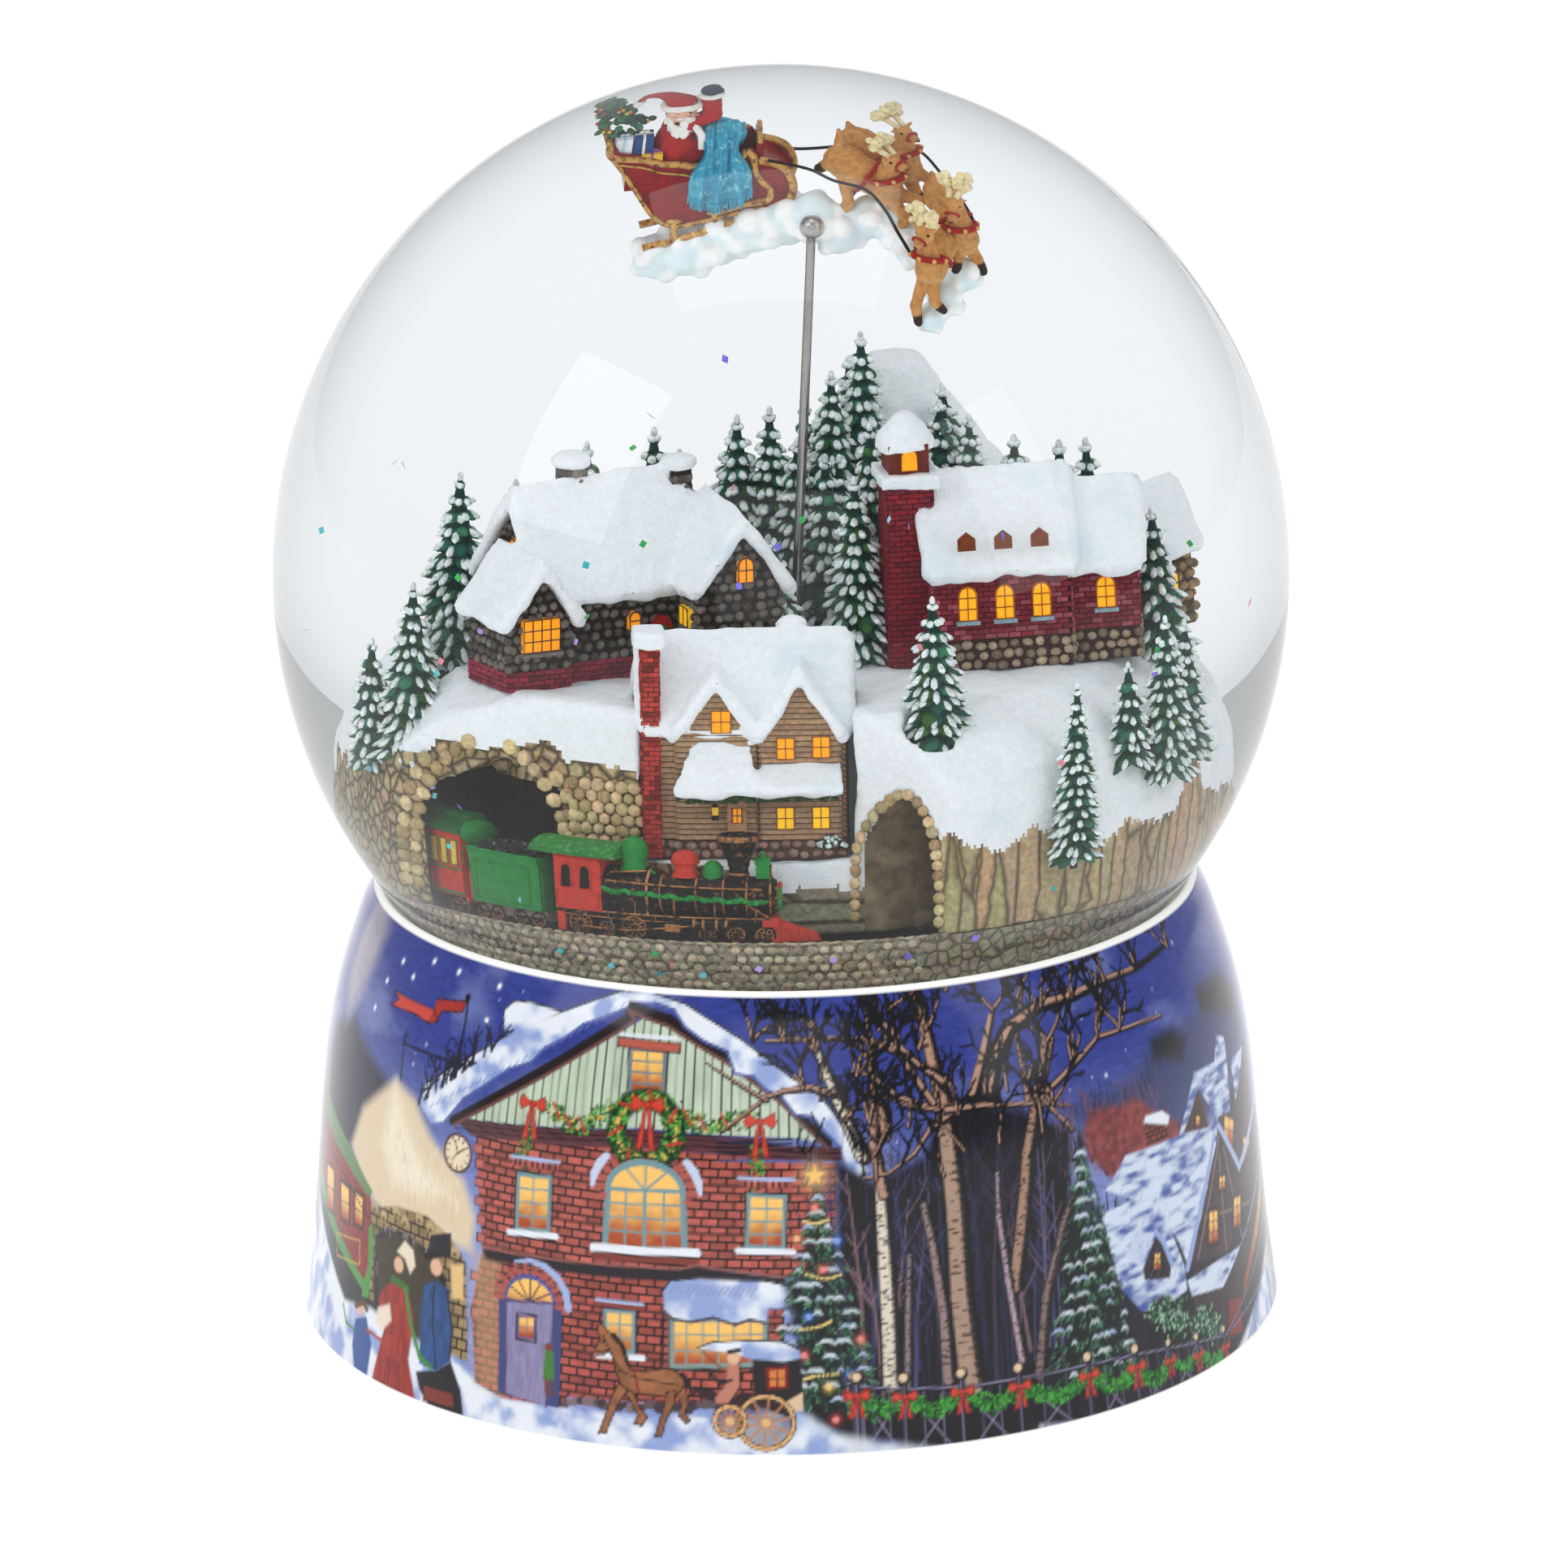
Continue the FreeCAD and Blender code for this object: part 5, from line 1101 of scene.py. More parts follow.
def paint_travellers(pic):
    """Couple and boy waiting, in period winter dress, with two pieces of luggage."""
    pic.poly([(-44.5, 7.1), (-42.3, 8.7), (-40.5, 5.8), (-39.4, 1.2), (-40.8, 0.3),
              (-43.7, 1.4), (-47, 4.2), (-47.9, 6.1)], "201c26")
    pic.poly([(-47.5, 16.6), (-45.4, 17.6), (-43.3, 17.2), (-42.4, 12.5), (-42.3, 8.7),
              (-44.5, 7), (-47.4, 7.2), (-47.9, 12.9)], "33598f",
             tex=mottled(0.6, 0.8, 0.7, 1, 1, 0.4))
    pic.line([(-45.7, 17), (-45.7, 12.5), (-44.6, 7.5)], 0.22, INK)
    pic.line([(-43.5, 16.9), (-42.4, 12.5), (-42.6, 8.9)], 0.26, INK)
    pic.dot(-45.5, 19.2, 1.0, SKIN_TONE, soft=0.2)
    pic.poly([(-47.8, 20.4), (-43.2, 21.9), (-43.1, 21.1), (-47.6, 19.7)], "1c1a22")
    pic.poly([(-47.1, 20.6), (-46.7, 22.8), (-43.2, 23.9), (-43.2, 21.7)], "262430")
    pic.poly([(-52.9, 15.6), (-50.5, 15.3), (-49, 12.1), (-49.4, 7.1), (-46.3, -0.2),
              (-47.6, -1.7), (-57, -3), (-55.8, 4.3), (-54.6, 9.2), (-56.3, 12.3),
              (-55.2, 14.2)], "a8372f", tex=mottled(0.55, 0.9, 0.8, 5, 1.6, 0.4))
    for k in range(5):
        pic.line([(-53.2 + 0.5 * k, 6.3), (-54.4 + 1.2 * k, -2.3)], 0.16, "5e1a18")
    pic.poly([(-56.3, 11.4), (-53.8, 12.6), (-53.2, 10.7), (-54.9, 9), (-56.4, 9.6)],
             "f3e4d2", 0.3)
    pic.line([(-53.5, 15.7), (-51.8, 15.6), (-50.5, 15.3)], 0.9, "3f7a35")
    pic.line([(-50.8, 15.2), (-49.6, 11.5), (-47.5, 8), (-45.5, 7.2)], 0.62, "4f9440")
    pic.dot(-52.4, 17.7, 0.95, SKIN_TONE, soft=0.2)
    pic.poly([(-52.9, 19.2), (-51.4, 20.9), (-49.7, 20.2), (-49.2, 18.4), (-50.1, 17.2),
              (-51.2, 18.7)], "f0e2cc", 0.25)
    pic.line([(-47.9, 16.8), (-47.4, 20.2)], 0.01, INK)
    pic.poly([(-61.3, 8.5), (-58.6, 9.5), (-56.9, 6.7), (-57.2, 2.8), (-60, 2), (-61.4, 5.3)],
             "3f62a4")
    pic.dot(-60.2, 10.0, 0.75, SKIN_TONE, soft=0.2)
    pic.line([(-61.5, 10), (-59.7, 11), (-58.7, 10.4)], 0.7, "6b4a2a")
    pic.line([(-58.2, 8.1), (-54.7, 7.8)], 0.4, "b84a3a")
    pic.line([(-65, 9.1), (-63.6, 7.3), (-61.2, 7.1)], 0.35, "4f9440")
    pic.outlined([(-46.5, 5), (-41.5, 5.1), (-41.3, 3.4), (-46.1, 3.1)], "8a3f34", 0.2)
    pic.poly([(-64, 1.6), (-59.8, 2.1), (-56.7, 2.2), (-56.8, 0.3), (-63.5, -0.1)], "3a3038")


def paint_far_wood(pic):
    """Thin trunks and twigs in the dark wood, blue with distance, a few warm ones nearer."""
    rand = random.Random(53)
    for k in range(44):
        x, y0 = 1.6 + 31.0 * (k + rand.uniform(-0.35, 0.35)) / 44, rand.uniform(8.0, 12.5)
        y1 = rand.uniform(27.0, 40.5)
        lean = rand.uniform(-2.4, 2.4)
        col = rand.choice(("4a4a78", "3b3a62", "5f5d88", "6f6078", "8a7078", "2c2b48"))
        w = rand.uniform(0.16, 0.52)
        knee = (x + lean * 0.3 + rand.uniform(-0.3, 0.3), y0 + (y1 - y0) * 0.45)
        pic.line([(x, y0), knee, (x + lean, y1)], [w, w * 0.8, w * 0.3], col, alpha=0.85)
        for _ in range(5):
            t = rand.uniform(0.35, 0.95)
            bx, by = x + lean * t, y0 + (y1 - y0) * t
            side = rand.choice((-1, 1))
            reach = rand.uniform(1.0, 3.4)
            pic.line([(bx, by), (bx + side * reach * 0.5, by + reach * 0.7),
                      (bx + side * reach * 0.8, by + reach * 1.3)], [w * 0.5, 0.1], col,
                     alpha=0.8)


# tree tops: points from the tip down, (tip width, foot width)
TREE_TOPS = [
    ([(10.2, 54.7), (10.2, 48.8), (10.6, 42)], (0.5, 0.9)),
    ([(3.4, 49.8), (5.2, 45.7), (6.8, 41.5), (8.8, 37.2)], (0.7, 1.6)),
    ([(32, 53.6), (29.7, 49.2), (29.9, 41.4)], (0.4, 0.8)),
    ([(10.2, 48.5), (10.9, 43.7), (11.4, 39.4)], (0.9, 1.3)),
    ([(34.6, 47.2), (30.2, 38.9), (28.5, 30.6)], (0.7, 1.2))]
# trunks: points, widths, colour, seed and the strength of the shade where it is not the usual
LEFT_TRUNKS = [
    ([(11.1, 10.4), (11.1, 16.8), (10.9, 24.1), (10.7, 29.6), (10.5, 34.3)],
     [2, 2, 1.9, 1.6, 1.2], BIRCH, 4),
    ([(10.9, 32.8), (10, 38.6), (10.2, 44.7), (10.2, 48.8)], [1.3, 1, 0.7], BARK, 6),
    ([(8.5, 37.2), (6.5, 42.2), (4.8, 46.4), (3.4, 49.8)], [1.4, 1.1, 0.6], BIRCH, 7)]
RIGHT_TRUNKS = [
    ([(20.4, 9.3), (19.6, 19.9), (19.4, 29.2), (18.9, 38.7), (18.6, 41.6)],
     [3.4, 3, 2.7, 2.5, 2], "b59a88", 5, 0.62),
    ([(19, 41.5), (18.1, 46.2), (17.5, 50.7), (17, 55.3)], [2.2, 1.7, 1.4, 1.2], BARK, 8),
    ([(26.3, 19.9), (27.8, 27.9), (29, 35.1), (31, 41.2), (33.6, 47.1)],
     [1.7, 1.8, 1.6, 1.4, 1], "b08f7c", 9, 0.6),
    ([(26.8, 11.2), (25.6, 20.8), (24.8, 28.4), (24.9, 33.5)], [0.9, 0.8, 0.5], "b9a4b0", 10),
    ([(28.9, 9), (30.4, 18), (33.6, 26.8), (36.7, 31.4)], [1.3, 1.1, 0.7], "8f7a74", 11),
    ([(17.7, 10.3), (17.5, 18), (16.5, 26.1), (15.6, 31)], [1.4, 1.1, 0.8], "a08a88", 12),
    ([(13, 10.1), (13.3, 18.4), (13.7, 25.3)], [0.8, 0.7, 0.5], "9a8a90", 13)]
# limbs: points, width
LIMBS = [
    ([(21, 41.7), (17, 42), (13.2, 43.5), (10, 46.1), (7.7, 46.6)], 0.8),
    ([(21, 41.7), (16.8, 39.6), (14.7, 37), (11.6, 35.1), (8.6, 34.6)], 0.7),
    ([(19, 41.5), (23.9, 41.4), (29.7, 40.7), (35.9, 39.4)], 0.8),
    ([(17.5, 42.4), (13.5, 48.6), (9.7, 50.1), (3.5, 50.4), (-2.7, 50.2)], 0.9),
    ([(18.2, 41.6), (14.4, 42.4), (10.7, 44)], 0.5),
    ([(17.9, 45.5), (14.3, 48.5), (11.9, 52), (11, 54.3)], 0.9),
    ([(31.6, 41.1), (36.9, 43.7), (41.7, 46), (48.7, 45.9), (54.1, 45.7)], 0.8),
    ([(35.5, 36.8), (33.1, 39.4), (31.6, 41.1)], 0.7),
    ([(18.9, 44.7), (15.2, 47.5), (11, 49.5), (7.9, 50.3)], 0.9),
    ([(5.5, 44.3), (2.5, 45.1), (-0.5, 44.8), (-2.7, 44.1), (-7.9, 40.3)], 0.8),
    ([(-2.7, 43.8), (-6.5, 45.8), (-10, 47.7)], 0.45)]
# feet of the twig clusters
CROWNS = [
    (-4.3, 50.2), (-0.4, 50.2), (1.8, 45.1), (3.4, 49.1), (4.6, 50.4), (10.1, 54), (10.5, 47.8),
    (11.8, 51.7), (6.8, 41.5), (13.5, 48.6), (16.2, 48.3), (10.1, 47.8), (13.1, 53),
    (17, 55.1), (13.7, 48.3), (17.7, 50.6), (21.1, 54.3), (27, 51.6), (30.4, 51.8), (34, 50.9),
    (39.2, 51.1), (45.2, 51.7), (51.7, 51.7), (36.9, 43.7), (41.7, 46), (45.8, 46.2),
    (33.9, 47.1), (30.1, 42.8), (33.3, 40.1), (9.6, 41), (8.4, 46.2), (60.4, 52.2)]


def paint_trees(pic, rand):
    """Dark wood on the right, and the bare trees in front of it."""
    pic.poly([(5.3, 37.1), (5.1, 23.4), (-0.8, 23.2), (1.2, 13.7), (1.1, 7.9), (5.8, 4.1),
              (30.1, 0.5), (26.8, 3.5), (29.7, 8.8), (34, 26.7), (35.5, 36.8), (27.9, 40.3),
              (19.1, 42.9), (15.9, 36.6), (9.5, 34.4)], "1b1922", 0.8)
    strokes(pic, rand, 420, (2, 33), (8, 40), 0.4, (1.0, 3.5), (0.08, 0.2),
            ("3a3346", "0e0d12", "54496a"), alpha=0.6)
    paint_far_wood(pic)
    for path, (tip, foot) in TREE_TOPS:
        trunk(pic, path[::-1], [foot, tip], BARK, int(path[0][0] * 10))
    for entry in LEFT_TRUNKS:
        trunk(pic, *entry)
    pic.poly([(19, 42.2), (24.5, 43), (29.6, 40), (27, 31), (25.6, 20.8), (25.6, 8.5),
              (20.2, 9), (19.5, 21.7), (18.3, 33)], "1d1b2a", 0.4, 0.55)
    for entry in RIGHT_TRUNKS:
        trunk(pic, *entry)
    pic.line([(24.4, 42.3), (25.9, 46.2), (28.8, 49.3), (34, 51.1), (39.2, 51.1), (45.2, 51.7),
              (51.7, 51.7), (60.7, 52.5)], [3.0, 2.2, 1.5, 1.0, 0.6], BARK_DARK)
    pic.line([(x - 0.2, z + 0.25) for x, z in [
        (24.9, 42.9), (26.1, 46.2), (29, 49.3), (34, 51), (39.2, 51.1), (45.2, 51.7),
        (51.7, 51.6)]], [0.9, 0.6, 0.3], BARK)
    pic.line([(22.7, 42.5), (24.8, 47.1), (27, 51.6)], [2.2, 1.2, 0.7], BARK_DARK)
    pic.line([(x - 0.3, z) for x, z in [(22.8, 43.2), (24.8, 47.1), (26.7, 51)]], [0.9, 0.5],
             BARK)
    for path, width in LIMBS:
        limb(pic, path, width)
    twigs = random.Random(19)
    for x, z in CROWNS:
        for _ in range(3):
            branch(pic, twigs, x, z, twigs.uniform(0.7, 2.4), twigs.uniform(2.2, 4.2),
                   twigs.uniform(0.28, 0.5), 3)
    for _ in range(30):
        x, z = twigs.uniform(1, 34), twigs.uniform(34, 44)
        branch(pic, twigs, x, z, twigs.uniform(0.9, 2.2), twigs.uniform(2.5, 4.5),
               twigs.uniform(0.22, 0.4), 3)
    for _ in range(12):
        x, z = twigs.uniform(34, 44), twigs.uniform(30, 36)
        branch(pic, twigs, x, z, twigs.uniform(1.0, 2.1), twigs.uniform(1.5, 3.0), 0.22, 2,
               dark="2b2434")


def paint_hill(pic, rand):
    """Far right: dark hill and red thicket."""
    pic.poly([(35.9, 38.9), (41.1, 40), (46.7, 40.2), (51.7, 43.7), (56, 43.7), (62, 43.7),
              (65.4, 46.5), (74.5, 45.4), (75.6, 42.1), (85.3, 51), (85.3, 38.5), (53.2, 29.5),
              (37.7, 35.6)], "3a4270", 1.4, 0.85)
    pic.poly([(50.9, 43.6), (55.4, 43.9), (58.4, 42), (56.6, 39.9), (50.8, 41.4)], "20242f", 1.0)
    pic.poly([(63.9, 46.1), (73.1, 45.8), (80.5, 41.3), (73.4, 40.4), (64.1, 43.8)],
             "20242f", 1.2)
    strokes(pic, rand, 300, (33, 52), (31, 40), 0.3, (0.8, 2.2), 0.13,
            ("2a2438", "6b5a72", "8a5a5e"), alpha=0.7)
    pic.poly([(37, 35.7), (38.7, 38.3), (43.3, 37.8), (46.2, 38.1), (49.2, 35.8), (53.9, 33.1),
              (53.3, 30.2), (43.9, 31.9), (41, 29.6), (37.9, 32.6)], "8a4546", 0.7,
             tex=mottled(0.35, 1.4, 0.7, 8, octaves=3))


def paint_cottages(pic, rand):
    """Blue-roofed cottages, from the upper row down."""
    blue = "8aa0d4"
    pic.poly([(53.6, 31.7), (58.6, 36.7), (60.9, 29.5)], "5a4038")
    pic.poly([(53.2, 31.4), (58.6, 37.8), (64.5, 37.4), (66.6, 40.1), (69, 39), (67.4, 30.6),
              (63.1, 30.8), (59.1, 35.8), (54.2, 31.5)], blue, tex=blue_roof)
    pic.poly([(69.8, 36), (82.4, 35.2), (85.3, 42.6), (69.7, 29.9)], blue, tex=blue_roof)
    pic.poly([(63.2, 31.1), (68.5, 30.2), (85.3, 41.8), (85.3, 30.1), (70, 22), (63.8, 29.8)],
             "4c3a42", tex=mottled(0.6, 0.9, 0.6, 8))
    panes(pic, [(64.3, 27.7), (67.3, 26.3), (68.4, 29.1), (65.3, 30.7)], 2, 2, BROWN_FRAME,
          0.3, 0.14)
    panes(pic, [(57.3, 31.9), (58.4, 31.3), (58.7, 32.5), (57.7, 33)], 1, 2, BROWN_FRAME,
          0.25, 0.12)
    panes(pic, [(70.3, 23), (73.4, 21.6), (74.7, 24.7), (71.6, 26.1)], 1, 3, BROWN_FRAME,
          0.3, 0.14)
    pic.poly([(47.2, 34.9), (51.6, 33.7), (51, 32), (47.1, 32.3)], "9c4a40",
             tex=bricks(1.0, 0.6))
    pic.poly([(47, 34.9), (47.5, 35.6), (50.7, 35.4), (52, 34.4), (51.5, 33.5)], SNOW_LIGHT, 0.2)
    pic.poly([(39.7, 28.6), (43.3, 31.9), (50.9, 31.8), (55, 31.6), (62.9, 30.2), (60.9, 24.9),
              (55.2, 18.9), (53.3, 15.7), (51.8, 19.2), (47.6, 24.9)], "b9c8ee", tex=blue_roof)
    pic.poly([(63.3, 29.6), (68.7, 22.4), (85.3, 28.4), (63.4, 14.8), (53.4, 15.8),
              (56.9, 20.7), (60.2, 25.9)], "4a3940", tex=mottled(0.5, 1.1, 0.8, 11))
    for beam in ([(55.4, 16.2), (63.1, 28.8)], [(62.5, 15.1), (62.6, 26.7)],
                 [(67.7, 14.7), (64.1, 27)]):
        pic.line(beam, 0.34, "8a7a78")
    pic.line([(57.7, 20.5), (71.9, 17.8)], 0.3, "8a7a78")
    panes(pic, [(58, 17.1), (60.6, 16.6), (61.1, 20.4), (58.8, 20.9)], 2, 3, DARK_FRAME,
          0.3, 0.14)
    panes(pic, [(65.1, 16.7), (67.7, 16.3), (68.5, 19.8), (66, 20.3)], 2, 3, DARK_FRAME,
          0.3, 0.14)
    panes(pic, [(61.8, 22.5), (63.7, 22.1), (64, 23.7), (62.2, 24.1)], 2, 2, DARK_FRAME,
          0.25, 0.12)
    pic.line([(63.3, 29.9), (68.9, 23.1), (85.3, 30.1), (85.3, 27.6)], [0.8, 1.0, 0.9], "b4c4ea")
    pic.line([(61.8, 29.3), (57.1, 22.2), (53, 15.7)], [0.7, 1.0], ICE_EDGE)
    pic.poly([(38.9, 26), (46.1, 26.8), (47.7, 26), (50.2, 21.5), (52.4, 16.3), (52.6, 13.2),
              (48.5, 12.5), (44.1, 13), (40.9, 16.8)], "9db0e0", tex=blue_roof)
    pic.poly([(52.8, 14.3), (58.9, 14.5), (71.6, 13.9), (85.3, 25.9), (85.3, 23.4), (60.7, 11),
              (53.4, 12.2)], "c9d6f2", tex=blue_roof)
    pic.poly([(53.7, 12.1), (60.7, 10.8), (85.3, 23.2), (85.3, 22.6), (85.3, 15.5),
              (60.6, 4.5), (53.4, 8.7)], "43343c", tex=mottled(0.5, 1.1, 0.8, 13))
    panes(pic, [(65.6, 7.8), (85.3, 19.9), (85.3, 22.4), (66.6, 9.8)], 3, 3, BROWN_FRAME,
          0.3, 0.14)
    door = [(60.3, 5), (64.2, 4.3), (65.4, 8.3), (61.6, 9.2)]
    pic.poly(door, "8c2f2c")
    pic.line([door[0]] + door[:0:-1], 0.2, INK)
    pic.poly([(44.9, 18), (47.7, 21.5), (50, 17.4), (49.5, 15.6), (45, 16.5)], "3a2f36")
    panes(pic, [(46.6, 17.3), (48, 17), (48.2, 19), (47, 19.3)], 2, 3, DARK_FRAME, 0.25, 0.12)
    pic.poly([(42.6, 19.4), (43.5, 22.6), (47.5, 21.7), (44.6, 18.3)], "cfdaf2", 0.25)
    pic.line([(47.5, 21.7), (48.8, 20.2), (50.1, 17)], 0.7, ICE_EDGE)
    for _ in range(40):
        x, z = rand.uniform(40.8, 51.7), rand.uniform(15.1, 30.8)
        pic.line([(x, z), (x + 0.5, z + 0.9)], 0.1, "5a70b4", alpha=0.5)


def paint_firs(pic):
    """Hedge, snowy fir, and the decorated tree with its star."""
    for x, z, r in ((47.5, 12, 2.2), (50.6, 10.5, 2.4), (54.8, 8.9, 2.0), (57.4, 7.5, 1.6)):
        pic.dot(x, z - 0.6, r * 1.15, "14251f", soft=0.5)
        leafy(pic, [(x - r * 0.6, z - 0.8), (x, z + 0.2), (x + r * 0.6, z - 0.8)], r * 0.75,
              int(x * 7), 14, ("27503f", "4f8a63", "a9c9b4"))
    painted_fir(pic, 36.4, 7.4, 34.9, 6.6, 77)
    red, orange, blue, yellow = "e8503a", "f0a040", "3a7ae0", "f0c040"
    painted_fir(pic, 3.15, 8.5, 33.8, 7.0, 78, [
        (2.8, 31.7, red), (0.7, 28.1, orange), (5.3, 27.7, blue), (3.6, 24.4, red),
        (1.9, 18.9, blue), (7.7, 16, red), (1.3, 14.4, red), (6.4, 11.9, blue),
        (4, 10.6, yellow), (4.7, 6.8, red)])
    for row in ([(1.5, 30.1), (2.9, 29.8), (4.3, 30.2)], [(1.7, 23.9), (3.8, 23.3), (5.6, 23.7)],
                [(0.9, 17.4), (3, 17.7), (4.4, 18.3)], [(1.3, 11.6), (2.5, 11.9), (5, 12.1)]):
        for x, z in smooth_path(row, 5):
            pic.dot(x, z, 0.16, "f2d890")
    x, z = 2.9, 35.3
    pic.glow(x, z, 3.2, "ffd9a0", 0.85)
    star = []
    for k in range(10):
        r = 1.25 if k % 2 == 0 else 0.5
        star.append((x + r * math.sin(k * math.pi / 5), z + r * math.cos(k * math.pi / 5)))
    pic.poly(star, "ffd27a")


# the horse: body, then its four legs from the left
HORSE = [
    [(-22.5, 16.6), (-22, 17), (-21.3, 16.2), (-20.5, 15.8), (-19.7, 15), (-19, 12.8),
     (-18.4, 11.8), (-16.4, 12), (-13.9, 12.5), (-12.4, 11.8), (-12.1, 10.5), (-13.1, 9.4),
     (-16, 9.1), (-18, 9.3), (-19.3, 9.7), (-20.1, 11.3), (-20.5, 13), (-21, 14),
     (-21.7, 13.3), (-22.6, 13.2), (-22.7, 14), (-22.2, 15)],
    [(-19.8, 10.2), (-18.7, 9.6), (-19.8, 7.7), (-20.6, 5.8), (-21.1, 4.3), (-22, 4.1),
     (-21.3, 6.1), (-20.7, 8.3)],
    [(-19.1, 9.5), (-18, 9.3), (-17.2, 7.5), (-16.3, 6.6), (-17, 5.5), (-17.8, 5.8),
     (-17.4, 6.7)],
    [(-14.2, 9.7), (-13.1, 9.9), (-13.3, 8.3), (-14.2, 6.4), (-14.6, 4.6), (-15.4, 4.4),
     (-14.8, 6.7), (-14.4, 8.2)],
    [(-13.1, 9.9), (-12.1, 10.5), (-11.6, 8.8), (-12.1, 7.3), (-11.4, 6.6), (-11.9, 6.2),
     (-12.7, 7), (-12.5, 8.3)]]


def paint_carriage(pic):
    """Horse and carriage with its driver."""
    edge = "2e1510"
    for k in (2, 4, 0, 1, 3):
        pic.outlined(HORSE[k], "a56f4a", 0.17, edge, tex=mottled(0.6, 0.7, 1.0, 3))
    pic.line([(-12.4, 11.8), (-11.7, 11.1), (-11.3, 9.5)], [0.7, 0.3], edge)
    pic.line([(-20.5, 15.7), (-19.4, 14.6), (-18.7, 12.5)], [0.7, 0.4], edge)
    pic.line([(-18, 11.8), (-17.4, 9.4)], 0.26, MAROON)
    pic.line([(-21, 14), (-19.7, 11.7), (-18, 11.1), (-11.4, 10.4), (-8.9, 10.3)], 0.16, INK)
    pic.line([(-21.8, 15.6), (-21, 14), (-22.4, 13.6)], 0.16, edge)
    pic.dot(-21.7, 14.9, 0.22, INK)
    pic.poly([(-4.4, 14.2), (0.9, 14.7), (1.2, 8.6), (-0.5, 7.2), (-4.1, 8.7), (-4.5, 11.5)],
             "2a2128")
    pic.poly([(-11.4, 10.4), (-8.9, 10.3), (-7.2, 8.6), (-5.8, 8.2), (-4.2, 8.7), (-4.4, 10.1),
              (-5.8, 10.1), (-7.8, 8.6), (-9.9, 9.2)], "3a2328")
    pic.outlined([(-2.8, 12.8), (-0.7, 13), (-0.7, 10.7), (-2.7, 10.6)], "e08a4a", 0.34, MAROON)
    pic.line([(-1.8, 12.9), (-1.7, 10.6)], 0.15, "5a2420")
    pic.line([(-2.8, 11.7), (-0.7, 11.8)], 0.15, "5a2420")
    pic.poly([(-0.8, 9), (1.1, 10.1), (1.1, 7.9), (-0.2, 7.9)], "e2c9a8")
    top = [(-10.7, 15.1), (-8.9, 15.9), (-4.3, 16.2), (-0.9, 16), (0.7, 15.1)]
    pic.snow(top + [(1, 14.1), (-0.9, 13.7), (-4.5, 14), (-7.1, 14.7)], 0.2)
    pic.line(top, 0.18, INK)
    pic.line([(-10, 14.7), (-8.9, 13.6), (-7.2, 12.2)], 0.2, "8c3a30")
    coat = [(-7.2, 13.7), (-6, 13.9), (-5.8, 10.8), (-7.2, 8.6), (-8.5, 8.6)]
    pic.poly(coat + [(-8.7, 9.3), (-7.5, 10.8)], "c98a78")
    pic.line(coat, 0.18, edge)
    pic.dot(-6.6, 14.1, 0.75, SKIN_TONE)
    pic.line([(-7.1, 14.8), (-6, 15)], 0.5, INK)
    pic.line([(-9.4, 12.5), (-8.2, 11), (-6.8, 11.5)], 0.34, "2a2128")
    for x, z, r in ((-3, 6.6, 3.05), (-7, 6.7, 1.7)):
        rim = oval(x, z, r, r, angles(24, TURN))
        pic.poly(rim[:-1], "3a2a2c", alpha=0.55)
        pic.line(rim, 0.62, "3a2420")
        pic.line(rim, 0.34, "e8c088")
        for end in oval(x, z, r, r, [k * math.pi / 5 + 0.2 for k in range(10)]):
            pic.line([(x, z), end], 0.24, "c98a5a")
        pic.dot(x, z, 0.5, "e8c088")


def paint_railing(pic):
    """Railing with garlands and bows, and the snow at its foot."""
    rail = [(6, 10.9), (8.1, 10.3), (7.2, 10.4), (12.5, 9.7), (19.1, 9.2), (26.1, 9),
            (35.3, 8.8), (42.4, 8.2), (47.9, 7.4), (53.3, 6.5), (60, 5.3), (85.3, 15.9)]
    pic.snow([(28.4, 3.2), (36.9, 2), (46.8, 1.2), (58.4, 0.9), (85.3, 13.4), (85.3, 17.6),
              (85.3, 5), (46.8, -7.1), (28.3, -2.2)], 0.6)
    for (x0, y0), (x1, y1) in zip(rail, rail[1:]):
        drop = 8.5 if x0 < 45 else 6.0
        pic.line([(x0, y0), (x1, y1 - drop)], 0.2, "8c86a0")
        pic.line([(x1, y1), (x0, y0 - drop)], 0.2, "8c86a0")
        for t in (0.33, 0.66):
            x = x0 + (x1 - x0) * t
            pic.line([(x, y0 - 0.2), (x, y0 - drop)], 0.16, "6e6884")
    pic.line(rail, 0.46, "15131a")
    pic.line([(x, z + 0.12) for x, z in rail], 0.2, "8f8aa8")
    posts = [(6.9, 11.6), (7.2, 11.5), (12.5, 11), (19.2, 10.8), (26.2, 10.3), (35.4, 9.7),
             (42.5, 8.9), (48.1, 8.1), (53.4, 7.2), (59.4, 6.2)]
    for k, ((x0, y0), (x1, y1)) in enumerate(zip(posts, posts[1:])):
        sag, spread = (1.9, 0.85) if k < 7 else (1.2, 0.55)
        leafy(pic, [(x0, y0 - 2.2), ((x0 + x1) / 2, (y0 + y1) / 2 - 2.0 - sag), (x1, y1 - 2.2)],
              spread, 60 + k, 12, ("1f5a22", "2f8a30", "55b048"))
    for k, (x, z) in enumerate(posts):
        s = 1.0 if k < 7 else 0.75
        pic.line([(x, z), (x, z - 9)], 0.7 * s, INK)
        pic.line([(x - 0.12, z), (x - 0.12, z - 9)], 0.22 * s, "7a7490")
        pic.dot(x, z, 0.78 * s, INK)
        pic.dot(x - 0.1, z + 0.1, 0.5 * s, "e9cfb0")
        bow(pic, x, z - 2.1, 0.72 * s, 3.6)
    pic.snow([(1.1, 6.5), (5.8, 4.9), (12.7, 3.3), (30, -0.7), (30, -4.5), (1, -0.9)], 0.8, 0.8)


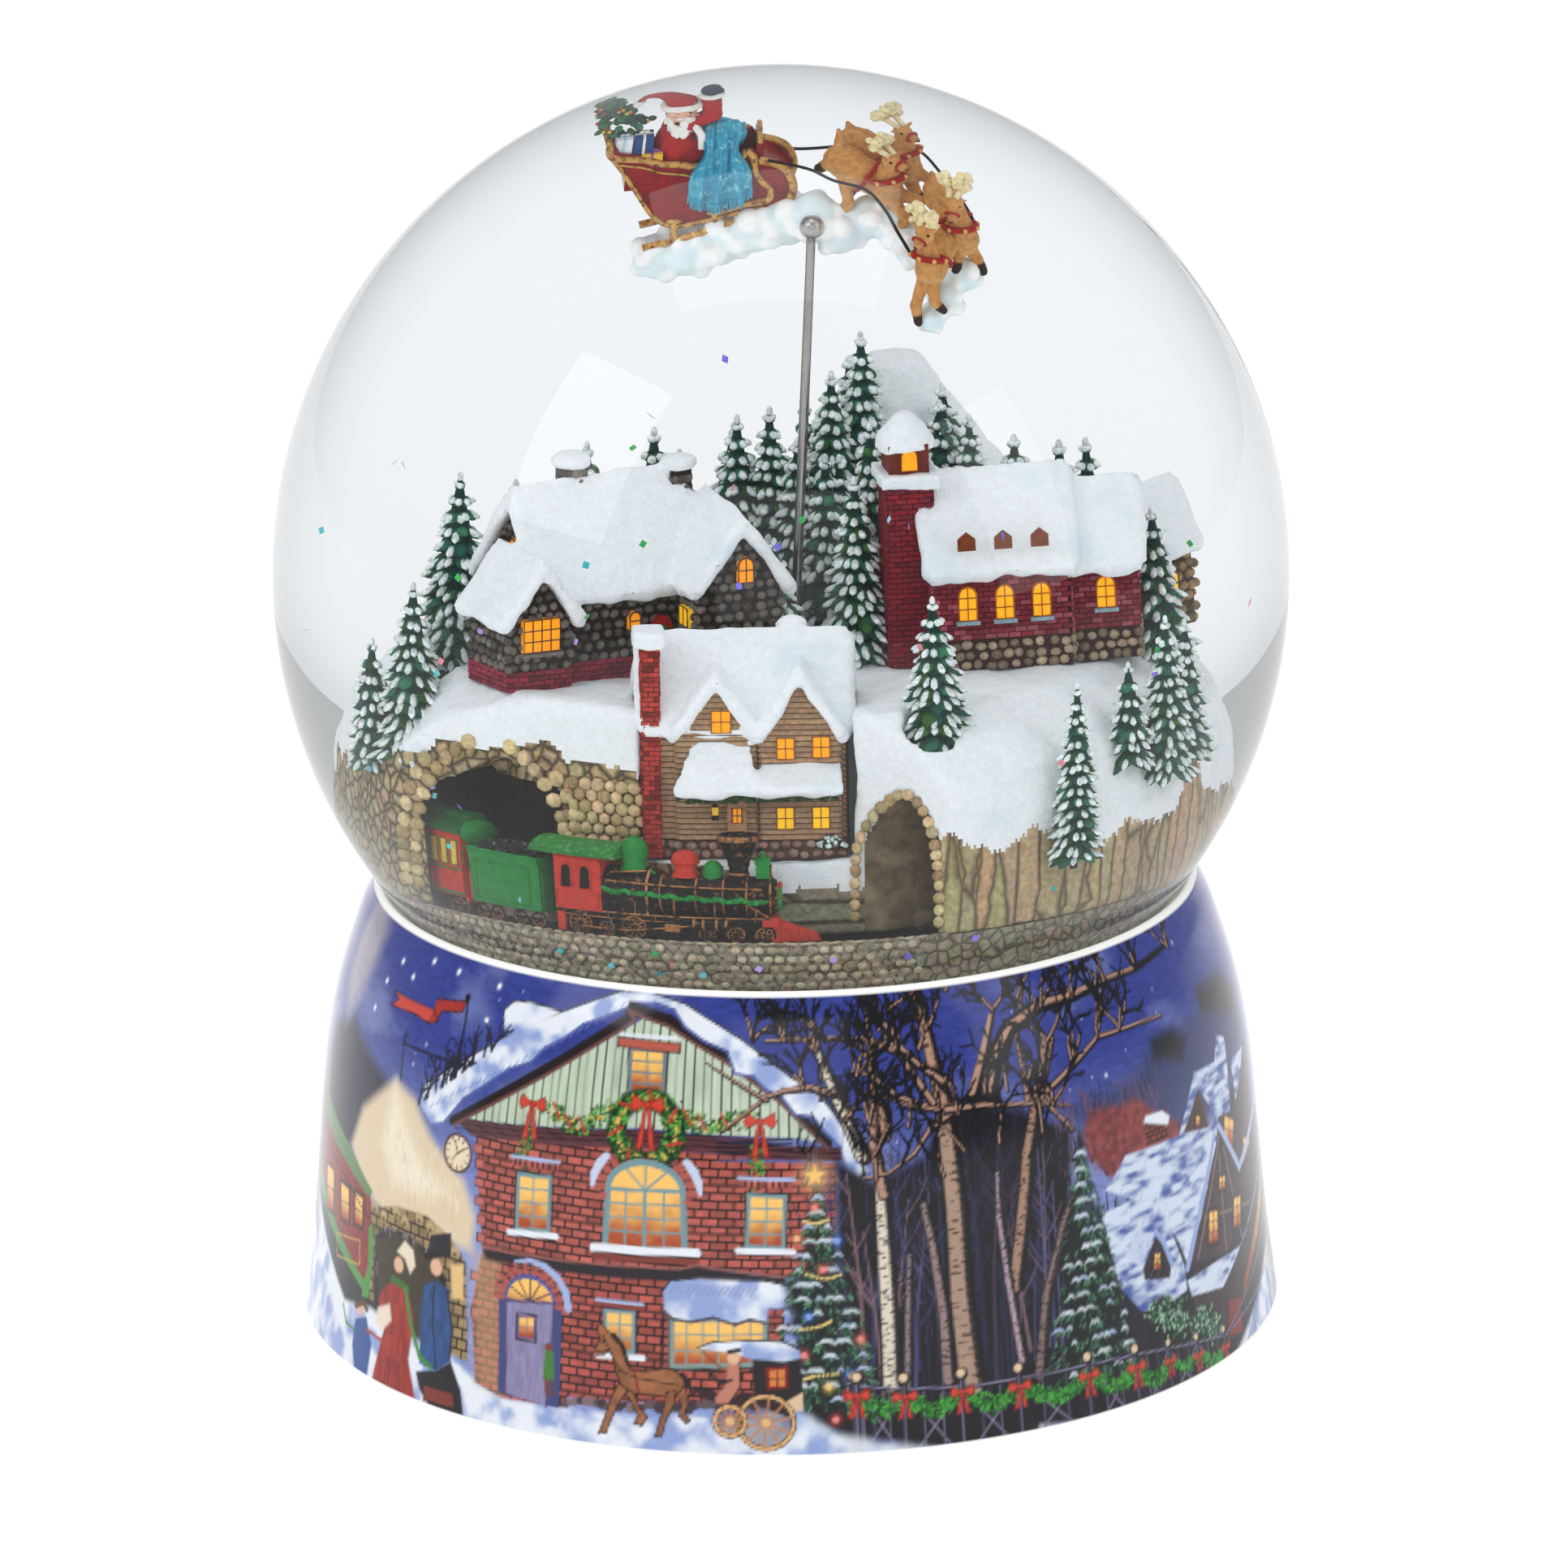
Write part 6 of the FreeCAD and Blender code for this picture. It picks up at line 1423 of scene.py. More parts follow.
def paint_scene(pic):
    """Paints the whole print and returns the far side's dusk on its own."""
    rand = random.Random(7)
    paint_sky(pic, rand)
    paint_far_side(pic, rand)
    dusk = pic.colour.copy()
    paint_smoke_and_viaduct(pic, rand)
    paint_coach(pic)
    paint_station_walls(pic)
    paint_station_roof(pic)
    paint_gable(pic)
    paint_upper_windows(pic)
    paint_door(pic)
    paint_shop_front(pic, rand)
    paint_clock_and_pennant(pic, rand)
    paint_travellers(pic)
    paint_trees(pic, rand)
    paint_hill(pic, rand)
    paint_cottages(pic, rand)
    paint_firs(pic)
    paint_carriage(pic)
    paint_railing(pic)
    return dusk


# (radius, z): foot of the ring below the print, and the lip and inside above it
FOOT = [(54.5, 1.0), (57.55, 1.0), (58.2, 1.25), (58.6, 1.8)]
INSIDE = [(48.95, 54.85), (48.7, 55.15), (48.4, 55.28), (48.15, 55.2), (47.4, 54.35),
          (46.4, 52.9), (45, 51.2), (43.4, 49.4), (42.3, 47.8), (42.3, 40), (33, 40),
          (33, 36.5), (49.8, 36.5), (51, 33), (52.4, 24), (53.4, 15), (54.3, 8), (54.3, 1)]


def ceramic_base():
    outer = np.array(smooth_path(PROFILE, 12))
    run = np.r_[0, np.cumsum(np.hypot(*np.diff(outer, axis=0).T))]
    even = np.linspace(0, run[-1], int(run[-1] / 0.25) + 1)
    print_r, print_z = np.interp(even, run, outer[:, 0]), np.interp(even, run, outer[:, 1])
    # degrees round from the front, finer over the street
    around = np.r_[np.arange(-180.0, -96.0, 0.6), np.arange(-96.0, 96.0, 0.25),
                   np.arange(96.0, 180.0, 0.6)]
    across, height = np.meshgrid(np.radians(around) * PRINT_RADIUS, print_z, indexing="ij")
    pic = Picture(across, height)
    dusk = paint_scene(pic)
    # the street fades into the far side's dusk at each side
    fade = (sstep(np.abs(across), 75.0, 84.6) * (np.abs(across) < 85.4))[..., None]
    printed = np.clip(pic.colour * (1 - fade) + dusk * fade, 0, 1) ** 1.14 * 0.81
    # bare glaze at both edges of the print
    glaze_white = rgb("f4f3f0")
    bare = np.maximum(sstep(height, 54.62, 54.76), 1 - sstep(height, 2.75, 2.95))
    printed = lerp(printed, glaze_white, bare)

    radii = np.r_[[r for r, _ in FOOT], print_r, [r for r, _ in INSIDE]]
    heights = np.r_[[z for _, z in FOOT], print_z, [z for _, z in INSIDE]]
    a = np.radians(around) - math.pi / 2
    n, m = len(around), len(radii)
    points = np.stack([np.outer(np.cos(a), radii), np.outer(np.sin(a), radii),
                       np.broadcast_to(heights, (n, m))], 2)
    colours = np.broadcast_to(glaze_white, (n, m, 3)).copy()
    colours[:, len(FOOT):len(FOOT) + len(print_r)] = printed
    i, j = np.meshgrid(np.arange(n), np.arange(m - 1), indexing="ij")
    i2 = (i + 1) % n
    quads = np.stack([i * m + j, i2 * m + j, i2 * m + j + 1, i * m + j + 1], 2).reshape(-1, 4)
    row = np.arange(n) * m
    following = ((np.arange(n) + 1) % n) * m
    closing = np.stack([row + m - 1, following + m - 1, following, row], 1)
    quads = np.r_[quads, closing]
    mesh = bpy.data.meshes.new("ceramic_base_glazed")
    mesh.vertices.add(n * m)
    mesh.vertices.foreach_set("co", (points.reshape(-1, 3) * MM).ravel())
    mesh.loops.add(len(quads) * 4)
    mesh.loops.foreach_set("vertex_index", quads.ravel())
    mesh.polygons.add(len(quads))
    mesh.polygons.foreach_set("loop_start", np.arange(len(quads)) * 4)
    mesh.polygons.foreach_set("loop_total", np.full(len(quads), 4))
    mesh.update(calc_edges=True)
    set_colours(mesh, colours.reshape(-1, 3))
    glaze = material("glazed_print", rough=0.14, rough_vary=0.04, vary=0.03, grain=3000.0,
                     bump=0.02, bump_scale=120.0, coat=0.14)
    shader = glaze.node_tree.nodes["Principled BSDF"]
    shader.inputs["Specular IOR Level"].default_value = 0.22
    place_mesh(mesh, "ceramic_base_glazed", "base", [glaze], ["ceramic_base"])


ceramic_base()


# ------------------------------------------------------------------ village
def varied(col, amount=0.12):
    """The colour made a little lighter or darker, and its channels a little uneven."""
    k = 1 + dice.uniform(-amount, amount)
    return tuple(max(0.0, c * k * (1 + dice.uniform(-amount, amount) * 0.35)) for c in col)


def wall_pose(place, normal, turn=0.0, scale=(1, 1, 1)):
    """A pose whose third axis leaves the wall along the normal."""
    n = Vector(normal).normalized()
    u = Vector((0, 0, 1)).cross(n)
    u = u.normalized() if u.length > 1e-3 else Vector((1, 0, 0))
    v = n.cross(u)
    pose = Matrix(((u.x, v.x, n.x, place[0]), (u.y, v.y, n.y, place[1]),
                   (u.z, v.z, n.z, place[2]), (0, 0, 0, 1)))
    return pose @ Matrix.Rotation(turn, 4, "Z") @ Matrix.Diagonal((*scale, 1))


PEBBLE = bead(0, 0, 0, 1, 7, 4)


def stone(kit, place, normal, width, height, col, lift=0.35):
    kit.add(PEBBLE, varied(col, 0.2), 0,
            wall_pose(place, normal, dice.uniform(-0.3, 0.3), (width / 2, height / 2, lift)), True)


def either(common, rare, chance):
    """Mostly the first colour, and the second with the given chance."""
    return common if dice.random() > chance else rare


def in_poly(x, y, poly):
    inside = False
    (x0, y0) = poly[-1]
    for x1, y1 in poly:
        if (y1 > y) != (y0 > y) and x < (x0 - x1) * (y - y1) / (y0 - y1) + x1:
            inside = not inside
        x0, y0 = x1, y1
    return inside


class Block:
    """One gabled house block: width across, length along its ridge, heights and place."""

    def __init__(self, width, length, foot, eave, ridge, x, y, turn):
        self.half, self.reach = width / 2, length / 2
        self.foot, self.eave, self.ridge = foot, eave, ridge
        self.pose = at(x, y, 0, turn)

    def gable(self, inset=0.0):
        w = self.half - inset
        return [(-w, self.foot), (w, self.foot), (w, self.eave), (0, self.ridge - inset),
                (-w, self.eave)]

    def faces(self):
        """Outline and pose of each wall; in the pose x runs along the wall, -y outward."""
        w, reach = self.half, self.reach
        side = [(-reach, self.foot), (reach, self.foot), (reach, self.eave), (-reach, self.eave)]
        return {"front": (self.gable(), self.pose @ shift(0, -reach, 0)),
                "back": (self.gable(), self.pose @ shift(0, reach, 0) @ spin(180)),
                "right": (side, self.pose @ shift(w, 0, 0) @ spin(90)),
                "left": (side, self.pose @ shift(-w, 0, 0) @ spin(-90))}

    def wall(self, name):
        return self.faces()[name][1]

    def core(self, kit, col, inset=0.12):
        reach = self.reach - inset
        kit.add(prism(self.gable(inset), -reach, reach, "y"), col, 0, self.pose)

    def roof(self, snow, thick, over, ends):
        """Snow of a thickness, standing over the eaves and past the gable ends."""
        lift = 0.1
        w, reach = self.half, self.reach + ends
        rise = self.ridge - self.eave
        slope = math.hypot(w, rise)
        nx, nz = rise / slope, w / slope
        ex, ez = w + over * w / slope, self.eave - over * rise / slope
        for s in (-1, 1):
            outline = [(0, self.ridge + lift), (s * ex, ez + lift),
                       (s * (ex + nx * thick * 0.7), ez + nz * thick * 0.7 + lift),
                       (0, self.ridge + thick + lift)]
            snow.add(prism(outline if s > 0 else outline[::-1], -reach, reach, "y"),
                     pose=self.pose)
            edge = (s * (ex + 0.1), ez + 0.45 + lift)
            snow.add(tube([(edge[0], -reach, edge[1]), (edge[0], reach, edge[1])], thick * 0.42),
                     pose=self.pose)
        for e in (-1, 1):
            for s in (-1, 1):
                snow.add(tube([(0, e * reach, self.ridge + 0.5 + lift),
                               (s * ex, e * reach, ez + 0.6 + lift)], thick * 0.42),
                         pose=self.pose)


def clad_boards(kit, poly, pose, col, x0, x1, z, top):
    while z < top - 0.1:
        steps = [x0 + (x1 - x0) * i / 60 for i in range(61)]
        inside = [x for x in steps if in_poly(min(max(x, x0 + 0.01), x1 - 0.01), z + 0.25, poly)]
        if inside:
            a, b = min(inside), max(inside)
            board = [(-0.02, z), (-0.3, z + 0.04), (-0.1, z + 0.5), (-0.02, z + 0.5)]
            kit.add(prism(board, a, b, "x"), varied(col, 0.12), 0, pose)
            gap = [(-0.02, z - 0.07), (-0.24, z - 0.07), (-0.31, z + 0.03), (-0.02, z + 0.03)]
            kit.add(prism(gap, a, b, "x"), 0.28 * col, 0, pose)
        z += 0.56


def clad(kit, face, kind, cols, z_from=-1e9, z_to=1e9):
    """Bricks, boards or cobbles over one wall face between two heights."""
    poly, pose = face
    xs, zs = [p[0] for p in poly], [p[1] for p in poly]
    x0, x1 = min(xs), max(xs)
    z, top = max(min(zs), z_from), min(max(zs), z_to)
    if kind == "board":
        clad_boards(kit, poly, pose, cols[0], x0, x1, z, top)
        return
    high, wide = (0.5, 1.15) if kind == "brick" else (0.95, 1.15)
    row = 0
    while z < top - 0.1:
        x = x0 + (0 if row % 2 else wide / 2)
        while x < x1 + 0.2:
            zc = z + high / 2
            if in_poly(min(max(x, x0 + 0.05), x1 - 0.05), zc, poly):
                if kind == "brick":
                    col = varied(either(*cols, 0.3), 0.18)
                    proud = 0.16 + dice.uniform(-0.04, 0.06)
                    kit.add(box(max(x0, x - wide / 2 + 0.05), min(x1, x + wide / 2 - 0.05),
                                -proud, 0.05, zc - high / 2 + 0.05, zc + high / 2 - 0.04),
                            col, 0, pose)
                else:
                    place = pose @ Vector((x + dice.uniform(-0.18, 0.18), 0,
                                           zc + dice.uniform(-0.14, 0.14)))
                    stone(kit, place, pose.to_3x3() @ Vector((0, -1, 0)),
                          wide * dice.uniform(0.78, 1.05), high * dice.uniform(0.8, 1.06),
                          either(*cols, 0.35), 0.36)
            x += wide * (dice.uniform(0.9, 1.1) if kind == "cobble" else 1.0)
        z += high
        row += 1


PAINTED_GLOW_SLOT = 1    # material slot of windows and the lantern, which have painted glow


def window(kit, pose, x, z, w, h, col, bars=(1, 1), arch=False, trim=(0.10, 0.05, 0.03),
           sill=None, out=0.34):
    """A window with painted glow, standing a little proud of the wall; bars are (upright, level)."""
    pts = [(x - w / 2, z - h / 2), (x + w / 2, z - h / 2)]
    if arch:
        pts += oval(x, z + h / 2 - w / 2, w / 2, w / 2, angles(8))
    else:
        pts += [(x + w / 2, z + h / 2), (x - w / 2, z + h / 2)]
    kit.add(prism(pts, -out, 0.1, "y"), col, PAINTED_GLOW_SLOT, pose)
    kit.add(tube([(a, -out - 0.02, b) for a, b in pts], 0.096, 4, closed=True), trim, 0, pose)
    bar_col = tuple(c * 0.8 for c in trim)
    for i in range(bars[0]):
        bx = x - w / 2 + w * (i + 1) / (bars[0] + 1)
        kit.add(box(bx - 0.05, bx + 0.05, -out - 0.07, -out, z - h / 2, z + h / 2), bar_col, 0,
                pose)
    for i in range(bars[1]):
        bz = z - h / 2 + h * (i + 1) / (bars[1] + 1)
        kit.add(box(x - w / 2, x + w / 2, -out - 0.07, -out, bz - 0.05, bz + 0.05), bar_col, 0,
                pose)
    if sill is not None:
        kit.add(box(x - w / 2 - 0.25, x + w / 2 + 0.25, -out - 0.3, 0, z - h / 2 - 0.42,
                    z - h / 2 - 0.08), sill, 0, pose)


SNOW = wet("snow_paint", (0.87, 0.905, 0.93), rough=0.55, vary=0.045, grain=1500, bump=0.75,
           bump_scale=3800, patch=((0.70, 0.82, 0.88), 160, 0.56, 0.78))
CAST = wet("cast_paint", rough=0.6, vary=0.28, grain=1900, bump=0.5, bump_scale=4200)
PINE = wet("pine_paint", rough=0.5, vary=0.35, grain=2600, bump=0.9, bump_scale=5200)
# painted glow: emission on windows and the lantern, which hold no lamp
GLOW = wet("lit_window_paint", rough=0.35, vary=0.10, grain=1100, bump=0.15, glow=0.42)
COBBLE = cell_rock("tan_cobble_paint", rgb("d0bc92"), rgb("a8926a"), rgb("3a2e1e"),
                   scale=620, bump=0.9)
STRATA = cell_rock("tan_strata_paint", rgb("d2bd93"), rgb("ab9670"), rgb("60503a"),
                   scale=420, bump=0.8, stretch=(1.0, 1.0, 0.16), edge=0.035)
LAYER = cell_rock("layered_rock_paint", rgb("b0a38c"), rgb("83765f"), rgb("41372a"),
                  scale=300, bump=0.9, stretch=(0.28, 0.28, 1.6))
TUNNEL = wet("tunnel_paint", rgb("6e5f48"), rough=0.7, vary=0.35, grain=700, bump=0.8,
             bump_scale=1500, patch=(rgb("a8997c"), 300, 0.5, 0.8))
# painted shade: near black for the dark deep inside the tunnel
TUNNEL_SHADE = wet("deep_tunnel_paint", rgb("15100b"), rough=0.7, vary=0.35, grain=700, bump=0.6,
           bump_scale=1500)

AMBER, YELLOW = rgb("ff9c12"), rgb("ffc21e")
AMBER_YELLOW = lerp(AMBER, YELLOW, 0.5)
TAN, TAN_DARK = rgb("cfb88c"), rgb("aa936b")
# ends of the two tunnel walls, (x, y)
LEFT_WALL = np.array([-37.6, -10.5]), np.array([-15.6, -24.3])
RIGHT_WALL = np.array([6.5, -28.0]), np.array([17.5, -34.7])


def on_wall(wall, x):
    a, b = wall
    return a[1] + (b[1] - a[1]) * (x - a[0]) / (b[0] - a[0])


def in_front(p):
    """True in front of the open stretch where the train shows."""
    line = [(-37.6, -10.5), (-15.6, -24.3), (-10, -27), (-5, -28.3), (0, -28.7), (6.5, -28),
            (17.5, -34.7)]
    x = p[:, 0]
    y = np.interp(x, [a for a, _ in line], [b for _, b in line])
    return (x > -37.6) & (x < 17.5) & (p[:, 1] < y + 0.9)


def village_ground():
    """The casting with a roughened skin, painted as snow, rock and tunnel."""
    source = bpy.data.objects["village_casting"]
    mesh = source.data.copy()
    mesh.transform(source.matrix_world)
    mesh = remeshed(mesh, 0.42, "village_ground", 3)
    p, n = coords_of(mesh), normals_of(mesh)
    r = np.hypot(p[:, 0], p[:, 1])
    azimuth = np.degrees(np.arctan2(p[:, 1], p[:, 0]))
    soft = vnoise(p, 6.0, 3, 3) - 0.5
    fine = vnoise(p, 1.1, 8, 2) - 0.5
    inner = (r < 36.75) & (r > 29.0) & (p[:, 2] < 76.0) & (n[:, 2] < 0.5)
    swell = np.where(inner, 0.25, 1.1)
    swell = np.where(p[:, 2] < 62.3, 0.1, swell)
    set_coords(mesh, p + n * (soft * swell + fine * 0.28)[:, None])
    n = normals_of(mesh)
    # snow line by azimuth
    snow_line = np.interp(
        azimuth,
        [-180, -150, -125, -112, -108, -100, -70, -64, -56, -48, -38, -28, -18, -8, 0, 20, 60,
         120, 180],
        [74, 80.4, 78.5, 77.4, 77.0, 67.0, 66.6, 72.5, 70.8, 71.5, 68.0, 71.0, 69.0, 72.5, 71,
         70, 72, 71, 74])
    wobble = (vnoise(p[:, :2], 3.2, 21, 2) - 0.5) * 5.0 + (vnoise(p, 1.4, 5, 2) - 0.5) * 1.6
    wobble *= np.where((azimuth > -105) & (azimuth < -66), 0.35, 0.8)
    snow = (p[:, 2] > snow_line + wobble) | (n[:, 2] > 0.62)
    snow_slot, cobble, strata, layer, tunnel_slot, dark = range(6)
    kind = np.full(len(p), strata)
    kind[(azimuth < -104) | (azimuth > 150)] = cobble
    kind[(r < 30.5) & (azimuth > -105) & (azimuth < -60)] = layer    # wall behind the engine
    kind[(r < 31) & (p[:, 0] > 6) & (p[:, 1] < -20) & (p[:, 2] > 70)] = cobble
    kind[snow] = snow_slot
    tunnel = (r > 29.0) & (r < 36.9) & (p[:, 2] < 76.2) & ~in_front(p)
    tunnel &= (np.abs(r - 29.2) < 1.2) | (n[:, 2] < -0.1) | (np.abs(r - 36.6) < 1.0)
    kind[tunnel] = tunnel_slot
    # painted shade: the tunnel's left half near black, deep in shade
    kind[tunnel & (p[:, 0] < 0)] = dark
    kind[(p[:, 2] < 61.9) & (r > 36)] = strata
    place_mesh(mesh, "village_ground", "base",
               [SNOW, COBBLE, STRATA, LAYER, TUNNEL, TUNNEL_SHADE], ("village_casting",))
    corners = np.empty(len(mesh.loops), dtype=np.int64)
    mesh.loops.foreach_get("vertex_index", corners)
    starts = np.empty(len(mesh.polygons), dtype=np.int64)
    mesh.polygons.foreach_get("loop_start", starts)
    mesh.polygons.foreach_set("material_index", kind[corners[starts]].astype(np.int32))
    mesh.update()


def rim_stones(kit, wall, curve, rings, size):
    """Stones round a tunnel mouth, along an (x, z) curve on the wall."""
    d = (wall[1] - wall[0]) / np.linalg.norm(wall[1] - wall[0])
    normal = np.array([d[1], -d[0]])
    normal = normal if normal[1] < 0 else -normal
    path = [np.array(p) for p in smooth_path(curve, 10)]
    run = 0.0
    for last, spot in zip(path, path[1:]):
        step = np.linalg.norm(spot - last)
        run += step
        t = (spot - last) / max(1e-6, step)
        if run < size * 0.82:
            continue
        run = 0.0
        for k in range(rings):
            x, z = spot[0] - t[1] * k * size * 0.9, spot[1] + t[0] * k * size * 0.9
            y = on_wall(wall, x)
            if z > (79.4 if k == 0 else 77.8):
                continue
            w, h = size * dice.uniform(1.0, 1.4), size * dice.uniform(0.95, 1.3)
            if z < 73.0 and math.hypot(x, y) < 31.0:      # clear of the running train
                w = min(w, 1.45)
            stone(kit, (x + normal[0] * 0.15, y + normal[1] * 0.15, z), (*normal, 0), w, h,
                  either(TAN, TAN_DARK, 0.4), size * 0.24)


def arch_stones():
    """Rims of the two tunnel mouths and the retaining wall by the house."""
    kit = Kit()
    rim_stones(kit, LEFT_WALL, [(-36, 62.4), (-35.6, 69), (-34.2, 74.5), (-31.4, 78.4),
                                (-28.2, 79.9), (-25, 78.4), (-22, 74), (-21, 68),
                                (-20.8, 62.4)], 2, 1.45)
    rim_stones(kit, RIGHT_WALL, [(6.95, 62.2), (7.05, 68), (7.25, 70.8), (8.5, 73.7),
                                 (10.6, 76), (12.2, 76.8), (13.8, 75.6), (15.2, 72.4),
                                 (15.9, 67), (16, 62.2)], 1, 1.25)
    for i in range(9):
        for j in range(14):
            x = -21.0 + i * 1.15 + (0.55 if j % 2 else 0)
            z = 62.0 + j * 1.12
            if x > -13.6 or z > 77.2:
                continue
            y = on_wall(LEFT_WALL, x) if x < -15.6 else -24.3 + (x + 15.6) * -0.48
            stone(kit, (x, y - 0.15, z), (-0.5, -0.86, 0), 1.5 * dice.uniform(0.8, 1.15),
                  1.35 * dice.uniform(0.8, 1.15), either(TAN, TAN_DARK, 0.4), 0.34)
    kit.make("arch_stones", "base", "stone_resin", [CAST])


def stone_house(roofs):
    kit = Kit()
    light, dark, mortar = rgb("6f6860"), rgb("4e473f"), rgb("251f1a")
    main = Block(12.0, 16.0, 84.5, 92.8, 101.0, -17.2, -4.6, -67.0)
    left = Block(7.0, 7.4, 84.5, 91.5, 96.0, -24.6, -12.2, 23.0)
    wing = Block(8.0, 9.0, 84.5, 93.4, 99.4, -5.2, -7.8, 18.0)
    for block in (main, left, wing):
        block.core(kit, mortar)
        for face in block.faces().values():
            clad(kit, face, "cobble", (light, dark), 86.4)
            clad(kit, face, "brick", (rgb("8c2338"), rgb("6d1a2b")), 84.4, 86.5)
        block.roof(roofs, 1.6, 1.0, 0.8)
    side = main.wall("right")
    window(kit, left.wall("front"), 0.0, 90.0, 4.0, 3.2, AMBER, (3, 2), sill=light, out=0.6)
    window(kit, side, 1.2, 89.9, 1.1, 1.7, AMBER, (0, 1), arch=True, out=0.6)
    # round-headed door with its wreath and steps
    kit.add(prism([(3.0, 86.3), (4.9, 86.3)] + oval(3.95, 89.2, 0.95, 0.95, angles(8)),
                  -0.7, 0.1, "y"), rgb("a01818"), 0, side)
    for x, z in oval(3.95, 88.6, 0.48, 0.48, angles(14, TURN)[:-1]):
        kit.add(bead(x, -0.75, z, 0.2), varied(rgb("2f5a2a"), 0.3), 0, side, True)
    for i in range(4):
        kit.add(box(2.7, 5.2, -1.2 - 0.5 * i, 0, 86.3 - 0.45 * (i + 1), 86.3 - 0.45 * i),
                rgb("b9b8ae"), 0, side)
    window(kit, main.wall("front"), 0.4, 96.2, 1.5, 2.4, AMBER, (0, 1), arch=True, out=0.6)
    window(kit, wing.wall("front"), 0.4, 95.2, 1.5, 2.4, AMBER, (1, 1), arch=True, out=0.6)
    window(kit, wing.wall("left"), 1.6, 90.4, 2.2, 1.8, YELLOW, (1, 0), out=0.6)
    # chimneys: x, y, foot, radius, height
    for x, y, z, r, h in ((-19.1, -4.3, 95.6, 1.5, 7.6), (-9.2, -1.6, 94.0, 1.3, 8.0)):
        core = r * 0.75
        kit.add(box(-core, core, -core, core, z, z + h), mortar, 0, at(x, y, 0, 20))
        for i in range(int(h / 0.95)):
            for degrees in range(0, 360, 45):
                a = math.radians(degrees + 22 * i)
                stone(kit, (x + r * 0.8 * math.cos(a), y + r * 0.8 * math.sin(a),
                            z + 0.5 + i * 0.95), (math.cos(a), math.sin(a), 0), 1.2, 0.95,
                      either(light, dark, 0.4), 0.35)
        roofs.add(ball(x, y, z + h + 0.6, r * 1.35, r * 1.15, 0.85))
    kit.make("stone_house_detailed", "base", "stone_resin", [CAST, GLOW], ("stone_house",))


def panel(width, z0, z1):
    return [(-width / 2, z0), (width / 2, z0), (width / 2, z1), (-width / 2, z1)]


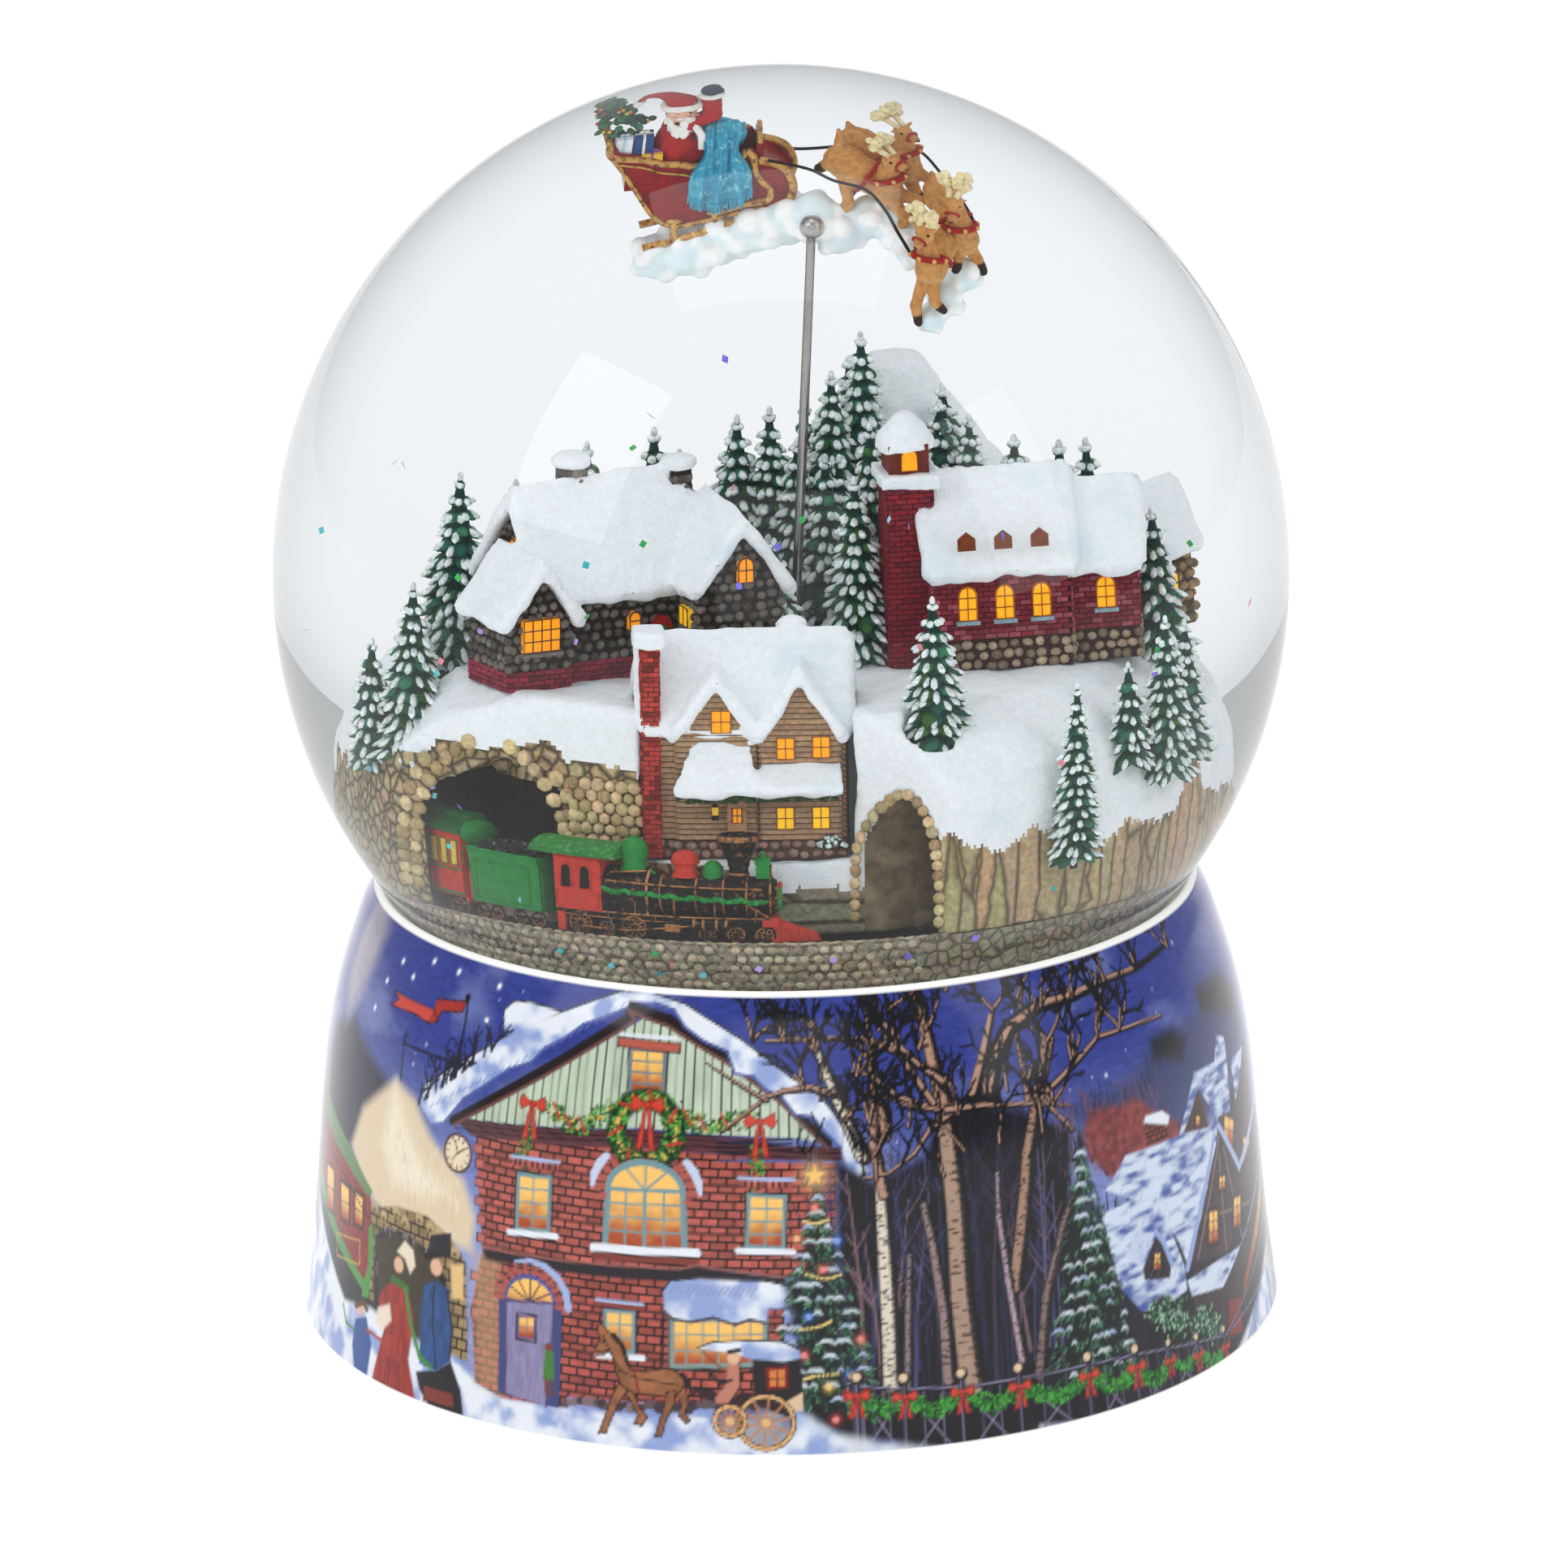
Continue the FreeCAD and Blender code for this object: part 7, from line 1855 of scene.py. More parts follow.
def clapboard_house(roofs):
    kit = Kit()
    blocks = [Block(9.4, 19.0, 69.5, 82.4, 90.2, -3.7, -20.6, 90.0),
              Block(7.6, 6.0, 69.5, 82.0, 87.4, -6.6, -23.2, 0.0),
              Block(7.6, 6.4, 69.5, 82.0, 87.8, 1.6, -23.4, 0.0)]
    for block in blocks:
        block.core(kit, rgb("5f4634"))
        for face in block.faces().values():
            clad(kit, face, "board", (rgb("b08c6c"),), 71.6)
            clad(kit, face, "cobble", (rgb("a38477"), rgb("8a6b60")), 69.6, 71.5)
        block.roof(roofs, 1.6, 0.7, 0.6)
    left, right = blocks[1].wall("front"), blocks[2].wall("front")
    trim = rgb("9a6a35")
    window(kit, left, 0.5, 83.6, 1.9, 2.2, AMBER, trim=trim)
    for x, z in ((-1.4, 80.9), (2.1, 81.0)):
        window(kit, right, x, z, 1.7, 2.1, AMBER, trim=trim)
    for x, z in ((-1.5, 73.8), (2.0, 73.8)):
        window(kit, right, x, z, 1.7, 2.2, YELLOW, trim=trim)
    # door and lantern
    kit.add(box(1.0, 2.9, -0.5, 0, 71.6, 75.6), rgb("b98a66"), 0, left)
    window(kit, left, 1.95, 74.1, 0.95, 1.5, AMBER, out=0.55, trim=rgb("8a5a35"))
    black = (0.01, 0.01, 0.01)
    # lantern glass with painted glow
    kit.add(box(-0.5, 0.1, -0.9, -0.3, 74.2, 75.0), rgb("e0b030"), PAINTED_GLOW_SLOT, left)
    kit.add(box(-0.55, 0.15, -0.95, -0.25, 73.7, 74.2), black, 0, left)
    kit.add(ball(-0.2, -0.6, 75.1, 0.35, 0.35, 0.25, 8, 5), black, 0, left, True)
    # greenery under the porch roofs
    for pose, x0, x1, z in ((left, -3.9, 3.8, 76.1), (right, -3.9, 3.9, 76.3)):
        for _ in range(70):
            x = dice.uniform(x0, x1)
            kit.add(ball(x, -2.2 - dice.uniform(0, 0.35), z + dice.uniform(-0.3, 0.2), 0.3, 0.24,
                         0.24, 6, 4), varied(rgb("2c4a22"), 0.4), 0, pose, True)
    # porch roofs: back edge x0..x1 at z1, front edge x2..x3 at z0
    for pose, x0, x1, x2, x3, z1, z0 in ((left, -2.2, 3.4, -4.4, 3.9, 81.2, 76.4),
                                         (right, -3.9, 4.1, -4.1, 4.3, 78.9, 76.5)):
        points = [(x0, 0.3, z1), (x1, 0.3, z1), (x3, -2.7, z0), (x2, -2.7, z0),
                  (x0, 0.3, z1 + 0.8), (x1, 0.3, z1 + 0.8), (x3, -2.9, z0 + 1.1),
                  (x2, -2.9, z0 + 1.1)]
        faces = [(0, 1, 2, 3), (7, 6, 5, 4), (0, 4, 5, 1), (1, 5, 6, 2), (2, 6, 7, 3),
                 (3, 7, 4, 0)]
        roofs.add((points, faces), pose=pose)
        roofs.add(tube([(x2, -2.8, z0 + 0.5), (x3, -2.8, z0 + 0.5)], 0.62), pose=pose)
    # tall chimney at the left end and short one on the ridge
    core, reds = rgb("5a1a14"), (rgb("b0362c"), rgb("7f2019"))
    kit.add(box(-13.8, -12.2, -26.0, -23.4, 69.5, 91.0), core)
    for pose, w in ((at(-13.0, -26.0), 1.6), (at(-13.8, -24.7, 0, -90), 2.6),
                    (at(-12.2, -24.7, 0, 90), 2.6), (at(-13.0, -23.4, 0, 180), 1.6)):
        clad(kit, (panel(w, 69.6, 91.0), pose), "brick", reds)
    for pose in (at(0.95, -20.0), at(0.2, -19.25, 0, -90), at(1.7, -19.25, 0, 90)):
        clad(kit, (panel(1.5, 87.5, 91.3), pose), "brick", reds)
    kit.add(box(0.3, 1.6, -19.9, -18.6, 87.0, 91.2), core)
    roofs.add(prism([(-14.6, -26.7), (-11.5, -26.7), (-11.5, -22.8), (-14.6, -22.8)], 91.0, 92.7))
    roofs.add(ball(0.95, -19.2, 91.6, 1.6, 1.4, 0.9))
    kit.make("clapboard_house_detailed", "base", "siding_resin", [CAST, GLOW],
             ("clapboard_house",))


def brick_church(roofs):
    kit = Kit()
    red, rose = rgb("7d2230"), rgb("a04a58")
    eave, ridge, width = 93.8, 101.0, 11.0
    nave = Block(width, 13.0, 84.5, eave, ridge, 19.4, -3.6, -78.0)
    annex = Block(9.0, 6.4, 84.5, 93.2, 99.4, 29.0, -1.4, -78.0)
    for block in (nave, annex):
        block.core(kit, rgb("3a0f16"))
        for face in block.faces().values():
            clad(kit, face, "brick", (red, rose), 87.5)
            clad(kit, face, "cobble", (rgb("a8967c"), rgb("7d6d58")), 84.4, 87.4)
        block.roof(roofs, 1.5, 0.7, 0.5)
    side = nave.wall("right")
    look = dict(bars=(1, 2), arch=True, sill=rgb("8fa7b3"), out=0.36, trim=rgb("b5651c"))
    for x in (-3.4, 0.1, 3.6):
        window(kit, side, x, 91.0, 1.7, 3.2, AMBER_YELLOW, **look)
    window(kit, annex.wall("right"), 0.0, 91.0, 1.8, 3.0, AMBER_YELLOW, **look)
    # dormers on the nave roof; depth is where the slope stands at their height
    z = 96.8
    depth = (ridge - z) / ((ridge - eave) / (width / 2)) - width / 2
    for x in (-3.4, 0.1, 3.6):
        outline = [(x - 0.85, z - 0.6), (x + 0.85, z - 0.6), (x + 0.85, z + 0.5), (x, z + 1.2),
                   (x - 0.85, z + 0.5)]
        kit.add(prism(outline, -2.1 - depth, 0.5, "y"), rgb("7a3a18"), 0,
                side @ shift(0, depth + 1.2, 0))
    # tower with its belfry and snow cap
    corner = at(10, -8, 0, 12)
    tower = corner @ shift(2.1, 0, 0)
    kit.add(box(-2.1, 2.1, 0.0, 4.6, 84.5, 102.3), rgb("4a1017"), 0, tower)
    for pose, w in ((tower, 4.2), (corner @ shift(0, 2.3, 0) @ spin(-90), 4.6),
                    (corner @ shift(4.2, 2.3, 0) @ spin(90), 4.6)):
        clad(kit, (panel(w, 84.5, 102.2), pose), "brick", (red, rgb("8c1f2a")))
    window(kit, tower, 0, 104.3, 1.6, 2.2, AMBER, (0, 0), arch=True, out=0.2,
           trim=rgb("6a3a20"))
    kit.add(box(-1.9, 1.9, 0.1, 4.2, 102.3, 105.6), rgb("6a2a20"), 0, tower)
    roofs.add(prism([(-2.8, -0.9), (2.8, -0.9), (2.8, 5.2), (-2.8, 5.2)], 101.6, 102.8),
              pose=tower)
    roofs.add(lathe([(0.01, 104.9), (2.9, 104.9), (2.7, 105.9), (1.9, 107), (0.8, 108.2),
                     (0.01, 108.5)], 16, 0, 2.2), pose=tower)
    kit.make("brick_church_detailed", "base", "brick_resin", [CAST, GLOW], ("brick_church",))


def cottage(roofs):
    kit = Kit()
    block = Block(5.0, 6.0, 84.0, 90.6, 95.4, 31.2, 9.4, -35.0)
    block.core(kit, rgb("4a3a2a"))
    for face in block.faces().values():
        clad(kit, face, "cobble", (rgb("9a7d5a"), rgb("6f5a44")), 84.0)
    block.roof(roofs, 1.4, 0.6, 0.5)
    window(kit, block.wall("front"), 0.0, 91.6, 1.4, 1.9, AMBER, arch=True, out=0.5)
    window(kit, block.wall("right"), 0.0, 88.0, 1.4, 1.7, YELLOW, out=0.5)
    kit.make("cottage_detailed", "base", "stone_resin", [CAST, GLOW], ("cottage",))


def roof_snow(roofs):
    mesh = remeshed(roofs, 0.28, "roof_snow", 4)
    p, n = coords_of(mesh), normals_of(mesh)
    swell = n * ((vnoise(p, 2.4, 31, 2) - 0.5) * 0.5)[:, None]
    hang = ((n[:, 2] < 0.1) * (vnoise(p, 1.6, 9, 1) - 0.45) * 0.7)[:, None]
    set_coords(mesh, p + swell + np.array([0, 0, -1.0]) * hang)
    place_mesh(mesh, "roof_snow", "base", [SNOW])


village_ground()
arch_stones()
house_roofs = Kit()
stone_house(house_roofs)
clapboard_house(house_roofs)
brick_church(house_roofs)
cottage(house_roofs)
roof_snow(house_roofs)


def add_pine(kit, x, y, z, h, r, seed):
    """A pine of drooping snow-tipped branches in tiers."""
    rand = random.Random(seed)
    kit.add(tube([(x, y, z - 0.6), (x, y, z + h * 0.2)], 0.45, 6), rgb("4a3524"))
    kit.add(tube([(x, y, z + h * 0.1), (x, y, z + h * 0.55), (x, y, z + h)],
                 [r * 0.62, r * 0.42, 0.15], 9), rgb("143a31"))
    tiers = max(5, int(h / 1.25))
    for t in range(tiers):
        f = t / (tiers - 1)
        level = z + h * (0.09 + 0.86 * f)
        reach = r * 1.12 * (1 - f) ** 0.68 + 0.34
        count = max(4, int(5 + reach * 2.6))
        for i in range(count):
            a = TURN * (i + 0.5 * (t % 2)) / count + rand.uniform(-0.2, 0.2)
            length = reach * rand.uniform(0.82, 1.1)
            pose = at(x, y, level, math.degrees(a)) @ spin(28 + rand.uniform(-8, 10), "Y")
            c = rand.random()
            blue_green = rand.random() > 0.3
            col = (lerp(rgb("14504a"), rgb("3a7a5c"), c) if blue_green
                   else lerp(rgb("1d4a2c"), rgb("3d6a34"), c))
            kit.add(ball(length * 0.55, 0, 0, length * 0.52, 0.42 + 0.13 * reach, 0.42, 6, 4),
                    col * rand.uniform(0.75, 1.2), 0, pose, True)
            for side in (-1, 1):
                kit.add(ball(length * 0.8, side * 0.3, -0.05, length * 0.22, 0.15, 0.17, 5, 3),
                        col * rand.uniform(0.8, 1.5), 0, pose, True)
            if rand.random() < 0.93:
                kit.add(ball(length * 0.84, rand.uniform(-0.1, 0.1), 0.22, length * 0.26 + 0.2,
                             0.4, 0.28, 6, 4), varied((0.84, 0.90, 0.90), 0.05), 0, pose, True)
    kit.add(ball(x, y, z + h * 0.99, 0.3, 0.3, 0.55, 6, 5), (0.8, 0.86, 0.86), smooth=True)


# x, y, foot, height, radius; the place in the list seeds the tree
PINES = [
    (15, -27, 79, 16.8, 4.1), (-28.9, 0.6, 82.4, 18.6, 4.2), (-34.6, -7.4, 76.4, 16.4, 4),
    (-38.2, -4.6, 75.2, 11.5, 2.8), (-8.6, 9, 84.5, 15.5, 3.2), (-3.6, 9.4, 87.5, 15.4, 3.2),
    (-0.8, 9, 87.5, 16.3, 3), (-4, 12.6, 88, 12.5, 2.8), (1.6, 7.2, 84.5, 17, 3.2),
    (4, 5.4, 84.5, 16, 3), (8.2, -0.8, 84.5, 21, 3.6), (6.8, -4.6, 84.5, 17, 3.3),
    (-0.6, -7.4, 84.5, 12, 3.1), (20, 11.6, 90, 10, 2.3), (25.8, 13.6, 86, 13, 2.3),
    (29.5, 15.5, 84, 11, 2.2), (-16, 16, 84.5, 14, 3), (-22.5, 10.5, 84, 13, 2.8),
    (-10, 24, 84, 13, 2.8), (22, 25, 84, 11, 2.4), (33.4, 1.8, 84, 12.4, 2.8),
    (7.2, 10.4, 96, 14, 2.7), (4.6, 8.8, 93, 14, 2.6), (14, 12, 94.5, 10, 2.6),
    (3.4, 10.6, 93, 9.5, 1.9), (5.2, 6.6, 88, 12, 2.2), (-1, 11.2, 90, 9, 1.9),
    (16.4, 9.6, 93.5, 9, 1.7), (13.8, 10.6, 96, 7.5, 1.5), (2.2, 14.4, 96, 6, 1.3),
    (6, 13.6, 99, 7.5, 1.5), (-34, -2.4, 79.5, 9, 1.9), (29.9, -27.6, 67.4, 19.4, 2.9),
    (37.4, -13.6, 74.4, 15.6, 3.3), (34, -18, 77, 9.4, 2.6), (38, -7, 75, 13, 2.8)]


def pines():
    kit = Kit()
    for seed, tree in enumerate(PINES):
        add_pine(kit, *tree, seed)
    # a snowy bush in front of the clapboard house
    for _ in range(120):
        a, b = dice.uniform(0, 6.28), dice.uniform(0, 1)
        kit.add(ball(4.6 + 1.5 * b * math.cos(a), -27.2 + 0.7 * b * math.sin(a),
                     70.9 + 1.0 * (1 - b * b) * dice.uniform(0.4, 1), 0.3, 0.3, 0.26, 5, 4),
                varied(either((0.8, 0.86, 0.86), rgb("24452a"), 0.5), 0.2), smooth=True)
    kit.make("pines_detailed", "base", "pine_resin", [PINE], ("pine_trees",))


def kerb_stones():
    """Rows of small rounded cobbles round the outside of the ring, and over its top edge."""
    kit = Kit()
    light, dark = rgb("b8ac93"), rgb("998d77")
    count = 176
    for row in range(5):
        z = 55.7 + row * 1.16
        for i in range(count):
            a = TURN * (i + 0.5 * (row % 2)) / count + dice.uniform(-0.006, 0.006)
            x, y = math.cos(a), math.sin(a)
            if -68 < math.degrees(math.atan2(y, x)) < 40:
                continue
            stone(kit, (38.35 * x, 38.35 * y, z), (x, y, 0.1), 1.32, 1.1,
                  either(light, dark, 0.4), 0.4)
    count = 170
    for row in range(2):
        radius = 37.5 - row * 1.15
        for i in range(count):
            a = TURN * (i + 0.5 * row) / count
            x, y = math.cos(a), math.sin(a)
            if not -168 < math.degrees(math.atan2(y, x)) < -62:
                continue
            stone(kit, (radius * x, radius * y, 61.0), (0.1 * x, 0.1 * y, 1), 1.3, 1.1,
                  either(light, dark, 0.4), 0.25)
    kit.make("kerb_stones", "base", "kerb_resin", [CAST])


pines()
kerb_stones()


# ------------------------------------------------------------------ train
# Built straight as (distance along the track, outward offset, z), then bent round the axis.
# Positions along the track are degrees round the axis, passed through arc().
ENAMEL, BLACK, BRONZE, ROUGH_GREEN, COAL = range(5)    # slots of TRAIN_MATS
TRAIN_MATS = [
    wet("train_enamel", rough=0.34, vary=0.13, grain=1300, bump=0.4, bump_scale=2200, coat=0.3,
        dark=0.05),
    wet("train_black", rgb("120e0c"), rough=0.34, vary=0.3, grain=1500, bump=0.7, coat=0.25,
        patch=(rgb("7d5232"), 1500, 0.58, 0.7)),
    wet("train_bronze_rub", rgb("a9713f"), rough=0.36, metal=0.55, vary=0.3, grain=1700,
        bump=0.6, patch=(rgb("2c1f16"), 1300, 0.47, 0.62)),
    wet("train_roof_green", rgb("2d7a37"), rough=0.6, vary=0.25, grain=1500, bump=1.0,
        bump_scale=1800, patch=(rgb("5b9a58"), 1700, 0.57, 0.66)),
    wet("coal_paint", rgb("23242a"), rough=0.35, vary=0.4, grain=1500, bump=0.9, coat=0.3,
        patch=(rgb("8d93a6"), 1500, 0.62, 0.7))]
TRAIN_RED, TRAIN_GREEN, TRAIN_GREY = rgb("c2382a"), rgb("1f8239"), rgb("8d8674")
TRACK_RADIUS = 33.0
BOILER_Z = 66.3
RAIL_TOP = 60.98


def arc(degrees):
    return degrees * TRACK_RADIUS * math.pi / 180.0


def bend(points):
    a = points[:, 0] / TRACK_RADIUS
    r = TRACK_RADIUS + points[:, 1]
    return np.stack([r * np.cos(a), r * np.sin(a), points[:, 2]], 1)


def sweep(outline, s0, s1, step=0.8):
    """A (y, z) outline carried along the track."""
    k = max(1, int(math.ceil(abs(s1 - s0) / step)))
    n = len(outline)
    points = [(s0 + (s1 - s0) * i / k, y, z) for i in range(k + 1) for y, z in outline]
    faces = [tuple(range(n))[::-1], tuple(range(k * n, (k + 1) * n))]
    for i in range(k):
        faces += [(i * n + q, i * n + (q + 1) % n, (i + 1) * n + (q + 1) % n, (i + 1) * n + q)
                  for q in range(n)]
    return points, faces


def bar(s0, s1, y0, y1, z0, z1):
    return sweep([(y0, z0), (y1, z0), (y1, z1), (y0, z1)], s0, s1)


def pipe(path, radius, n=6):
    """A tube with points added every 0.8 mm so that it bends with the track."""
    out = [path[0]]
    for a, b in zip(path, path[1:]):
        k = max(1, int(math.dist(a, b) / 0.8))
        out += [tuple(a[q] + (b[q] - a[q]) * (i + 1) / k for q in range(3)) for i in range(k)]
    return tube(out, radius, n)


def level_pipe(d0, d1, y, z, radius):
    return pipe([(arc(d0), y, z), (arc(d1), y, z)], radius)


def boiler_ring(s, ring_radius, radius):
    """A ring round the direction of travel."""
    return tube([(s, y, z) for y, z in
                 oval(0, BOILER_Z, ring_radius, ring_radius, angles(20, TURN)[:-1])],
                radius, 6, closed=True)


def side_frame(s0, s1, y, z0, z1):
    return [(s0, y, z0), (s1, y, z0), (s1, y, z1), (s0, y, z1)]


def end_frame(s, y0, y1, z0, z1):
    return [(s, y0, z0), (s, y1, z0), (s, y1, z1), (s, y0, z1)]


def wheel(kit, s, y, z, radius, spokes, face):
    """A spoked wheel; face is the side (+1 or -1) it shows outward."""
    def ring(r, offset):
        return [(s + r * math.cos(TURN * i / 24), y + offset, z + r * math.sin(TURN * i / 24))
                for i in range(24)]

    kit.add(tube(ring(radius, 0), 0.19, 6, closed=True), mat=BLACK)
    kit.add(rod((s, y - 0.75 * face, z), (s, y - 0.1 * face, z), radius * 0.99, n=24), mat=BLACK)
    kit.add(tube(ring(radius - 0.14, 0.13 * face), 0.11, 5, closed=True), mat=BRONZE)
    for i in range(spokes):
        a = TURN * (i + 0.3) / spokes
        end = (s + radius * math.cos(a), y, z + radius * math.sin(a))
        kit.add(rod((s, y, z), end, 0.12, 0.09, 5), mat=BRONZE)
    kit.add(rod((s, y - 0.12 * face, z), (s, y + 0.3 * face, z), radius * 0.26, radius * 0.2),
            mat=BLACK)
    kit.add(rod((s, y - 0.25 * face, z), (s, y - 0.08 * face, z), radius * 0.97, n=20), mat=BLACK)


def loco_platform(add):
    add(bar(arc(-131.3), arc(-91.5), -1.1, 0.95, 61.3, 63.6), mat=BLACK)
    add(bar(arc(-131.4), arc(-92.4), -2.15, 2.15, 63.5, 63.95), mat=BLACK)
    for side in (-1, 1):
        add(level_pipe(-131.3, -92.4, 2.32 * side, 63.95, 0.13), mat=BRONZE)
        add(level_pipe(-131.3, -108, 2.3 * side, 63.3, 0.09), mat=BRONZE)
        for k in range(9):
            add(bead(arc(-129.6 + 4.3 * k), 2.36 * side, 63.66, 0.11), mat=BRONZE)


def loco_boiler(add):
    """Barrel, firebox, bands, smokebox front, hand rails and garland."""
    add(sweep(oval(0, BOILER_Z, 2.25, 2.25, angles(22, TURN)[:-1]), arc(-122.4), arc(-92.2)),
        mat=BLACK, smooth=True)
    firebox = [(-2.3, 64.0), (2.3, 64.0), (2.4, 66.6), (2.1, 67.8), (1.2, 68.8), (0, 69.15),
               (-1.2, 68.8), (-2.1, 67.8), (-2.4, 66.6)]
    add(sweep(firebox, arc(-122.3), arc(-113.5)), mat=BLACK)
    band = [(1.03 * y, 64 + (z - 64) * 1.03) for y, z in firebox]
    add(sweep(band, arc(-114.0), arc(-113.5)), mat=BRONZE)
    for d in (-111.5, -105.3, -100.6, -96.6, -92.6):
        add(boiler_ring(arc(d), 2.3, 0.13), mat=BRONZE)
    add(rod((arc(-92.3), 0, BOILER_Z), (arc(-91.5), 0, BOILER_Z), 2.15, 1.75, 22), mat=BLACK)
    add(boiler_ring(arc(-91.5), 1.5, 0.14), mat=BRONZE)
    add(ball(arc(-91.4), 0, BOILER_Z, 0.55, 0.6, 0.6), mat=BRONZE, smooth=True)
    for y, z in oval(0, BOILER_Z, 1.85, 1.85, angles(10, TURN)[:-1]):
        add(bead(arc(-91.7), y, z, 0.14), mat=BRONZE)
    for side in (-1, 1):
        add(pipe([(arc(-121), 2.3 * side, 67.6), (arc(-114), 2.35 * side, 67.5),
                  (arc(-94), 2.2 * side, 67.3)], 0.12), mat=BRONZE)
        for k in range(8):
            s = arc(-119.5 + 3.5 * k)
            add(rod((s, 1.9 * side, 67.2), (s, 2.35 * side, 67.45), 0.1, n=5), mat=BRONZE)
            add(pipe([(s, 2.28 * side, 66.2), (s, 2.3 * side, 64.1)],
                     0.08 + 0.05 * (k % 3 == 0), 5), mat=BRONZE if k % 2 else BLACK)
        add(pipe([(arc(-120.5), 1.9 * side, 68.5), (arc(-114.2), 1.6 * side, 68.9)], 0.11),
            mat=BRONZE)
    count = 78
    for side in (-1, 1):
        for i in range(count):
            t = i / (count - 1.0)
            z = (66.75 - 0.75 * t - 0.28 * abs(math.sin(t * math.pi * 7))
                 + dice.uniform(-0.08, 0.08))
            add(ball(arc(-121.6 + 28.2 * t), 2.42 * side + dice.uniform(-0.06, 0.12) * side, z,
                     0.32, 0.28, dice.uniform(0.2, 0.4), 6, 4), varied(TRAIN_GREEN, 0.35),
                smooth=True)


# turned pieces on the boiler: degrees, colour, slot, points round, (radius, z) profile
TURNED = [
    (-117.3, TRAIN_GREEN, ENAMEL, 20,
     [(1.75, 68.6), (1.5, 69), (1.3, 69.3), (1.25, 69.9), (1.4, 70.2), (1.4, 71.1),
      (1.15, 71.8), (0.7, 72.15), (0.3, 72.25), (0.28, 72.4), (0, 72.45)]),
    (-107.8, TRAIN_RED, ENAMEL, 20,
     [(1.6, 68.3), (1.42, 68.5), (1.2, 68.8), (1.12, 69.3), (1.25, 69.7), (1.5, 69.85),
      (1.5, 70.1), (1.2, 70.8), (0.7, 71.15), (0, 71.25)]),
    (-102.8, TRAIN_GREEN, ENAMEL, 20,
     [(1.15, 68.1), (1.05, 68.5), (1.05, 69.2), (0.85, 69.8), (0.45, 70.15), (0, 70.25)]),
    (-98.2, WHITE, BLACK, 28,
     [(1.7, 68), (1.3, 68.35), (1.02, 68.7), (0.98, 69.4), (1.15, 69.9), (1.12, 70.1),
      (1.75, 71.6), (2, 72.3), (2.1, 72.45), (2.12, 73), (1.95, 73.1), (1.75, 72.95),
      (1.6, 72.2), (0, 72)]),
    (-98.2, WHITE, BRONZE, 28, [(2.12, 72.42), (2.2, 72.55), (2.2, 72.85), (2.1, 73.02)]),
    (-98.2, WHITE, BRONZE, 24, [(1.04, 68.62), (1.16, 68.78), (1.06, 68.95)])]


def loco_fittings(add):
    """Domes, chimney, head lamp and the wreath on the smokebox."""
    for d, col, slot, n, profile in TURNED:
        add(lathe(profile, n, arc(d)), col, slot, smooth=True)
    add(bar(arc(-95.2), arc(-92.2), -0.9, 0.9, 67.9, 68.35), mat=BRONZE)
    add(bar(arc(-95.1), arc(-92.7), -0.85, 0.85, 68.3, 70.0), TRAIN_GREEN)
    add(sweep([(-0.95, 69.9), (0.95, 69.9), (0.7, 70.4), (0.0, 70.65), (-0.7, 70.4)],
              arc(-95.3), arc(-92.5)), TRAIN_GREEN)
    add(rod((arc(-93.9), 0, 70.5), (arc(-93.9), 0, 71.1), 0.35, 0.28, 10), TRAIN_GREEN)
    add(rod((arc(-92.75), 0, 69.2), (arc(-92.35), 0, 69.2), 0.62, 0.68, 16), mat=BRONZE)
    add(ball(arc(-92.35), 0, 69.2, 0.12, 0.52, 0.52, 12, 6), rgb("f2d27a"), smooth=True)
    for i in range(30):
        a = TURN * i / 30
        add(ball(arc(-91.1), 1.25 * math.cos(a) * (1 + dice.uniform(-0.08, 0.08)),
                 66.2 + 1.25 * math.sin(a), 0.3, 0.27, 0.27, 6, 4), varied(TRAIN_GREEN, 0.22),
            smooth=True)
    for side in (-1, 1):
        add(ball(arc(-90.9), 0.45 * side, 67.6, 0.25, 0.5, 0.36, 8, 5), TRAIN_RED, smooth=True)


def loco_cowcatcher(add):
    """Front beam, its braces and the barred cowcatcher."""
    add(bar(arc(-94.0), arc(-91.3), -2.25, 2.25, 63.0, 64.1), TRAIN_RED)
    for side in (1, -1):
        add(pipe([(arc(-96.5), 2.0 * side, 65.6), (arc(-93.0), 2.1 * side, 64.1)], 0.17),
            mat=BRONZE)
    back, front, toe = arc(-92.2), arc(-84.4), arc(-83.7)
    points = [(back, -1.7, 63.9), (back, 1.7, 63.9), (front, -0.25, 62.0), (front, 0.25, 62.0),
              (back, -2.2, 61.15), (back, 2.2, 61.15), (toe, -0.35, 61.15), (toe, 0.35, 61.15)]
    add((points, [(0, 1, 3, 2), (4, 6, 7, 5), (0, 2, 6, 4), (1, 5, 7, 3), (0, 4, 5, 1),
                  (2, 3, 7, 6)]), TRAIN_RED)
    for i in range(9):
        t = i / 8.0 * 2 - 1
        add(rod((back, 1.72 * t, 63.95),
                (arc(-84.4 - 4.4 * abs(t)), 1.15 * t, 62.0 + 0.1 * abs(t)), 0.16, 0.13, 6),
            TRAIN_RED, smooth=True)
    for side in (-1, 1):
        for i in range(6):
            t = i / 5.0
            top = (arc(-92.2 + 7.6 * t), side * (1.75 - 1.45 * t), 63.9 - 1.85 * t)
            bottom = (arc(-92.2 + 8.3 * t), side * (2.25 - 1.8 * t), 61.15)
            add(rod(top, bottom, 0.13, n=6), varied(TRAIN_RED, 0.06), smooth=True)


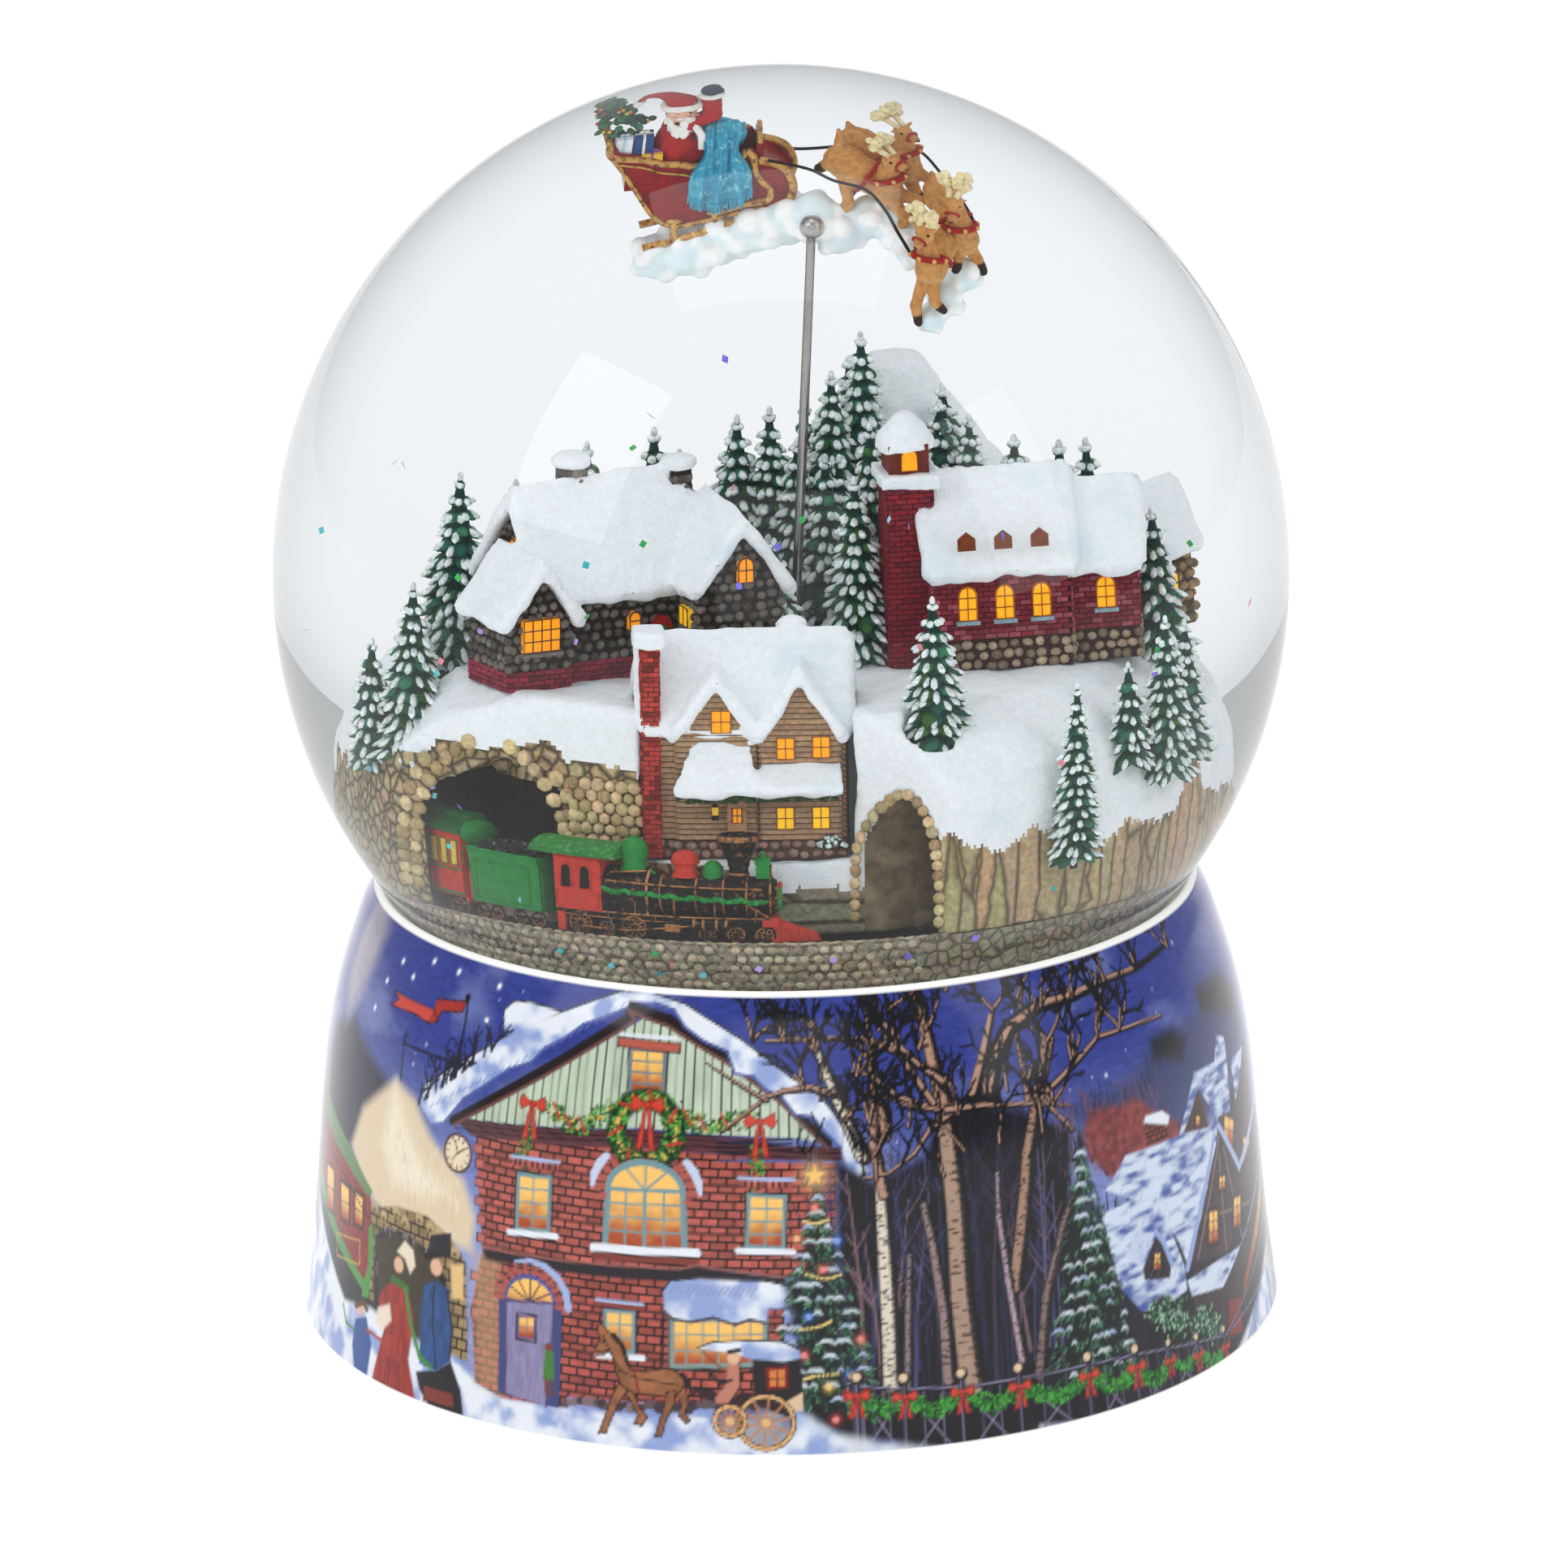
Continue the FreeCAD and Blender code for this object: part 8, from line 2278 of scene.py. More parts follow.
def loco_running_gear(kit):
    """Wheels, rods and cylinders on both sides."""
    add = kit.add
    for side_y, face in ((2.02, 1), (-2.1, -1)):
        for d in (-126.7, -121.5, -116.4):
            radius = 1.38 if d != -121.5 else 0.95
            wheel(kit, arc(d), side_y, RAIL_TOP + radius + 0.05, radius,
                  12 if radius > 1.2 else 8, face)
        for d in (-103.4, -98.5, -93.6):
            wheel(kit, arc(d), side_y, 62.05, 0.95, 8, face)
        y = side_y + 0.42 * face
        cylinder_y = y + 0.15 * face
        add(level_pipe(-127.6, -115.5, y, 62.0, 0.15), mat=BRONZE)
        add(pipe([(arc(-116.4), y + 0.12 * face, 62.1), (arc(-104.3), y + 0.12 * face, 63.1)],
                 0.13), mat=BRONZE)
        add(rod((arc(-105.6), cylinder_y, 63.2), (arc(-100.2), cylinder_y, 63.2), 0.62, n=16),
            mat=BLACK, smooth=True)
        for d in (-105.6, -104.0, -101.8, -100.2):
            add(rod((arc(d), cylinder_y, 63.2), (arc(d + 0.45), cylinder_y, 63.2), 0.7, n=16),
                mat=BRONZE)
        add(bar(arc(-111.0), arc(-107.6), y - 0.15, y + 0.15, 61.9, 63.35), mat=BLACK)
        add(bar(arc(-110.6), arc(-108.0), y - 0.2, y + 0.2, 62.2, 63.1), mat=BRONZE)
        add(bar(arc(-130.9), arc(-129.4), y - 0.2, y + 0.2, 61.3, 63.5), TRAIN_RED)
        add(level_pipe(-106.5, -92.5, y, 61.5, 0.1), mat=BLACK)


def loco_cab(add):
    """Red walls, arched windows, rough green roof."""
    add(bar(arc(-131.2), arc(-122.1), -2.45, 2.45, 63.9, 70.3), TRAIN_RED)
    half, sill, spring = 0.6, 66.4, 68.4
    for side in (-1, 1):
        for d in (-128.7, -125.0):
            s = arc(d)
            arch = [(s - half, sill), (s + half, sill)] + oval(s, spring, half, half, angles(8))
            y0, y1 = (2.4, 2.5) if side > 0 else (-2.5, -2.4)
            add(prism(arch, y0, y1, "y"), rgb("0c0907"))
            add(tube([(a, 2.5 * side, b) for a, b in arch], 0.13, 6, closed=True), TRAIN_RED,
                smooth=True)
        add(tube(side_frame(arc(-130.8), arc(-122.6), 2.47 * side, 66.0, 64.3), 0.1, 5,
                 closed=True), TRAIN_RED)
        add(level_pipe(-131.1, -122.2, 2.45 * side, 69.6, 0.16), TRAIN_RED)
    roof = [(-2.95, 69.95), (2.95, 69.95), (2.98, 70.45), (2.1, 71.1), (1, 71.45), (0, 71.55),
            (-1, 71.45), (-2.1, 71.1), (-2.98, 70.45)]
    add(sweep(roof, arc(-135.6), arc(-119.0), 0.5), mat=ROUGH_GREEN)
    for side in (-1, 1):
        add(level_pipe(-135.6, -119.0, 2.97 * side, 70.2, 0.2), mat=ROUGH_GREEN)
    add(pipe([(arc(-119.0), -2.9, 70.25), (arc(-119.0), 2.9, 70.25)], 0.2), mat=ROUGH_GREEN)
    for _ in range(60):
        d, y = dice.uniform(-135.0, -119.5), dice.uniform(-2.6, 2.6)
        add(ball(arc(d), y, 71.5 - 0.13 * y * y, dice.uniform(0.15, 0.35),
                 dice.uniform(0.12, 0.25), 0.1, 6, 4), mat=ROUGH_GREEN, smooth=True)


def locomotive():
    kit = Kit()
    loco_platform(kit.add)
    loco_boiler(kit.add)
    loco_fittings(kit.add)
    loco_cowcatcher(kit.add)
    loco_running_gear(kit)
    loco_cab(kit.add)
    kit.warp(bend).make("locomotive_detailed", "rotor", "loco_resin", TRAIN_MATS,
                        ("locomotive",), bevel=0.05)


def bogies(kit, places):
    radius = 0.92
    for y, face in ((1.38, 1), (-2.1, -1)):
        for d in places:
            wheel(kit, arc(d), y, RAIL_TOP + radius, radius, 8, face)
        for a, b in zip(places[::2], places[1::2]):
            kit.add(pipe([(arc(a) - 0.5, y + 0.2 * face, 62.1),
                          (arc(b) + 0.5, y + 0.2 * face, 62.1)], 0.16), mat=BLACK)
            kit.add(bar(arc(a), arc(b), y - 0.3, y + 0.1, 62.0, 62.9), TRAIN_GREY)


def tender():
    kit = Kit()
    add = kit.add
    rear, front = arc(-151.0), arc(-134.5)
    add(bar(arc(-151.2), arc(-134.6), -1.4, 1.3, 61.9, 63.1), TRAIN_GREY)
    bogies(kit, (-150.2, -146.4, -140.6, -136.4))
    add(sweep([(-2.4, 63), (2.4, 63), (2.5, 67.9), (2.75, 68.6), (2.75, 68.95), (-2.75, 68.95),
               (-2.75, 68.6), (-2.5, 67.9)], rear, front), TRAIN_GREEN)
    for side in (-1, 1):
        low, high = (2.46 * side, 63.6), (2.52 * side, 67.7)
        corners = [(rear + 0.9, *low), (front - 1.3, *low), (front - 1.3, *high),
                   (rear + 0.9, *high)]
        for a, b in zip(corners, corners[1:] + corners[:1]):
            add(pipe([a, b], 0.13), TRAIN_GREEN)
        add(pipe([(rear, 2.75 * side, 68.95), (front, 2.75 * side, 68.95)], 0.17), TRAIN_GREEN)
        for k in range(9):
            for d in (-135.1, -150.4):
                add(bead(arc(d), 2.48 * side, 63.5 + 0.52 * k, 0.1), varied(TRAIN_GREEN, 0.1))
    for s, proud in ((rear, -0.05), (front, 0.05)):
        add(pipe([(s, -2.7, 68.95), (s, 2.7, 68.95)], 0.17), TRAIN_GREEN)
        s += proud
        add(tube(end_frame(s, -1.9, 1.9, 63.7, 67.6), 0.12, 5, closed=True), TRAIN_GREEN)
        for k in range(8):
            add(bead(s, 2.2, 63.5 + 0.56 * k, 0.1), varied(TRAIN_GREEN, 0.1))
    add(bar(arc(-151.9), arc(-151.05), -2.2, 2.2, 63.2, 66.2), TRAIN_RED)
    # heap of coal
    for _ in range(190):
        d, y = dice.uniform(-149.8, -135.8), dice.uniform(-2.2, 2.2)
        h = 1.25 * (1 - (abs(y) / 2.6) ** 2) * (1 - (abs(d + 142.8) / 8.4) ** 3)
        r = dice.uniform(0.28, 0.52)
        pose = at(arc(d), y, 68.8 + max(0, h) * dice.uniform(0.6, 1.0), dice.uniform(0, 90),
                  dice.uniform(0, 90), dice.uniform(0, 90))
        add(ball(0, 0, 0, r, r * dice.uniform(0.6, 1), r * dice.uniform(0.6, 0.9), 5, 3),
            mat=COAL, pose=pose)
    kit.warp(bend).make("tender_detailed", "rotor", "green_resin", TRAIN_MATS, ("tender",),
                        bevel=0.04)


def coach(name, d0, d1, node):
    """A coach between two places on the track, in degrees."""
    kit = Kit()
    add = kit.add
    add(bar(arc(d0), arc(d1), -1.4, 1.3, 61.9, 63.2), mat=BLACK)
    bogies(kit, (d0 + 2.2, d0 + 5.2, d1 - 5.2, d1 - 2.2))
    rear, front = arc(d0) + 0.3, arc(d1) - 0.3
    add(bar(rear, front, -2.25, 2.25, 63.1, 70.2), TRAIN_RED)
    for side in (-1, 1):
        for z, radius in ((63.4, 0.16), (66.1, 0.11)):
            add(pipe([(rear, 2.3 * side, z), (front, 2.3 * side, z)], radius), TRAIN_GREEN)
        glass = (2.2, 2.29) if side > 0 else (-2.29, -2.2)
        for i in range(6):
            s = arc(d0 + 2.4 + i * (d1 - d0 - 4.8) / 5.0)
            add(bar(s - 0.5, s + 0.5, *glass, 66.6, 69.1), rgb("e8b24a"))
            add(tube(side_frame(s - 0.55, s + 0.55, 2.3 * side, 66.5, 69.2), 0.11, 5,
                     closed=True), TRAIN_GREEN)
            add(pipe([(s - 1.0, 2.27 * side, 63.6), (s - 1.0, 2.27 * side, 65.9)], 0.07),
                TRAIN_RED)
    for s, out in ((rear, -1), (front, 1)):
        add(bar(*sorted((s, s + 0.08 * out)), -0.65, 0.65, 63.6, 68.6), rgb("7d2a22"))
        for y in (-1.5, 1.5):
            add(tube(end_frame(s + 0.05 * out, y - 0.45, y + 0.45, 66.6, 68.7), 0.09, 5,
                     closed=True), TRAIN_GREEN)
        add(bar(*sorted((s, s + 0.5 * out)), -2.1, 2.1, 62.6, 63.2), TRAIN_RED)
    roof = [(-2.6, 69.9), (2.6, 69.9), (2.65, 70.3), (2.2, 70.9), (1.3, 71.3), (1.2, 71.9),
            (0.6, 72.15), (-0.6, 72.15), (-1.2, 71.9), (-1.3, 71.3), (-2.2, 70.9),
            (-2.65, 70.3)]
    add(sweep(roof, arc(d0) - 0.1, arc(d1) + 0.1), rgb("175c29"))
    for d in (d0, d1):
        add(ball(arc(d), 0, 70.2, 0.75, 2.5, 1.35, 14, 8), TRAIN_GREEN, smooth=True)
    kit.warp(bend).make(name, "rotor", "red_resin", TRAIN_MATS, (node,), bevel=0.04)


def sleepers():
    kit = Kit()
    for k in range(120):
        kit.add(box(-1.9, 1.9, -0.32, 0.32, 0, 0.28), varied(rgb("4c3c30"), 0.2), 0,
                at(0, 0, 60.3, 3.0 * k) @ shift(32.9, 0, 0))
    kit.make("track_sleepers", "rotor", "track_resin", [CAST])


locomotive()
tender()
coach("coach_front_detailed", -173.0, -153.2, "coach_front")
coach("coach_rear_detailed", -195.0, -175.2, "coach_rear")
sleepers()


# ------------------------------------------------------------------ cloud, sleigh and its team
CLOUD = wet("cloud_paint", rough=0.42, vary=0.05, grain=700, bump=0.35, bump_scale=1400,
            coat=0.25, sub=0.15)
GLOSS = wet("sleigh_red_lacquer", rgb("8a0d16"), rough=0.16, vary=0.22, grain=520, bump=0.7,
            bump_scale=900, coat=0.9, dark=0.12)
GOLD = wet("sleigh_gold_rub", rgb("c99a52"), rough=0.36, metal=0.6, vary=0.2, grain=1300,
           bump=0.8, bump_scale=1700, patch=(rgb("7a3f1e"), 1500, 0.5, 0.66))
FIGURE = wet("figure_paint", rough=0.42, vary=0.1, grain=1300, bump=0.4, bump_scale=1700,
             coat=0.15)
CLOTH = wet("blanket_paint", rgb("3f9fbd"), rough=0.5, vary=0.2, grain=1500, bump=0.8,
            bump_scale=1500, patch=(rgb("9ad0da"), 1300, 0.56, 0.7), dark=0.08)
HIDE = wet("deer_paint", rough=0.5, vary=0.14, grain=1900, bump=0.9, bump_scale=2600, dark=0.04)
REINS = wet("rein_cord", rgb("14120f"), rough=0.5, vary=0.2, grain=1500, bump=0.3)

# x, y, z, radius
PUFFS = [(-11, 5, 120.2, 2.5), (-8.3, 5.2, 120.7, 2.9), (-5.4, 5.2, 121.8, 3.1),
         (-2.15, 4.7, 123.35, 3.13), (0.9, 4.05, 124.15, 2.97), (3.62, 2.71, 125.13, 2.84),
         (5.71, 2.47, 123.62, 2.66), (8.83, 3.24, 124.87, 2.57), (11.2, 2.35, 124.1, 2.48),
         (13.1, 1.05, 122.6, 2.55), (15.25, -0.35, 121.05, 2.45), (17.45, -0.83, 120.55, 2.03),
         (15.83, -2.37, 118.57, 1.97), (14.42, -3.61, 116.93, 1.53)]


def cloud():
    kit = Kit()
    for x, y, z, r in PUFFS:
        kit.add(bead(x, y, z, r * 0.86, 16, 10))
        for _ in range(13):
            a, b = dice.uniform(0, TURN), dice.uniform(-0.9, 0.9)
            lump = dice.uniform(0.26, 0.46) * r
            w = r * 0.98 - lump * 0.55
            kit.add(bead(x + w * math.cos(a) * math.cos(b), y + w * math.sin(a) * math.cos(b),
                         z + w * math.sin(b), lump, 10, 7))
    mesh = remeshed(kit, 0.26, "cloud_detailed", 1)
    p, n = coords_of(mesh), normals_of(mesh)
    centres, radii = np.array([q[:3] for q in PUFFS]), np.array([q[3] for q in PUFFS])
    # painted shade: blue in the creases between puffs and underneath
    depth = (np.linalg.norm(p[:, None, :] - centres[None], axis=2) / radii).min(1)
    shade = np.clip((0.99 - depth) / 0.16, 0, 1) * (0.45 + 0.55 * vnoise(p, 2.2, 5))
    shade = np.maximum(shade, 0.35 * np.clip(-n[:, 2] - 0.35, 0, 1))
    set_colours(mesh, lerp(rgb("f6f7f6"), rgb("a9dcea"), np.clip(shade, 0, 1) * 0.5))
    place_mesh(mesh, "cloud_detailed", "rotor", [CLOUD], ("cloud",))


# sleigh curves, (x, z)
SLEIGH_SIDE = [(-16.2, 134.3), (-16, 132.9), (-14.8, 131.2), (-13.1, 128.1), (-11.6, 125.6),
               (-10.1, 124.4), (-8.6, 124.3), (-5.2, 125.1), (-1.6, 126), (0.4, 125.8),
               (1.3, 126.8), (1.5, 128.4), (0.9, 129.9), (-0.2, 130.9), (-1.1, 131.3),
               (-2.1, 132.9), (-2.6, 132.6), (-3.6, 131.4), (-7.6, 131), (-9.9, 131.4),
               (-11.8, 132.3), (-15, 133.2)]
SLEIGH_SHELL = [(-15.9, 133.9), (-14.8, 131.3), (-13.1, 128.2), (-11.6, 125.8), (-10.1, 124.7),
                (-8.6, 124.6), (-5.2, 125.4), (-1.6, 126.3), (0.3, 126.2), (1.1, 127),
                (1.2, 128.4), (0.6, 129.8), (-0.5, 130.8), (-1.2, 131.6), (-1.3, 133.3)]
SLEIGH_RIM = [(-16.35, 134.6), (-16.1, 133.2), (-15.2, 132.6), (-14, 132.35), (-12.6, 132.1),
              (-10.8, 131.4), (-9, 131.2), (-7.7, 130.9), (-5.5, 131), (-3.6, 131.4),
              (-2.7, 132.6)]
SLEIGH_SCROLL = [(-2.7, 132.8), (-2, 131.8), (-1.9, 130.4), (-1.4, 129.1), (-0.5, 128),
                 (-0.6, 126.9), (-1.7, 126.5), (-3.4, 126.2), (-5.2, 125.5)]
SLEIGH_FRONT = [(-1.5, 131.4), (0.1, 130.9), (1.1, 130.1), (1.65, 128.5), (1.4, 126.9),
                (0.4, 125.7), (-1.4, 125.6), (-3.4, 125.1)]
SLEIGH_UNDER = [(-16.1, 133), (-14.8, 131), (-13.1, 128), (-11.6, 125.4), (-10.1, 124.2),
                (-8.6, 124.1), (-5.2, 124.9), (-3, 125.5)]
SLEIGH_RUNNER = [(-12.3, 121.8), (-9.7, 122.4), (-7.3, 123.1), (-5.6, 123.7), (-3.4, 124.6),
                 (-1.4, 125.4), (0.3, 126)]
LACQUER_SLOT, GOLD_SLOT = 0, 1


def sleigh_shell():
    """The curved floor between the two sides, 0.45 thick."""
    path = smooth_path(SLEIGH_SHELL, 4)
    points, faces = [], []
    for i, (x, z) in enumerate(path):
        a, b = path[max(i - 1, 0)], path[min(i + 1, len(path) - 1)]
        t = Vector((b[0] - a[0], 0, b[1] - a[1])).normalized()
        for y in (3.6, 8.4):
            points += [(x, y, z), (x - t.z * 0.45, y, z + t.x * 0.45)]
    for i in range(len(path) - 1):
        p, q = 4 * i, 4 * (i + 1)
        faces += [(p, p + 2, q + 2, q), (p + 1, q + 1, q + 3, p + 3), (p, q, q + 1, p + 1),
                  (p + 2, p + 3, q + 3, q + 2)]
    end = len(points)
    faces += [(0, 1, 3, 2), (end - 4, end - 2, end - 1, end - 3)]
    return points, faces


def sleigh_gilding(kit, y, out):
    """Gold bars and beads on one side; out is the outward direction along y."""
    def gold(shape, smooth=True):
        kit.add(shape, mat=GOLD_SLOT, smooth=smooth)

    def curve(path, radius, proud=0.0):
        gold(tube(smooth_path([(x, y + out * proud, z) for x, z in path], 5), radius))

    curve(SLEIGH_RIM, 0.42)
    curve([(x, z - 0.75 - 0.1 * i) for i, (x, z) in enumerate(SLEIGH_RIM[2:8])], 0.16, 0.12)
    curve(SLEIGH_SCROLL, 0.4, 0.12)
    curve(SLEIGH_FRONT, 0.46)
    curve(SLEIGH_UNDER, 0.26, 0.02)
    gold(tube(smooth_path([(x, y, z) for x, z in SLEIGH_RUNNER], 4), 0.42, 4), smooth=False)
    for x, low, high in ((-9.4, 122.4, 124.6), (-5.6, 123.6, 125.4)):
        gold(rod((x, y, low), (x - 0.1, y, high), 0.42, 0.34, 10))
        gold(ball(x - 0.05, y, high, 0.85, 0.4, 0.3, 10, 6))
    beads = smooth_path(SLEIGH_FRONT + SLEIGH_UNDER[::-1], 3)
    for k in range(26):
        x, z = beads[int(k / 26.0 * len(beads))]
        gold(ball(x + dice.uniform(-0.1, 0.1), y + out * 0.15, z + dice.uniform(-0.1, 0.1),
                  dice.uniform(0.2, 0.34), 0.2, dice.uniform(0.16, 0.28), 7, 5))


def sleigh():
    kit = Kit()
    for y0, y1 in ((3.35, 3.85), (8.15, 8.65)):
        kit.add(prism(SLEIGH_SIDE, y0, y1, "y"))
    kit.add(sleigh_shell())
    # puffed lacquer panels
    for y, out in ((3.3, -1), (8.7, 1)):
        for _ in range(70):
            x, z = dice.uniform(-14.5, 1.0), dice.uniform(124.6, 131.8)
            if all(in_poly(x + dx, z + dz, SLEIGH_SIDE)
                   for dx, dz in ((0, 0), (-0.6, -0.5), (0.6, 0.6))):
                kit.add(ball(x, y - 0.12 * out, z, dice.uniform(0.5, 0.8), 0.2,
                             dice.uniform(0.4, 0.65), 10, 6), smooth=True)
    for y, out in ((3.35, -1), (8.65, 1)):
        sleigh_gilding(kit, y, out)
    # cross bars at the front and the back, and the seat
    kit.add(tube([(-1.4, 3.6, 133.6), (-1.4, 6.0, 134.1), (-1.4, 8.4, 133.6)], 0.3),
            mat=GOLD_SLOT, smooth=True)
    kit.add(tube([(-16.3, 3.6, 134.5), (-16.6, 6.0, 135.1), (-16.3, 8.4, 134.5)], 0.36),
            mat=GOLD_SLOT, smooth=True)
    kit.add(box(-14.3, -10.6, 3.9, 8.1, 128.0, 131.4), mat=LACQUER_SLOT)
    kit.make("sleigh_detailed", "rotor", "red_resin", [GLOSS, GOLD, FIGURE], ("sleigh",),
             bevel=0.08)


COAT, FUR, SKIN, MITT = rgb("ad1f22"), rgb("eeece6"), rgb("e3b59a"), rgb("27324f")


def driver_coat():
    """Body and sleeves under one folded skin."""
    kit = Kit()
    kit.add(ball(-9.4, 5.9, 132.6, 2.3, 2.2, 3.6, 16, 10), COAT)
    kit.add(ball(-8.2, 5.6, 132.2, 2.0, 2.0, 2.6, 14, 9), COAT)
    kit.add(ball(-9.2, 5.8, 135.3, 1.9, 2.1, 1.6, 14, 9), COAT)
    kit.add(rod((-8.8, 4.6, 136.0), (-6.0, 4.7, 137.6), 1.05, 1.0), COAT)
    kit.add(rod((-6.1, 4.75, 137.3), (-6.4, 5.0, 141.0), 1.0, 1.15), COAT)
    kit.add(ball(-6.1, 4.75, 137.5, 1.1), COAT)
    kit.add(rod((-9.6, 7.8, 135.6), (-6.6, 7.4, 133.8), 1.0, 0.85), COAT)
    mesh = remeshed(kit, 0.2, "driver_coat", 2)
    p = coords_of(mesh)
    fold = vnoise(p * [1.0, 1.0, 0.5], 1.2, 3)
    set_coords(mesh, p + normals_of(mesh) * ((fold - 0.5) * 0.35)[:, None])
    # painted shade: darker red in the hollows of the folds
    set_colours(mesh, lerp(COAT, rgb("6f0f14"), np.clip(1.1 - 2.2 * fold, 0, 1)))
    place_mesh(mesh, "driver_detailed", "rotor", [FIGURE], ("driver_figure",))


def driver_head_and_hands():
    kit = Kit()
    x, y, z = -9.3, 5.2, 138.2    # centre of the head

    def add(shape, col):
        kit.add(shape, col, smooth=True)

    add(ball(x, y, z, 1.65, 1.65, 1.75, 16, 11), SKIN)
    add(ball(x + 0.35, y - 1.55, z + 0.05, 0.3, 0.32, 0.28, 8, 6), varied(SKIN, 0.03))
    for s in (-1, 1):    # eye, cheek, brow, moustache
        add(ball(x + 0.25 + 0.62 * s, y - 1.4, z + 0.5, 0.15, 0.12, 0.13, 8, 5), rgb("2a211c"))
        add(ball(x + 0.3 + 0.85 * s, y - 1.3, z - 0.05, 0.38, 0.3, 0.3, 8, 5), rgb("dd9c86"))
        add(ball(x + 0.25 + 0.62 * s, y - 1.42, z + 0.85, 0.36, 0.14, 0.13, 8, 5), FUR)
        add(ball(x + 0.3 + 0.42 * s, y - 1.62, z - 0.38, 0.5, 0.22, 0.2, 8, 5), FUR)
    for _ in range(46):    # beard
        a = dice.uniform(-1.5, 1.5)
        d = dice.uniform(0, 1)
        add(ball(x + 0.2 + 1.75 * math.sin(a) * (1 - 0.45 * d),
                 y - 1.5 * math.cos(a) * 0.85 - 0.1, z - 0.85 - 2.2 * d,
                 dice.uniform(0.35, 0.55), dice.uniform(0.3, 0.42), dice.uniform(0.5, 0.8),
                 7, 5), varied(FUR, 0.05))
    # cap: fur band, drooping tail and pompom
    add(tube([(x + 1.85 * math.cos(a), y + 1.75 * math.sin(a), z + 1.45 + 0.12 * math.sin(3 * a))
              for a in angles(19, TURN)[:-1]], 0.5, closed=True), FUR)
    add(tube(smooth_path([(x, y, z + 1.4), (x - 0.6, y + 0.1, z + 2.5),
                          (x - 2.2, y + 0.3, z + 4.0), (x - 4.0, y + 0.4, z + 4.3),
                          (x - 4.7, y + 0.4, z + 3.1)], 5),
             [1.75, 1.75, 1.75, 1.6, 1.5, 1.35, 1.2, 1.1, 1.0, 0.9, 0.8, 0.7, 0.65, 0.6, 0.55,
              0.5, 0.48, 0.46, 0.45, 0.44, 0.4], 12), COAT)
    for _ in range(7):
        add(ball(x - 4.75 + dice.uniform(-0.35, 0.35), y + 0.4 + dice.uniform(-0.3, 0.3),
                 z + 2.6 + dice.uniform(-0.35, 0.35), 0.55, 0.5, 0.55, 8, 6), FUR)
    # cuff and mitten of the raised hand, coat trim, cuff and mitten of the other
    add(tube([(-6.4 + math.cos(a), 5.0 + math.sin(a), 141.3) for a in angles(15, TURN)[:-1]],
             0.45, closed=True), FUR)
    add(ball(-6.5, 5.1, 142.6, 1.15, 1.0, 1.35, 12, 8), MITT)
    add(ball(-5.5, 5.0, 142.1, 0.42, 0.42, 0.75, 8, 6), MITT)
    add(tube([(-8.0, 4.0, 136.6), (-7.1, 3.55, 135.0), (-7.0, 3.4, 133.2)], 0.42), FUR)
    add(tube([(-6.7 + 0.9 * math.cos(a), 7.4, 133.8 + 0.9 * math.sin(a))
              for a in angles(13, TURN)[:-1]], 0.36, 7, closed=True), FUR)
    add(ball(-5.9, 7.3, 133.4, 0.9, 0.75, 0.85, 10, 7), MITT)
    kit.make("driver_head_and_hands", "rotor", "red_resin", [FIGURE])


def blanket():
    """Pleats from the knees over the near side, with a fringe."""
    columns, rows = 46, 16
    points, faces = [], []
    for j in range(rows + 1):
        t = j / float(rows)
        x0, x1 = -7.5 - 0.8 * t, -2.6 + 0.4 * t
        pinch = 1 - 0.32 * math.exp(-((t - 0.32) / 0.28) ** 2)
        for i in range(columns + 1):
            u = i / float(columns)
            x = -5.2 + (x0 + (x1 - x0) * u + 5.2) * pinch
            top = 135.6 + 0.7 * math.sin(u * 3.1)
            bottom = 127.6 - 1.2 * math.sin(u * math.pi) + 0.7 * u
            y = (4.2 - 1.75 * min(1, t / 0.35) ** 0.6
                 + 0.42 * math.sin(u * 19 + 2.5 * t) * (0.35 + 0.65 * t)
                 + 0.18 * math.sin(u * 41 - t * 3))
            if t < 0.06:
                y += 0.6
            points.append((x + 0.15 * math.sin(7 * t + 9 * u), y - 0.25 * t,
                           top + (bottom - top) * t))
    for j in range(rows):
        for i in range(columns):
            a = j * (columns + 1) + i
            faces.append((a, a + columns + 1, a + columns + 2, a + 1))
    kit = Kit()
    kit.add((points, faces), smooth=True)
    lining = [(x, y + 0.5, z - 0.12) for x, y, z in points]
    kit.add((lining, [face[::-1] for face in faces]), smooth=True)
    for x, y, z in points[rows * (columns + 1):]:
        kit.add(rod((x, y, z + 0.3),
                    (x + dice.uniform(-0.15, 0.15), y - 0.05, z - dice.uniform(0.55, 0.95)),
                    0.13, 0.08, 5))
    kit.add(ball(-5.6, 6.0, 133.4, 3.0, 2.3, 2.3, 16, 10), smooth=True)
    kit.add(ball(-4.8, 4.6, 134.4, 2.2, 1.3, 1.6, 14, 9), smooth=True)
    kit.make("blanket_detailed", "rotor", "cord", [CLOTH])


def present(kit, x0, x1, y0, y1, z0, z1, col, band):
    kit.add(box(x0, x1, y0, y1, z0, z1), col)
    x, y = (x0 + x1) / 2, (y0 + y1) / 2
    kit.add(box(x - 0.14, x + 0.14, y0 - 0.06, y1 + 0.06, z0 - 0.02, z1 + 0.06), band)
    kit.add(box(x0 - 0.06, x1 + 0.06, y - 0.14, y + 0.14, z0 - 0.02, z1 + 0.06), band)
    for s in (-1, 1):
        kit.add(ball(x + 0.28 * s, y, z1 + 0.28, 0.32, 0.16, 0.22, 8, 5), band, smooth=True)


